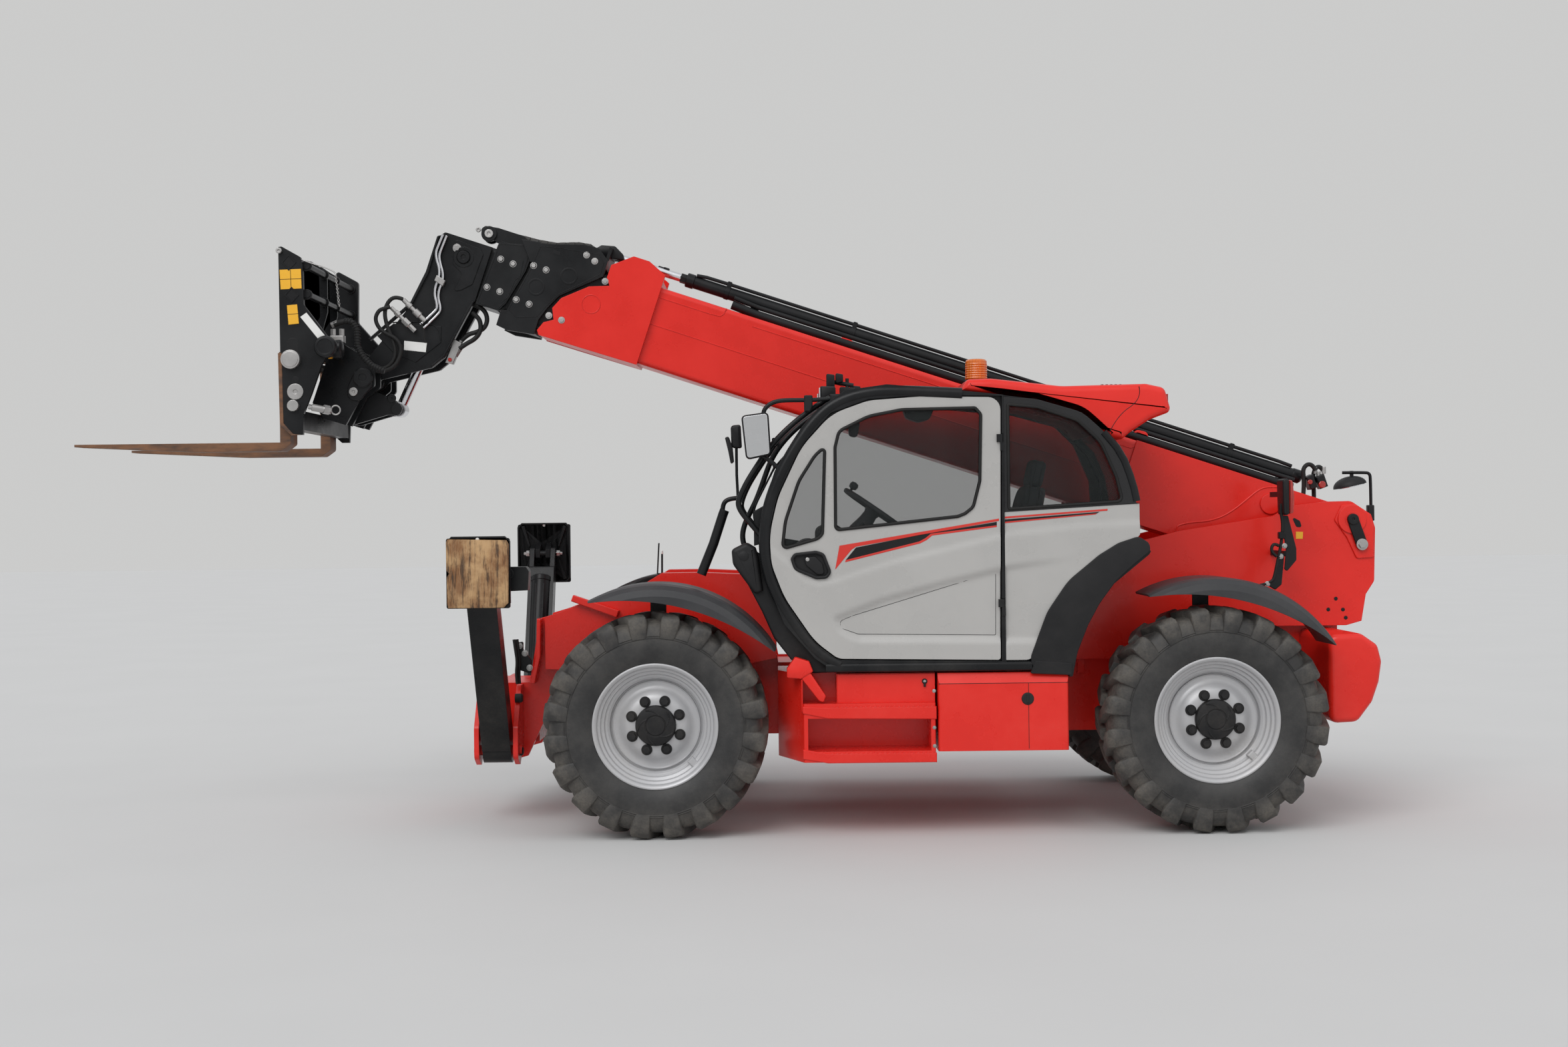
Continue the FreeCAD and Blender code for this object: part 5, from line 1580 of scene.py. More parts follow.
class HANDLER_OT_boom(bpy.types.Operator):
    """Add the boom's creases, bolts, discs, pipes and hoses"""
    bl_idname = "handler.boom"
    bl_label = "Boom fittings"

    def execute(self, context):
        out = Vector((0, -1, 0))
        self.creases()
        bolt_rows = {
            "boom": [(4616, 5), (4873, -292), (4793, -295)],
            "section_1": [(5055, -34), (4976, -36), (5092, -260), (5010, -262),
                          (4773, 123), (4715, 103)],
            "section_2": [(5259, -55), (5180, -60), (5286, -241),
                          (5205, -242)]}
        for body, spots in bolt_rows.items():
            face = COLLARS[body]
            for side in (-1, 1):
                fasteners("bolts_%s_%s" % (body, "near" if side < 0 else "far"),
                          body, [(boom_point(a, -side * face, b),
                                  Vector((0, side, 0))) for a, b in spots],
                          24, 9, "steel")
        rings("boom_disc", "boom", "red paint",
              [boom_point(4654, COLLARS["boom"], -150)], out, 55)
        rings("section_1_discs", "section_1", "black paint",
              [boom_point(5003, COLLARS["section_1"], -151),
               boom_point(4835, COLLARS["section_1"], -30)], out, 46, 6)
        # Painted shade: a flat black plate stands for the dark inside of the square hole.
        hole_shade_plate = Shape()
        hole_shade_plate.plate(rounded([(4973, 93), (4925, 92), (4921, 71), (4970, 70)]),
                    COLLARS["section_1"] - 0.6, -180, 0, boom_point)
        hole_shade_plate.finish("square_holes", "section_1", "black stripe")
        self.top_cylinder()
        self.section_plates()
        self.head()
        self.pipes()
        self.rear_boss()
        return {"FINISHED"}

    def creases(self):
        paths = [on_boom([(4396, -150), (762, -158)], SIDE + 0.5),
                 on_boom([(4280, 16), (3960, 16), (3900, 20), (3884, 40),
                          (3879, 76)], SIDE + 0.5),
                 on_boom([(3700, 22), (1320, 22), (1300, 40), (1296, 76)],
                         SIDE + 0.5)]
        bars("boom_creases", "boom", paths, 3.5, "red paint", smooth=False,
             sides=8)
        far = [[Vector((p.x, -p.y, p.z)) for p in path] for path in paths]
        bars("boom_creases_far", "boom", far, 3.5, "red paint", smooth=False,
             sides=8)
        weld = [(911, -392), (916, -345), (900, -325), (840, -290),
                (747, -254), (670, -200), (613, -132), (560, -50), (520, 15),
                (469, 55), (400, 70)]
        bars("boom_tail_weld", "boom", [on_boom(weld, SIDE - 10)], 6,
             "red paint", sides=8)
        tail = Shape()
        tail.plate(weld[1:-1] + [(120, 60), (0, 75), (-80, 20), (-80, -60),
                                 (0, -110), (180, -145), (650, -390),
                                 (900, -392)],
                   SIDE - 10, SIDE + 2, 0, boom_point)
        boss(tail, boom_point(425, -192, -41), (0, -1, 0), 62, 12)
        tail.finish("boom_tail_plate", "boom", "red paint")

    def top_cylinder(self):
        shape = Shape()
        spine = boom_point(0, 0, 185)
        axis = boom_point(1000, 0, 185) - spine
        shape.turned(boom_point(262, 0, 185), axis,
                     [(30, -12), (38, -4), (42, 0), (42, 46), (38.6, 50),
                      (38.6, 3860), (44, 3864), (44, 3908), (40, 3912),
                      (26, 3914)], 40)
        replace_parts(shape.finish("top_cylinder_tube", "boom", "black paint"),
                    "telescope_barrel")
        pipe = [on_boom([(330, 232), (420, 236), (900, 236), (3900, 236),
                         (4060, 234), (4120, 226)], -20)]
        bars("top_cylinder_pipe", "boom", pipe, 11, "black paint",
             smooth=False)
        low = [on_boom([(300, up), (3700, up), (3860, up + 12)], y)
               for up, y in ((106, -66), (151, -60))]
        bars("lower_pipes", "boom", [low[0]], 27, "black paint", smooth=False,
             sides=20)
        bars("middle_pipe", "boom", [low[1]], 15, "black paint", smooth=False,
             sides=14)
        clips = Shape()
        for at in (700, 1500, 2300, 3100, 3900):
            clips.turned(boom_point(at, 0, 185), axis,
                         [(39.5, 0), (42.5, 1), (42.5, 27), (39.5, 28)], 32)
            clips.plate(rounded([(at, 205, 4), (at + 28, 205, 4),
                                 (at + 28, 252, 6), (at, 252, 6)]), -36, -4, 2,
                        boom_point)
        clips.finish("top_cylinder_clips", "boom", "black paint")
        saddles = Shape()
        for at in (340, 1900, 3700):
            saddles.plate([(at, 78), (at + 50, 78), (at + 50, 160),
                           (at, 160)], -44, 44, 3, boom_point)
        saddles.finish("top_cylinder_saddles", "boom", "black paint")
        ends = Shape()
        ends.turned(boom_point(4175, 0, 185), axis,
                    [(30, 0), (30, 34), (24, 40), (24, 60)], 6)
        ends.turned(boom_point(4290, -4, 205), axis,
                    [(9, 0), (13, 4), (13, 34), (10, 38), (10, 70)], 6)
        ends.finish("top_cylinder_gland", "boom", "black paint")
        loops = [[point(x, y, z) for x, z in line] for y, line in (
            (-95, [(2310, 1790), (2320, 1870), (2322, 1950), (2316, 2010),
                   (2345, 2042), (2380, 2030), (2392, 2000)]),
            (-50, [(2392, 1800), (2396, 1870), (2386, 1950), (2402, 2018),
                   (2436, 2027), (2450, 2000)]))]
        bars("rear_hose_loops", "boom", loops, 13, "rubber", sides=14)
        block = Shape()
        block.plate([(2330, 1960), (2370, 1978), (2398, 1900), (2358, 1884)],
                    -120, -30, 5)
        block.plate([(2392, 1960), (2440, 1980), (2465, 1905), (2420, 1888)],
                    -110, -30, 5)
        block.finish("rear_valve_block", "boom", "black paint")
        metal = Shape()
        for x, z in ((2400, 2003), (2452, 2003), (2420, 1975)):
            metal.rod(point(x, -60, z - 22), point(x, -60, z + 20), 13, 6)
        metal.finish("rear_hose_ends", "boom", "steel")
        button = Shape()
        button.turned(point(2422, -110, 1915), (0, -1, 0),
                      [(12, 0), (12, 12), (21, 13), (21, 24), (17, 27)], 24)
        button.turned(point(2350, -120, 1931), (0, -1, 0),
                      [(9, 0), (14, 1), (14, 12), (11, 14)], 24)
        button.finish("red_buttons", "boom", "red lens")

    def section_plates(self):
        for body, outline in {
                "section_1": [(4700, 150), (4950, 112), (5050, 90), (5066, -70),
                              (5118, -330), (5060, -360), (4945, -320),
                              (4910, -240), (4860, -150), (4730, -30),
                              (4660, 40), (4660, 110)],
                "section_2": [(5108, 44), (5160, 62), (5292, 30), (5312, -345),
                              (5186, -345), (5156, -290), (5104, -80)]}.items():
            face = COLLARS[body]
            seam = rounded([(a, b, 12) for a, b in outline])
            bars("plate_edge_" + body, body, [on_boom(seam, face)], 2.2,
                 "black paint", smooth=False, closed=True, sides=6)
        rim = [(5128, -20), (5118, -120), (5140, -150), (5150, -260),
               (5176, -300)]
        bars("plate_fold_2", "section_2", [on_boom(rim, -160)], 2.4,
             "black paint", smooth=False, sides=6)
        for body, spots in {
                "section_2": [(5259, -55), (5180, -60), (5286, -241),
                              (5205, -242)],
                "section_1": [(5055, -34), (4976, -36), (5092, -260),
                              (5010, -262)]}.items():
            pads = Shape()
            for a, b in spots:
                boss(pads, boom_point(a, COLLARS[body], b), (0, -1, 0), 17, 3)
            pads.finish("bolt_pads_" + body, body, "black paint")
        cover = Shape()
        cover.plate([(-2368, 3437), (-2250, 3418), (-2250, 3300),
                     (-2318, 3300)], -186, -174, 2)
        cover.plate(rounded([(-1935, 3392, 12), (-1900, 3412, 20),
                             (-1817, 3405, 25), (-1769, 3354, 20),
                             (-1762, 3318, 6), (-1894, 3338, 6)]),
                    -80, 80, 6, steps=2)
        cover.finish("section_1_covers", "section_1", "black paint")
        chain = []
        route = on_boom([(5420, 92), (5340, 112), (5180, 126), (5100, 130),
                         (4990, 145), (4860, 190), (4790, 200), (4700, 175)],
                        -20)
        for start, end in zip(route, route[1:]):
            count = max(1, round((end - start).length * 1000 / 26))
            chain += [start + (end - start) * k / count for k in range(count)]
        links = Shape()
        for index, (a, b) in enumerate(zip(chain, chain[1:])):
            run = b - a
            up = Vector((0, 1, 0)).cross(run).normalized()
            wide = 15 if index % 2 else 9
            for y in (-wide, wide):
                links.prism([(-4, -9), (30, -9), (30, 9), (-4, 9)],
                            y - 2.5, y + 2.5,
                            lambda u, level, v, a=a, run=run.normalized(),
                            up=up: a + (run * u + up * v
                                        + Vector((0, 1, 0)) * level) / 1000)
        links.finish("top_chain", "section_2", "cast iron")
        pulley = Shape()
        pulley.turned(boom_point(5392, -62, 78), (0, 1, 0),
                      [(44, 0), (47, 3), (47, 20), (38, 26), (38, 96),
                       (47, 102), (47, 121), (44, 124)], 36)
        pulley.finish("chain_pulley", "section_2", "black paint")
        nut = Shape()
        boss(nut, boom_point(5392, -62, 78), (0, -1, 0), 26, 10, 10)
        boss(nut, boom_point(5462, -50, 82), (0, -1, 0), 15, 10, 6)
        nut.finish("pulley_pin", "section_2", "steel")

    def head(self):
        face = COLLARS["section_3"]
        out = (0, -1, 0)
        shape = Shape()
        boss(shape, boom_point(5480, face, -110), out, 62, 10, 40)
        boss(shape, boom_point(5480, face, -110), out, 38, 20, 14)
        shape.plate(rounded([(5560, -20, 15), (5400, -30, 15), (5372, -60, 10),
                             (5380, -250, 20), (5430, -300, 20),
                             (5480, -330, 20), (5452, -210, 30),
                             (5530, -170, 20)]), face - 6, face, 2, boom_point)
        for y in (-150, 100):
            shape.plate([(5335, -345), (5402, -715), (5455, -797),
                         (5466, -790), (5416, -706), (5352, -345)],
                        y, y + 50, 4, boom_point)
        shape.plate([(5668, -40), (5656, -30), (5650, -268), (5685, -470),
                     (5860, -760), (5872, -752), (5700, -466), (5668, -262)],
                    -146, -104, 3, boom_point)
        shape.plate([(5452, -640), (5480, -545), (5760, -620), (5830, -720),
                     (5700, -790), (5560, -800)], face - 5, face, 2, boom_point)
        shape.finish("head_plates", "section_3", "black paint")
        bars("head_weld", "section_3",
             [on_boom([(5460, -630), (5484, -545), (5640, -560),
                       (5765, -616)], face - 4)], 4, "black paint", sides=8)
        fasteners("head_bolts", "section_3",
                  [(boom_point(5535, face - 6, -70), Vector(out))], 30, 12,
                  "steel")
        label = Shape()
        label.plate([(5666, -698), (5532, -669), (5521, -724), (5650, -751)],
                    face - 6.5, face - 4, 0, boom_point)
        label.finish("head_label", "section_3", "white plate")
        valve = Shape()
        valve.plate([(5388, -594), (5334, -606), (5347, -743), (5396, -745)],
                    -118, -70, 4, boom_point)
        valve.finish("lock_valve", "section_3", "steel")
        button = Shape()
        boss(button, boom_point(5372, -118, -722), out, 12, 8)
        button.finish("valve_button", "section_3", "red lens")
        hoses = [on_boom([(5350, -362), (5300, -362), (5256, -385),
                          (5232, -430), (5238, -480), (5275, -515),
                          (5325, -545), (5350, -600)], -95),
                 on_boom([(5335, -410), (5290, -425), (5262, -460),
                          (5250, -510), (5270, -560), (5310, -600),
                          (5340, -640)], -110)]
        bars("head_hoses", "section_3", hoses, 14, "rubber", sides=14)
        fittings = Shape()
        for a, b, c, d in [(5345, -590, 5352, -640), (5334, -630, 5350, -690)]:
            fittings.rod(boom_point(a, -100, b), boom_point(c, -95, d), 15, 6)
        fittings.finish("head_hose_ends", "section_3", "steel")

    def pipes(self):
        paths = [on_boom([(5636, -20), (5642, -88), (5645, -150), (5575, -250),
                          (5588, -360), (5532, -444), (5545, -480),
                          (5600, -575)], -150),
                 on_boom([(5612, -20), (5618, -95), (5620, -160), (5548, -262),
                          (5560, -372), (5508, -450), (5520, -492),
                          (5575, -590)], -150)]
        bars("head_pipes", "section_3", paths, 8, "chrome", sides=14, order=3)
        clamp = Shape()
        clamp.plate(rounded([(5600, -300, 4), (5540, -318, 4),
                             (5535, -280, 4), (5596, -262, 4)]), -164, -134, 4,
                    boom_point)
        clamp.finish("pipe_clamp", "section_3", "steel")
        couplers = Shape()
        for (a, b), (c, d) in (((5791, -533), (5616, -623)),
                               ((5736, -466), (5576, -548))):
            start, end = boom_point(a, -190, b), boom_point(c, -160, d)
            run = end - start
            length = run.length * 1000
            couplers.turned(start, run, [
                (10, 0), (14, 3), (14, length * 0.18), (19, length * 0.2),
                (19, length * 0.34), (13, length * 0.36), (13, length * 0.5),
                (22, length * 0.53), (22, length * 0.74), (16, length * 0.77),
                (16, length)], 6 if a > 5750 else 18)
        couplers.finish("quick_couplers", "section_3", "steel")
        hoses = [on_boom([(5791, -533), (5818, -551), (5850, -575),
                          (5855, -636), (5795, -690), (5689, -700),
                          (5640, -763), (5650, -864), (5725, -925),
                          (5830, -930), (5900, -900)], -215),
                 on_boom([(5736, -466), (5778, -462), (5815, -500),
                          (5818, -575), (5775, -650), (5712, -720),
                          (5668, -800), (5690, -880), (5760, -915),
                          (5860, -905)], -200),
                 on_boom([(5602, -560), (5560, -600), (5548, -650),
                          (5530, -672)], -180)]
        bars("head_supply_hoses", "section_3", hoses[:2], 12, "rubber", sides=14)
        bars("cap_cord", "section_3", hoses[2:], 4, "rubber", sides=8)

    def rear_boss(self):
        shape = Shape()
        eyes = [(1263, 140), (3136, 120)]
        for at, up in eyes:
            for y in (-80, 60):
                shape.plate(rounded([(at - 60, 78), (at + 60, 78),
                                     (at + 46, up + 8, 30),
                                     (at - 30, up + 14, 30)]), y, y + 20, 3,
                            boom_point)
        shape.finish("boom_eyes", "boom", "red paint")


def spring_hose(name, body, path, radius, turns, finish):
    """Coil of wire wound along a hose."""
    lengths = [0.0]
    for a, b in zip(path, path[1:]):
        lengths.append(lengths[-1] + (b - a).length)
    points = []
    steps = turns * 10
    for k in range(steps + 1):
        reach = lengths[-1] * k / steps
        index = max(i for i, value in enumerate(lengths[:-1]) if value <= reach)
        share = (reach - lengths[index]) / (lengths[index + 1] - lengths[index])
        run = path[index + 1] - path[index]
        side = Vector((0, 1, 0))
        up = side.cross(run).normalized()
        swing = 2 * math.pi * k / 10
        points.append(path[index] + run * share
                      + (side * math.cos(swing) + up * math.sin(swing))
                      * radius / 1000)
    bars(name, body, [points], 3.2, finish, sides=6, order=3)


class HANDLER_OT_carriage(bpy.types.Operator):
    """Dress the fork carriage with pins, plates, hoses and chain"""
    bl_idname = "handler.carriage"
    bl_label = "Carriage fittings"

    def execute(self, context):
        self.side_plate()
        self.pins()
        self.backrest()
        self.hoses()
        return {"FINISHED"}

    def side_plate(self):
        face = -605
        # Painted shade: flat black plates stand for the dark inside of the two diamond holes,
        # the slot and the round hole.
        holes = Shape()
        for x, z in ((-3654, 3256), (-3639, 3068)):
            holes.plate([(x - 34, z), (x, z - 38), (x + 34, z), (x, z + 38)],
                        face - 0.8, face + 3)
        slot = rounded([(-3668, 2700, 30), (-3606, 2700, 30),
                        (-3606, 2822, 30), (-3668, 2822, 30)])
        holes.plate(slot, face - 0.8, face + 3)
        holes.plate(circle(-3623, 2580, 19), face - 0.8, face + 3)
        holes.finish("carriage_openings", "carriage", "black stripe")
        trims = Shape()
        for x, z in ((-3654, 3256), (-3639, 3068)):
            trims.frame([(x - 44, z), (x, z - 48), (x + 44, z), (x, z + 48)],
                        8, face - 3, face + 2)
        trims.finish("carriage_hole_rims", "carriage", "black paint")
        plates("carriage_warning_plates", "carriage", "yellow plate",
               [[(-3707, 3214), (-3584, 3218), (-3581, 3105), (-3702, 3101)],
                [(-3667, 3009), (-3608, 3014), (-3599, 2903),
                 (-3659, 2897)]], face - 1.2, face + 1)
        plates("carriage_rule", "carriage", "black stripe",
               [[(-3646, 3214), (-3643, 3214), (-3640, 3104), (-3643, 3104)],
                [(-3705, 3160), (-3583, 3163), (-3583, 3160), (-3705, 3157)],
                [(-3664, 2958), (-3603, 2962), (-3603, 2959), (-3664, 2955)]],
               face - 1.6, face + 1)
        plates("carriage_white_plate", "carriage", "white plate",
               [[(-3591, 2941), (-3555, 2966), (-3446, 2828),
                 (-3481, 2803)]], face - 1.2, face + 1)
        guide = Shape()
        guide.plate(rounded([(-3722, 2735), (-3700, 2735), (-3694, 2330),
                             (-3640, 2268), (-3583, 2262), (-3600, 2262, 5),
                             (-3650, 2258, 5), (-3715, 2318, 10)]),
                    face - 3, face + 4, 2)
        guide.finish("carriage_guide_edge", "carriage", "forged steel")

    def pins(self):
        out = (0, -1, 0)
        steel = Shape()
        boss(steel, point(-3645, -605, 2696), out, 55, 34)
        steel.turned(point(-3645, -639, 2696), out, [(46, 0), (44, 3), (8, 3.5)],
                     36)
        boss(steel, point(-3624, -605, 2511), out, 47, 8, 12)
        boss(steel, point(-3635, -605, 2430), out, 33, 26)
        boss(steel, point(-3347, -342, 2525), out, 26, 14, 8)
        boss(steel, point(-3706, -612, 3323), out, 17, 16, 6)
        steel.rod(point(-3533, -590, 2421), point(-3430, -560, 2401), 21, 20)
        steel.rod(point(-3552, -592, 2425), point(-3520, -590, 2419), 15, 6)
        steel.rod(point(-3470, -580, 2410), point(-3440, -560, 2404), 27, 6)
        steel.finish("carriage_bright_pins", "carriage", "steel")
        rings("pin_loop", "carriage", "steel", [point(-3404, -558, 2405)], out,
              26, 4)
        black = Shape()
        black.turned(point(-3443, -605, 2766), out,
                     [(64, -4), (64, 30), (58, 40), (46, 42), (42, 38),
                      (20, 38)], 40)
        black.turned(point(-3436, -480, 2762), (1, 0, 0.03),
                     [(40, 0), (50, 4), (56, 22), (56, 50), (44, 58),
                      (30, 60)], 36)
        black.turned(point(-3291, -328, 2607), out,
                     [(58, 0), (58, 30), (50, 36), (24, 36), (22, 30)], 36)
        black.plate(rounded([(-3335, 2660, 40), (-3250, 2665, 40),
                             (-3235, 2560, 40), (-3310, 2470, 40),
                             (-3390, 2480, 40), (-3380, 2560, 40)]),
                    -346, -328, 4)
        for x, z in ((-3173, 2500), (-3143, 2436)):
            boss(black, point(x, -92, z), out, 26, 9, 5)
        black.finish("carriage_black_bosses", "carriage", "black paint")
        orange = Shape()
        orange.turned(point(-3462, -480, 2762), (1, 0, 0.03),
                      [(50, 0), (54, 2), (54, 20), (50, 22)], 36)
        orange.finish("carriage_orange_ring", "carriage", "yellow plate")

    def backrest(self):
        shape = Shape()
        for y in (-135, 120):
            shape.plate(rounded([(-3702, 3318, 12), (-3640, 3322, 20),
                                 (-3592, 3280, 20), (-3588, 2990, 30),
                                 (-3632, 2922, 20), (-3660, 2790),
                                 (-3700, 2790)]), y, y + 15, 2)
        shape.plate(rounded([(-3655, 3362, 15), (-3514, 3284, 25),
                             (-3517, 3027, 30), (-3374, 2863, 20),
                             (-3330, 2800, 15), (-3420, 2760),
                             (-3600, 2790)]), 560, 606, 4)
        shape.rod(point(-3700, -575, 3318), point(-3700, 575, 3318), 17, 20)
        shape.finish("backrest_plates", "carriage", "black paint")
        studs = Shape()
        for x, z in ((-3560, 3240), (-3560, 3075)):
            for y in (-560, -150, 138, 560):
                boss(studs, point(x, y, z), (0, -1, 0), 30, 10)
        studs.finish("backrest_collars", "carriage", "black paint")
        links = [point(-3396 + 1.2 * k, -560, 3195 - 11 * k) for k in range(18)]
        chain = Shape()
        for index, centre in enumerate(links):
            tilt = Vector((1, 0, 0)) if index % 2 else Vector((0, 1, 0))
            chain.turned(centre, tilt, [(4.5, -1.6), (7, -1.6), (7, 1.6),
                                        (4.5, 1.6)], 10, closed=True)
        chain.finish("pin_chain", "carriage", "steel")
        bars("pin_chain_cord", "carriage",
             [along([(-3700, 3318), (-3560, 3262), (-3430, 3222),
                     (-3396, 3200)], -590)], 4, "steel", sides=8)

    def hoses(self):
        route = along([(-3445, 2916), (-3390, 2936), (-3341, 2933),
                       (-3312, 2895), (-3306, 2840), (-3308, 2783),
                       (-3270, 2715), (-3214, 2664), (-3150, 2640)], -400)
        bars("carriage_hose", "carriage", [route], 17, "rubber", sides=14)
        spring_hose("carriage_hose_spring", "carriage", route[1:], 18.5, 26,
                    "black plastic")
        ends = Shape()
        for x0, z0, x1, z1 in [(-3460, 2912, -3425, 2926),
                               (-3450, 2890, -3450, 2846),
                               (-3400, 2850, -3400, 2890)]:
            ends.rod(point(x0, -400, z0), point(x1, -400, z1), 17, 6)
        ends.box(-3462, -3385, -430, -360, 2810, 2850, 4)
        ends.finish("carriage_hose_ends", "carriage", "steel")


def millimetres(node):
    """A CAD node's box in the drawing's own millimetres."""
    low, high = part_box(node)
    return ([low[0] * 1000 - SHIFT, low[1] * 1000, low[2] * 1000],
            [high[0] * 1000 - SHIFT, high[1] * 1000, high[2] * 1000])


class HANDLER_OT_stabilisers(bpy.types.Operator):
    """Dress both stabilisers: wood, pads, pins, leg and brackets"""
    bl_idname = "handler.stabilisers"
    bl_label = "Stabilisers"

    def execute(self, context):
        for side, name in ((-1, "left"), (1, "right")):
            (x0, y0, z0), (x1, y1, z1) = millimetres("pad_wood_" + name)
            middle = (z0 + z1) / 2
            outline = [(x0 + 10, z0), (x1 - 30, z0), (x1 - 4, z0 + 25),
                       (x1, z1 - 30), (x1 - 12, z1 - 8), (x0 + 8, z1),
                       (x0, z1 - 20), (x0 + 2, middle + 18),
                       (x0 + 16, middle), (x0 + 3, middle - 20),
                       (x0 + 4, z0 + 30)]
            wood = Shape()
            wood.plate(outline, y0, y1, 4, steps=2)
            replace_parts(wood.finish("wood_" + name, "pad_" + name, "wood"),
                        "pad_wood_" + name)
            self.pad(side, name, x0, x1, z0, z1, y0 if side > 0 else y1)
        self.leg()
        self.brackets()
        return {"FINISHED"}

    def pad(self, side, name, x0, x1, z0, z1, face):
        """Flange round the plate, ribs behind it and the pin's ends."""
        body = "pad_" + name
        inner = face - side * 14
        x0, x1, z0, z1 = x0 - 4, x1 + 4, z0 - 4, z1 + 14
        outline = [(x0 + 28, z0), (x1 - 28, z0), (x1, z0 + 28), (x1, z1 - 28),
                   (x1 - 28, z1), (x0 + 28, z1), (x0, z1 - 28), (x0, z0 + 28)]
        shape = Shape()
        low, high = sorted((face, inner))
        shape.plate(outline, low, high, 3)
        low, high = sorted((inner, inner - side * 18))
        shape.frame(outline, 10, low, high)
        tip_z = (z0 + z1) / 2 - 5
        middle = (x0 + x1) / 2
        for hand in (-1, 1):
            out, near = middle + hand * 150, middle + hand * 100
            low, high = sorted((inner, inner - side * 16))
            shape.plate([(out, z1 - 22), (out - hand * 22, z1 - 18),
                         (near - hand * 8, tip_z + 50), (near, tip_z + 40)][::hand],
                        low, high, 2)
            shape.plate([(out, z0 + 22), (out - hand * 22, z0 + 18),
                         (near - hand * 8, tip_z - 50), (near, tip_z - 40)][::hand],
                        low, high, 2)
        shape.finish("pad_plate_" + name, body, "black paint")
        # Painted light: a white plug stands for the light that shows through the hole near the
        # top of the pad.
        hole_light = Shape()
        hole_light.turned(point(middle, inner - side * 0.6, z1 - 16), (0, side, 0),
                    [(9, 0), (9, 30)], 20)
        hole_light.finish("pad_hole_" + name, body, "white plate")
        pins = Shape()
        joint = joint_point("pad_tilt_" + name)
        for hand in (-1, 1):
            centre = joint + Vector((hand * 0.100, 0, 0))
            pins.turned(centre, (hand, 0, 0), [(21, -14), (21, 8), (17, 12),
                                               (11, 12), (11, 24), (8, 27)], 6)
        pins.finish("pad_pins_" + name, body, "steel")
        if side > 0:
            return
        lug = Shape()
        boss(lug, point(-2346, -1058, 1462), (0, -1, 0), 32, 10)
        lug.finish("lug_boss", "arm_" + name, "black paint")
        bolt = Shape()
        boss(bolt, point(-2346, -1068, 1462), (0, -1, 0), 17, 12, 6)
        bolt.finish("lug_bolt", "arm_" + name, "steel")

    def leg(self):
        """Round leg along each arm, with its collar and end cap."""
        for side, name, lean in ((-1, "left", 60), (1, "right", 67)):
            foot = joint_point("stabiliser_" + name)
            turn = math.radians(lean)
            run = Vector((0, side * math.cos(turn), math.sin(turn)))
            inward = Vector((0, -side * math.sin(turn), math.cos(turn)))
            shape = Shape()
            start = foot + inward * 0.046 + run * 0.30
            shape.turned(start, run, [(40, 0), (60, 20), (62, 24), (62, 690),
                                      (66, 692), (66, 722), (62, 726), (40, 728)],
                         36)
            for hand in (-1, 1):
                offset = Vector((hand * 0.024, 0, 0)) + inward * 0.058
                shape.rod(start + offset + run * 0.05,
                          start + offset + run * 0.66, 5, 10)
            shape.finish("leg_tube_" + name, "arm_" + name, "black paint")
        hoses = [along([(-2400, 1060), (-2392, 1000), (-2382, 930),
                        (-2390, 860), (-2384, 800)], -470),
                 along([(-2384, 1060), (-2378, 990), (-2370, 930),
                        (-2376, 860), (-2372, 800)], -455)]
        bars("stabiliser_hoses", "chassis", hoses, 9, "rubber", sides=10)

    def brackets(self):
        black = Shape()
        black.plate(rounded([(-2395, 1040, 8), (-2350, 1045, 8),
                             (-2350, 1000, 8), (-2301, 935, 8),
                             (-2307, 856, 8), (-2379, 880, 8),
                             (-2395, 940, 8)]), -440, -425, 3)
        black.finish("hose_bracket", "chassis", "black paint")
        fasteners("hose_bracket_bolts", "chassis",
                  [(point(x, -440, z), Vector((0, -1, 0)))
                   for x, z in ((-2341, 977), (-2314, 892), (-2372, 1020))],
                  22, 8, "steel")
        ends = Shape()
        for z in (721, 412):
            ends.turned(point(-2392, -500, z), (1, 0, 0),
                        [(26, 0), (26, 36), (20, 44), (1, 46)], 28)
        ends.finish("arm_pin_ends", "chassis", "black plastic")
        plates("nose_flange", "chassis", "red paint",
               [[(-2268, 1178), (-2246, 1176), (-2250, 959), (-2285, 800),
                 (-2312, 800), (-2276, 960)]], -450, -342, 3)
        strip = Shape()
        strip.plate(rounded([(-2053, 1315, 4), (-2066, 1279, 4),
                             (-1800, 1180, 4), (-1786, 1221, 4)]), -470, -415, 4)
        strip.finish("nose_strip", "chassis", "red paint")
        rods = Shape()
        rods.rod(point(-1573, -250, 1425), point(-1562, -250, 1610), 4.5, 10)
        rods.rod(point(-1546, -250, 1366), point(-1544, -250, 1545), 6, 10)
        rods.rod(point(-1573, -250, 1429), point(-1517, -250, 1421), 4, 8)
        rods.rod(point(-1517, -250, 1421), point(-1506, -250, 1372), 4, 8)
        rods.finish("nose_markers", "chassis", "black plastic")
        tips = Shape()
        tips.turned(point(-1544, -250, 1545), (0, 0, 1),
                    [(6, 0), (7, 4), (6, 20), (2, 24)], 12)
        tips.finish("marker_tip", "chassis", "white plate")


def joint_point(name):
    """Where a joint's pin crosses the frame, at rest."""
    for joint in frame["joints"]:
        if joint["name"] == name:
            return Vector(joint["pos_m"])
    raise RuntimeError("no joint " + name)


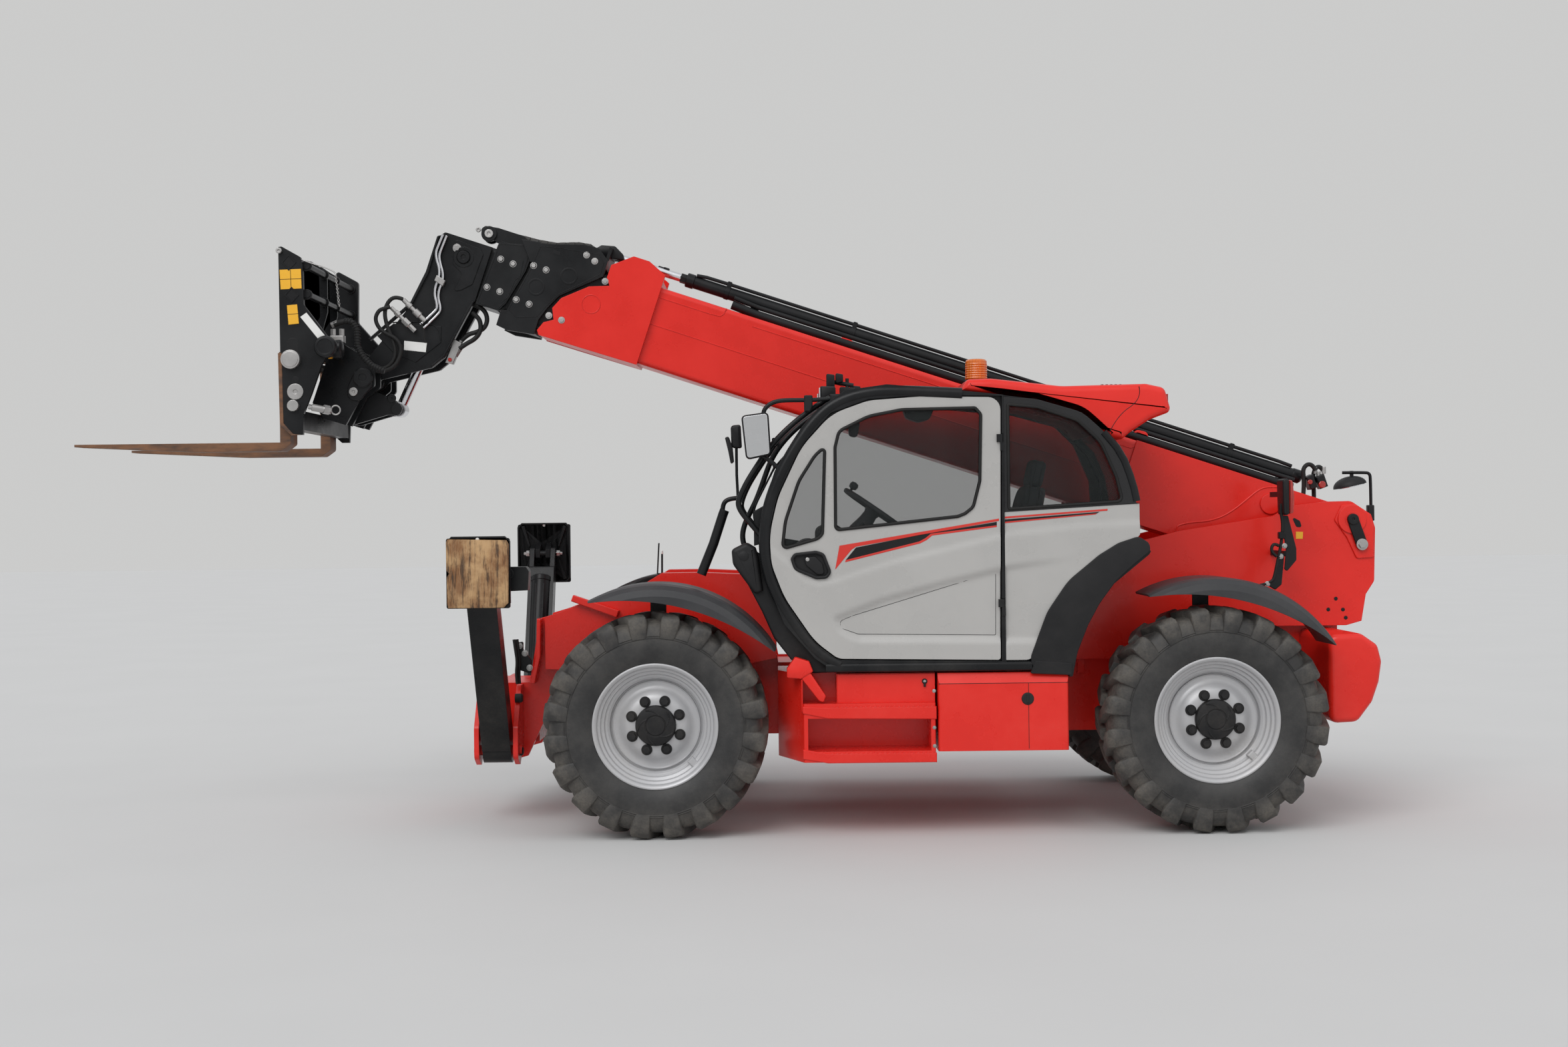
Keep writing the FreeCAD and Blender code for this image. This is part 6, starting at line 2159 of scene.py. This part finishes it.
class HANDLER_OT_boxes(bpy.types.Operator):
    """Fit the tool door, step lips, grip, cap and seams on the side boxes"""
    bl_idname = "handler.boxes"
    bl_label = "Side boxes"

    def execute(self, context):
        door = Shape()
        door.plate([(-538, 893), (-3, 893), (-3, 719), (-538, 731)],
                   -1160, -1150, 2)
        door.finish("tool_door", "chassis", "red paint")
        hinges = Shape()
        for x in (-443, -118):
            hinges.box(x - 30, x + 30, -1166, -1156, 712, 722, 1.5)
            hinges.box(x - 30, x + 30, -1164, -1158, 722, 734, 1)
            hinges.rod(point(x - 28, -1166, 722), point(x + 28, -1166, 722), 5, 12)
        hinges.finish("tool_door_hinges", "chassis", "steel")
        lock = Shape()
        boss(lock, point(-60, -1160, 850), (0, -1, 0), 15, 6)
        lock.box(-66, -54, -1172, -1158, 820, 846, 3)
        lock.finish("tool_door_lock", "chassis", "black plastic")
        key = Shape()
        key.turned(point(-60, -1166, 850), (0, -1, 0),
                   [(8, 0), (8, 3), (3, 3.2)], 18)
        key.finish("tool_door_key", "chassis", "steel")
        self.steps()
        self.grip()
        self.fuel_box()
        flap = Shape()
        flap.plate(rounded([(542, 958, 8), (742, 944, 8), (742, 878, 8),
                            (512, 889, 8)]), -1206, -1196, 3)
        flap.finish("side_flap", "chassis", "black plastic")
        return {"FINISHED"}

    def steps(self):
        shape = Shape()
        for outline in ([(-729, 722), (-590, 716), (0, 716), (0, 647),
                         (-590, 655), (-729, 684)],
                        [(-729, 489), (-593, 465), (0, 463), (0, 412),
                         (-593, 412), (-729, 436)]):
            shape.plate(outline, -1207, -1180, 3)
        teeth = 22
        for level in (716, 463):
            for k in range(teeth):
                x = -575 + k * 26
                shape.plate([(x, level - 2), (x + 15, level - 2),
                             (x + 12, level + 7), (x + 3, level + 7)],
                            -1206, -1182, 1)
        shape.finish("step_lips", "chassis", "red paint")
        fasteners("step_screws", "chassis",
                  [(point(x, -1200, z), Vector((0, -1, 0)))
                   for x, z in ((-12, 800), (-12, 600), (-12, 500),
                                (-715, 700))], 12, 4, "steel")

    def grip(self):
        shape = Shape()
        head = rounded([(-813, 928, 8), (-767, 992, 10), (-690, 968, 10),
                        (-668, 912, 10), (-735, 872, 10), (-813, 879, 8)])
        shape.plate(head, -1196, -1120, 9, steps=2)
        leg = rounded([(-735, 885), (-690, 915), (-600, 778, 14),
                       (-614, 740, 10), (-640, 752, 10), (-728, 866)])
        shape.plate(leg, -1190, -1140, 8, steps=2)
        shape.plate([(-735, 868), (-727, 868), (-727, 690), (-735, 690)],
                    -1190, -1150, 3)
        shape.finish("step_grip", "chassis", "red paint")

    def fuel_box(self):
        seam = [along([(503, 480), (503, 836)], -1199.5),
                along([(12, 838), (720, 838)], -1199.5)]
        bars("fuel_box_seams", "chassis", seam, 1.8, "black stripe",
             smooth=False, sides=6)
        cap = Shape()
        cap.turned(point(498, -1199, 752), (0, -1, 0),
                   [(34, -3), (34, 3), (30, 7), (12, 8)], 36)
        cap.box(492, 504, -1210, -1204, 728, 776, 2)
        cap.finish("fuel_cap", "chassis", "black plastic")


class HANDLER_OT_rear(bpy.types.Operator):
    """Shape the counterweight, tail lights, boom pin and rear mirror"""
    bl_idname = "handler.rear"
    bl_label = "Rear end"

    def execute(self, context):
        outline = rounded([(2215, 568, 50), (2374, 575, 60), (2459, 687, 60),
                           (2498, 799, 90), (2514, 911, 70), (2491, 1005, 50),
                           (2398, 1071, 60), (2215, 1066, 50)])
        shape = Shape()
        for y0, y1 in ((-950, -300), (300, 950)):
            shape.plate(outline, y0, y1, 34, steps=5)
        middle = rounded([(2440, 742, 10), (2476, 742, 10), (2496, 799, 40),
                          (2512, 911, 60), (2489, 1003, 40), (2440, 1040, 15)])
        shape.plate(middle, -345, 345, 4)
        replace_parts(shape.finish("counterweight_casting", "chassis",
                                 "red paint", sharp=40), "counterweight")
        self.pin_plate()
        self.tail_lights()
        self.mirror()
        return {"FINISHED"}

    def pin_plate(self):
        raised = rounded([(2404, 1702, 15), (2449, 1790, 15), (2520, 1797, 10),
                          (2609, 1738, 20), (2636, 1660, 20), (2634, 1480, 10),
                          (2533, 1474, 20), (2476, 1599, 20)])
        plate = Shape()
        for side in (-1, 1):
            low, high = sorted((side * 420, side * 430))
            plate.plate(raised, low, high, 4)
            boss(plate, point(2508, side * 428, 1706), (0, side, 0), 84, 12)
        plate.finish("boom_pin_plates", "chassis", "red paint")
        arm = Shape()
        for side in (-1, 1):
            low, high = sorted((side * 436, side * 452))
            ends = []
            for (x, z), start in (((2508, 1706), 20), ((2560, 1558), 200)):
                ends += [(x + 33 * math.cos(math.radians(start + 20 * k)),
                          z + 33 * math.sin(math.radians(start + 20 * k)))
                         for k in range(10)]
            arm.plate(ends, low, high, 3)
            boss(arm, point(2508, side * 450, 1706), (0, side, 0), 32, 12, 8)
        arm.finish("pin_keepers", "chassis", "black paint")
        fasteners("pin_keeper_bolts", "chassis",
                  [(point(2560, side * 452, 1558), Vector((0, side, 0)))
                   for side in (-1, 1)], 40, 14, "steel")
        # Painted shade: flat black discs and a slot stand for the dark inside of the tower's
        # holes.
        tower_hole_shades = Shape()
        for x, z in ((2411, 1241), (2366, 1178), (2452, 1177), (2468, 1129),
                     (2340, 1051)):
            tower_hole_shades.plate(circle(x, z, 11, 20), -420.8, -410)
        tower_hole_shades.plate(rounded([(2156, 1727, 8), (2205, 1700, 12),
                             (2218, 1660, 12), (2184, 1664, 12)]),
                    -420.8, -410)
        tower_hole_shades.finish("tower_holes", "chassis", "black stripe")
        plates("tower_plate_yellow", "chassis", "yellow plate",
               [[(2181, 1636), (2223, 1635), (2221, 1594), (2181, 1594)]],
               -421, -410)

    def tail_lights(self):
        unit = rounded([(2012, 1941, 20), (2050, 1944, 20), (2050, 1735, 20),
                        (2017, 1735, 20)])
        lens = rounded([(2050, 1936, 6), (2072, 1930, 14), (2080, 1840, 60),
                        (2076, 1748, 14), (2050, 1740, 6)])
        bracket = rounded([(2012, 1735, 5), (2054, 1731, 5), (2099, 1545, 15),
                           (2099, 1478, 15), (2044, 1414, 8), (2030, 1428, 8),
                           (2040, 1540, 20)])
        black, red = Shape(), Shape()
        for side in (-1, 1):
            low, high = sorted((side * 640, side * 780))
            black.plate(unit, low, high, 10, steps=3)
            red.plate(lens, low + 6, high - 6, 8, steps=3)
            low, high = sorted((side * 720, side * 730))
            black.plate(bracket, low, high, 2)
            for z in (1500, 1840):
                low, high = sorted((side * 420, side * 725))
                black.box(2030, 2055, low, high, z, z + 30, 3)
        black.finish("tail_light_units", "chassis", "black plastic")
        red.finish("tail_light_lenses", "chassis", "red lens")
        cables = [along([(2016, 1800), (2010, 1760), (2022, 1700),
                         (2020, 1628), (2010, 1560), (2000, 1514),
                         (1984, 1440), (1976, 1401), (1960, 1350),
                         (1890, 1337)], -730),
                  along([(1998, 1560), (1975, 1575), (1955, 1555),
                         (1958, 1520), (1985, 1500)], -735)]
        bars("tail_light_cables", "chassis", cables, 9, "rubber", sides=10)
        arm = Shape()
        arm.plate(rounded([(1905, 1352, 8), (1955, 1362, 8), (2005, 1520, 10),
                           (2030, 1520, 10), (2012, 1340, 12),
                           (1975, 1310, 8)]), -735, -722, 3)
        arm.plate(rounded([(1995, 1640, 6), (2030, 1640, 6), (2030, 1600, 6),
                           (1995, 1600, 6)]), -750, -715, 4)
        arm.finish("tail_light_arm", "chassis", "black paint")
        fasteners("tail_light_bolts", "chassis",
                  [(point(x, -736, z), Vector((0, -1, 0)))
                   for x, z in ((2008, 1500), (2030, 1560), (1930, 1345))],
                  18, 7, "steel")

    def mirror(self):
        bowl = Shape()
        count, sides = 9, 36
        verts, faces = [], []
        turn = math.radians(12)
        for k in range(count):
            lift = math.pi / 2 * k / (count - 1)
            for j in range(sides):
                swing = 2 * math.pi * j / sides
                a = 105 * math.cos(lift) * math.cos(swing)
                b = 62 * math.sin(lift)
                y = 95 * math.cos(lift) * math.sin(swing)
                verts.append(point(2780 + a * math.cos(turn) - b * math.sin(turn),
                                   505 + y,
                                   1912 + a * math.sin(turn) + b * math.cos(turn)))
        for k in range(count - 1):
            for j in range(sides):
                i = (j + 1) % sides
                faces.append([k * sides + j, k * sides + i,
                              (k + 1) * sides + i, (k + 1) * sides + j])
        faces.append(list(range(sides))[::-1])
        bowl.solid(verts, faces)
        bowl.finish("rear_mirror_bowl", "chassis", "black plastic")
        face = Shape()
        face.turned(point(2784, 505, 1912), (math.sin(turn), 0, -math.cos(turn)),
                    [(92, -1), (90, 3), (60, 9), (2, 12)], 40)
        face.finish("rear_mirror_glass", "chassis", "mirror glass")
        post = [[point(2901, 470, 1700), point(2901, 470, 1960),
                 point(2895, 475, 1990), point(2870, 480, 1997),
                 point(2730, 500, 1997)],
                [point(2600, 470, 1680), point(2880, 470, 1690),
                 point(2901, 470, 1700)]]
        bars("rear_mirror_post", "chassis", post, 10, "black paint", order=3)
        clamp = Shape()
        clamp.plate(rounded([(2875, 1790, 6), (2918, 1790, 6), (2918, 1690, 6),
                             (2875, 1690, 6)]), 450, 490, 6)
        clamp.rod(point(2790, 500, 1960), point(2790, 500, 2008), 12, 16)
        clamp.finish("rear_mirror_clamp", "chassis", "black plastic")


def crowned_pad(name, body, finish, centre, axes, size, power=0.36):
    """Cushion with bulging faces; axes are its right, ahead and up."""
    right, ahead, up = (Vector(a).normalized() for a in axes)

    def swell(value):
        return math.copysign(abs(value) ** power, value)

    shape = Shape()
    sides, steps = 48, 20
    verts, faces = [], []
    for k in range(1, steps):
        lift = math.pi * k / steps - math.pi / 2
        for j in range(sides):
            turn = 2 * math.pi * j / sides
            reach = swell(math.cos(lift))
            verts.append(Vector(centre) + (
                right * (size[0] / 2 * reach * swell(math.cos(turn)))
                + ahead * (size[1] / 2 * reach * swell(math.sin(turn)))
                + up * (size[2] / 2 * swell(math.sin(lift)))) / 1000)
    for k in range(steps - 2):
        for j in range(sides):
            i = (j + 1) % sides
            faces.append([k * sides + j, k * sides + i,
                          (k + 1) * sides + i, (k + 1) * sides + j])
    faces += [list(range(sides))[::-1],
              list(range((steps - 2) * sides, (steps - 1) * sides))]
    shape.solid(verts, faces)
    pad = shape.finish(name, body, finish, sharp=50)
    seams = []
    for level in (-0.42, 0.42):
        reach = swell(math.cos(math.asin(swell_back(level, power))))
        seams.append([Vector(centre) + (
            right * (size[0] / 2 * reach * swell(math.cos(2 * math.pi * j / 40)))
            + ahead * (size[1] / 2 * reach * swell(math.sin(2 * math.pi * j / 40)))
            + up * (size[2] / 2 * level)) / 1000 for j in range(40)])
    bars(name + "_piping", body, seams, 4, "black plastic", smooth=False,
         closed=True, sides=8)
    return pad


def swell_back(level, power):
    return math.copysign(abs(level) ** (1 / power), level)


class HANDLER_OT_interior(bpy.types.Operator):
    """Fit the seat, wheel, console, pedals and mirror inside the cab"""
    bl_idname = "handler.interior"
    bl_label = "Cab interior"

    def execute(self, context):
        lean = math.radians(13)
        crowned_pad("seat_cushion", "chassis", "seat cloth",
                    point(205, -730, 1258),
                    ((0, 1, 0), (1, 0, 0), (0, 0, 1)), (470, 490, 130))
        crowned_pad("seat_back", "chassis", "seat cloth",
                    point(525, -730, 1620),
                    ((0, 1, 0), (math.sin(lean), 0, math.cos(lean)),
                     (-math.cos(lean), 0, math.sin(lean))), (450, 600, 130))
        crowned_pad("seat_headrest", "chassis", "seat cloth",
                    point(612, -730, 1985),
                    ((0, 1, 0), (math.sin(lean), 0, math.cos(lean)),
                     (-math.cos(lean), 0, math.sin(lean))), (250, 150, 90))
        self.seat_frame()
        self.wheel()
        self.console()
        return {"FINISHED"}

    def seat_frame(self):
        shape = Shape()
        shape.plate(rounded([(-20, 1165, 20), (430, 1165, 20), (450, 1215, 20),
                             (-40, 1215, 20)]), -950, -510, 8)
        shape.plate(rounded([(60, 950, 10), (380, 950, 10), (420, 1170, 10),
                             (20, 1170, 10)]), -900, -560, 12)
        shape.plate(rounded([(470, 1220, 20), (530, 1220, 20), (655, 1900, 30),
                             (600, 1910, 30)]), -900, -560, 10)
        for y in (-990, -480):
            shape.plate(rounded([(60, 1400, 25), (400, 1430, 25),
                                 (400, 1490, 25), (60, 1460, 25)]),
                        y, y + 50, 8)
            shape.plate([(380, 1250), (430, 1250), (430, 1440), (380, 1440)],
                        y + 10, y + 40, 4)
        shape.rod(point(110, -455, 1470), point(100, -455, 1580), 12)
        shape.turned(point(100, -455, 1570), (0, 0, 1),
                     [(14, 0), (24, 10), (27, 45), (20, 70), (4, 76)], 24)
        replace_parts(shape.finish("seat_frame", "chassis", "trim"),
                    "cab_interior")

    def wheel(self):
        slant = math.radians(-35)
        centre = point(-305, -730, 1794)
        across = Vector((math.cos(slant), 0, math.sin(slant)))
        up = Vector((-math.sin(slant), 0, math.cos(slant)))
        shape = Shape()
        rim = [(190 + 15 * math.cos(math.radians(30 * k)),
                15 * math.sin(math.radians(30 * k))) for k in range(12)]
        shape.turned(centre, up, rim, 56, closed=True)
        shape.turned(centre, up, [(34, -50), (46, -22), (46, 0), (36, 12),
                                  (4, 14)], 32)
        for angle in (0, 120, 240):
            turn = math.radians(angle + 30)
            spoke = across * math.cos(turn) + Vector((0, 1, 0)) * math.sin(turn)
            shape.rod(centre, centre + spoke * 0.185, 12, 12)
        knob = centre - across * 0.17
        shape.turned(knob, up, [(8, 0), (8, 24), (22, 30), (26, 48), (20, 64),
                                (4, 68)], 24)
        shape.turned(centre - up * 0.02, -up,
                     [(38, 0), (44, 60), (60, 130), (62, 320), (60, 420)], 32)
        shape.rod(centre - up * 0.12, centre - up * 0.12 + Vector((0, -0.20, 0.03)),
                  8, 12)
        shape.finish("steering_wheel", "chassis", "trim")

    def console(self):
        shape = Shape()
        shape.plate(rounded([(-740, 1080, 60), (-520, 1080, 40),
                             (-480, 1440, 60), (-560, 1600, 80),
                             (-700, 1640, 80), (-800, 1560, 80),
                             (-820, 1350, 60)]), -1080, -400, 20, steps=3)
        shape.plate(rounded([(-640, 1560, 30), (-520, 1560, 30),
                             (-470, 1680, 50), (-560, 1730, 50),
                             (-640, 1690, 40)]), -900, -560, 16, steps=3)
        for y in (-960, -760, -640):
            shape.plate([(-560, 1010), (-470, 960), (-455, 985),
                         (-545, 1036)], y - 30, y + 30, 4)
        shape.plate(rounded([(-300, 1070, 30), (420, 1070, 30),
                             (420, 1360, 40), (-300, 1320, 60)]),
                    -440, -330, 12, steps=2)
        shape.finish("dashboard", "chassis", "trim")
        mirror = Shape()
        mirror.plate(rounded([(-454, 2290, 18), (-386, 2281, 12),
                              (-404, 2196, 18), (-449, 2205, 18)]),
                     -935, -865, 10, steps=3)
        mirror.rod(point(-420, -900, 2285), point(-380, -900, 2345), 6)
        mirror.plate(rounded([(-150, 2360, 15), (30, 2362, 15), (0, 2290, 40),
                              (-60, 2277, 40), (-130, 2300, 30)]),
                     -960, -840, 12, steps=3)
        mirror.box(-620, 700, -1080, -380, 2372, 2384, 2)
        mirror.finish("inside_mirror", "chassis", "black plastic")


class HANDLER_OT_stage(bpy.types.Operator):
    """Build the floor, the light and the camera"""
    bl_idname = "handler.stage"
    bl_label = "Stage and camera"

    def execute(self, context):
        settings = context.scene.handler_stage
        mesh = bpy.data.meshes.new("floor")
        far = 60.0
        mesh.from_pydata([(-far, -far, 0), (far, -far, 0), (far, far, 0),
                          (-far, far, 0)], [], [(0, 1, 2, 3)])
        floor = bpy.data.objects.new("floor", mesh)
        context.scene.collection.objects.link(floor)
        ground, tree, shader = blank_material("pale floor")
        where = add(tree, "ShaderNodeTexCoord")
        cloud = add(tree, "ShaderNodeTexNoise", Vector=where.outputs["Object"],
                    Scale=0.8, Detail=6.0)
        pale = tuple(settings.floor_colour)
        link(tree, mix_colour(tree, cloud.outputs["Fac"],
                              rgba(shade(pale, 0.97)), rgba(shade(pale, 1.03))),
             shader.inputs["Base Color"])
        shader.inputs["Roughness"].default_value = 0.75
        mesh.materials.append(ground)
        self.light(context)
        self.camera(context, settings.lens)
        return {"FINISHED"}

    def light(self, context):
        world = bpy.data.worlds.new("soft sky")
        context.scene.world = world
        world.use_nodes = True
        tree = world.node_tree
        tree.nodes.clear()
        where = add(tree, "ShaderNodeTexCoord")
        split = add(tree, "ShaderNodeSeparateXYZ",
                    Vector=where.outputs["Generated"])
        sky = mix_colour(tree, ranged(tree, split.outputs["Z"], -0.2, 0.9),
                         rgba((0.50, 0.50, 0.50)), rgba((0.86, 0.87, 0.89)))
        lit = add(tree, "ShaderNodeBackground", Color=sky, Strength=0.80)
        seen = add(tree, "ShaderNodeBackground", Color=rgba((0.60, 0.60, 0.595)),
                   Strength=1.0)
        path = add(tree, "ShaderNodeLightPath")
        ray = math_node(tree, "MAXIMUM", path.outputs["Is Camera Ray"],
                        path.outputs["Is Transmission Ray"])
        mix = add(tree, "ShaderNodeMixShader")
        link(tree, ray, mix.inputs[0])
        link(tree, lit.outputs[0], mix.inputs[1])
        link(tree, seen.outputs[0], mix.inputs[2])
        out = add(tree, "ShaderNodeOutputWorld")
        link(tree, mix.outputs[0], out.inputs[0])
        for name, strength, angle, tilt, turn in [
                ("key", 1.35, 40, 48, -28), ("fill", 0.45, 80, 60, 40)]:
            lamp = bpy.data.lights.new(name, "SUN")
            lamp.energy = strength
            lamp.angle = math.radians(angle)
            thing = bpy.data.objects.new(name, lamp)
            thing.rotation_euler = (math.radians(tilt), 0, math.radians(turn))
            context.scene.collection.objects.link(thing)

    def camera(self, context, lens):
        data = bpy.data.cameras.new("camera")
        data.sensor_width = 36.0
        data.lens = lens
        data.shift_x, data.shift_y = 0.00298, -0.00426
        data.clip_end = 200.0
        view = bpy.data.objects.new("camera", data)
        view.location = (0.155, -11.514, 1.758)
        turn = Matrix.Rotation(math.radians(90), 4, "X") @ Matrix.Rotation(
            math.radians(-0.655), 4, "Z")
        view.rotation_euler = turn.to_euler()
        context.scene.collection.objects.link(view)
        context.scene.camera = view
        context.scene.view_settings.view_transform = "Standard"


class HANDLER_PT_panel(bpy.types.Panel):
    bl_label = "Telescopic handler"
    bl_space_type = "VIEW_3D"
    bl_region_type = "UI"
    bl_category = "Handler"

    def draw(self, context):
        layout = self.layout
        for group_name in ("handler_paint", "handler_wheels", "handler_stage"):
            settings = getattr(context.scene, group_name)
            box = layout.box()
            for key in settings.__annotations__:
                box.prop(settings, key)
        for step in STEPS:
            layout.operator(step.bl_idname)


STEPS = [HANDLER_OT_stage, HANDLER_OT_finishes, HANDLER_OT_tyres,
         HANDLER_OT_rims, HANDLER_OT_cab_side, HANDLER_OT_roof,
         HANDLER_OT_cab_front, HANDLER_OT_boom, HANDLER_OT_carriage,
         HANDLER_OT_stabilisers, HANDLER_OT_boxes, HANDLER_OT_rear,
         HANDLER_OT_interior]
SETTINGS = {"handler_paint": PaintSettings, "handler_wheels": WheelSettings,
            "handler_stage": StageSettings}


def register():
    for name, kind in SETTINGS.items():
        bpy.utils.register_class(kind)
        setattr(bpy.types.Scene, name, bpy.props.PointerProperty(type=kind))
    for kind in [*STEPS, HANDLER_PT_panel]:
        bpy.utils.register_class(kind)


def unregister():
    for kind in [HANDLER_PT_panel, *reversed(STEPS)]:
        bpy.utils.unregister_class(kind)
    for name, kind in SETTINGS.items():
        delattr(bpy.types.Scene, name)
        bpy.utils.unregister_class(kind)


def main():
    register()
    for step in STEPS:
        family, call = step.bl_idname.split(".")
        getattr(getattr(bpy.ops, family), call)()


if __name__ == "__main__":
    main()
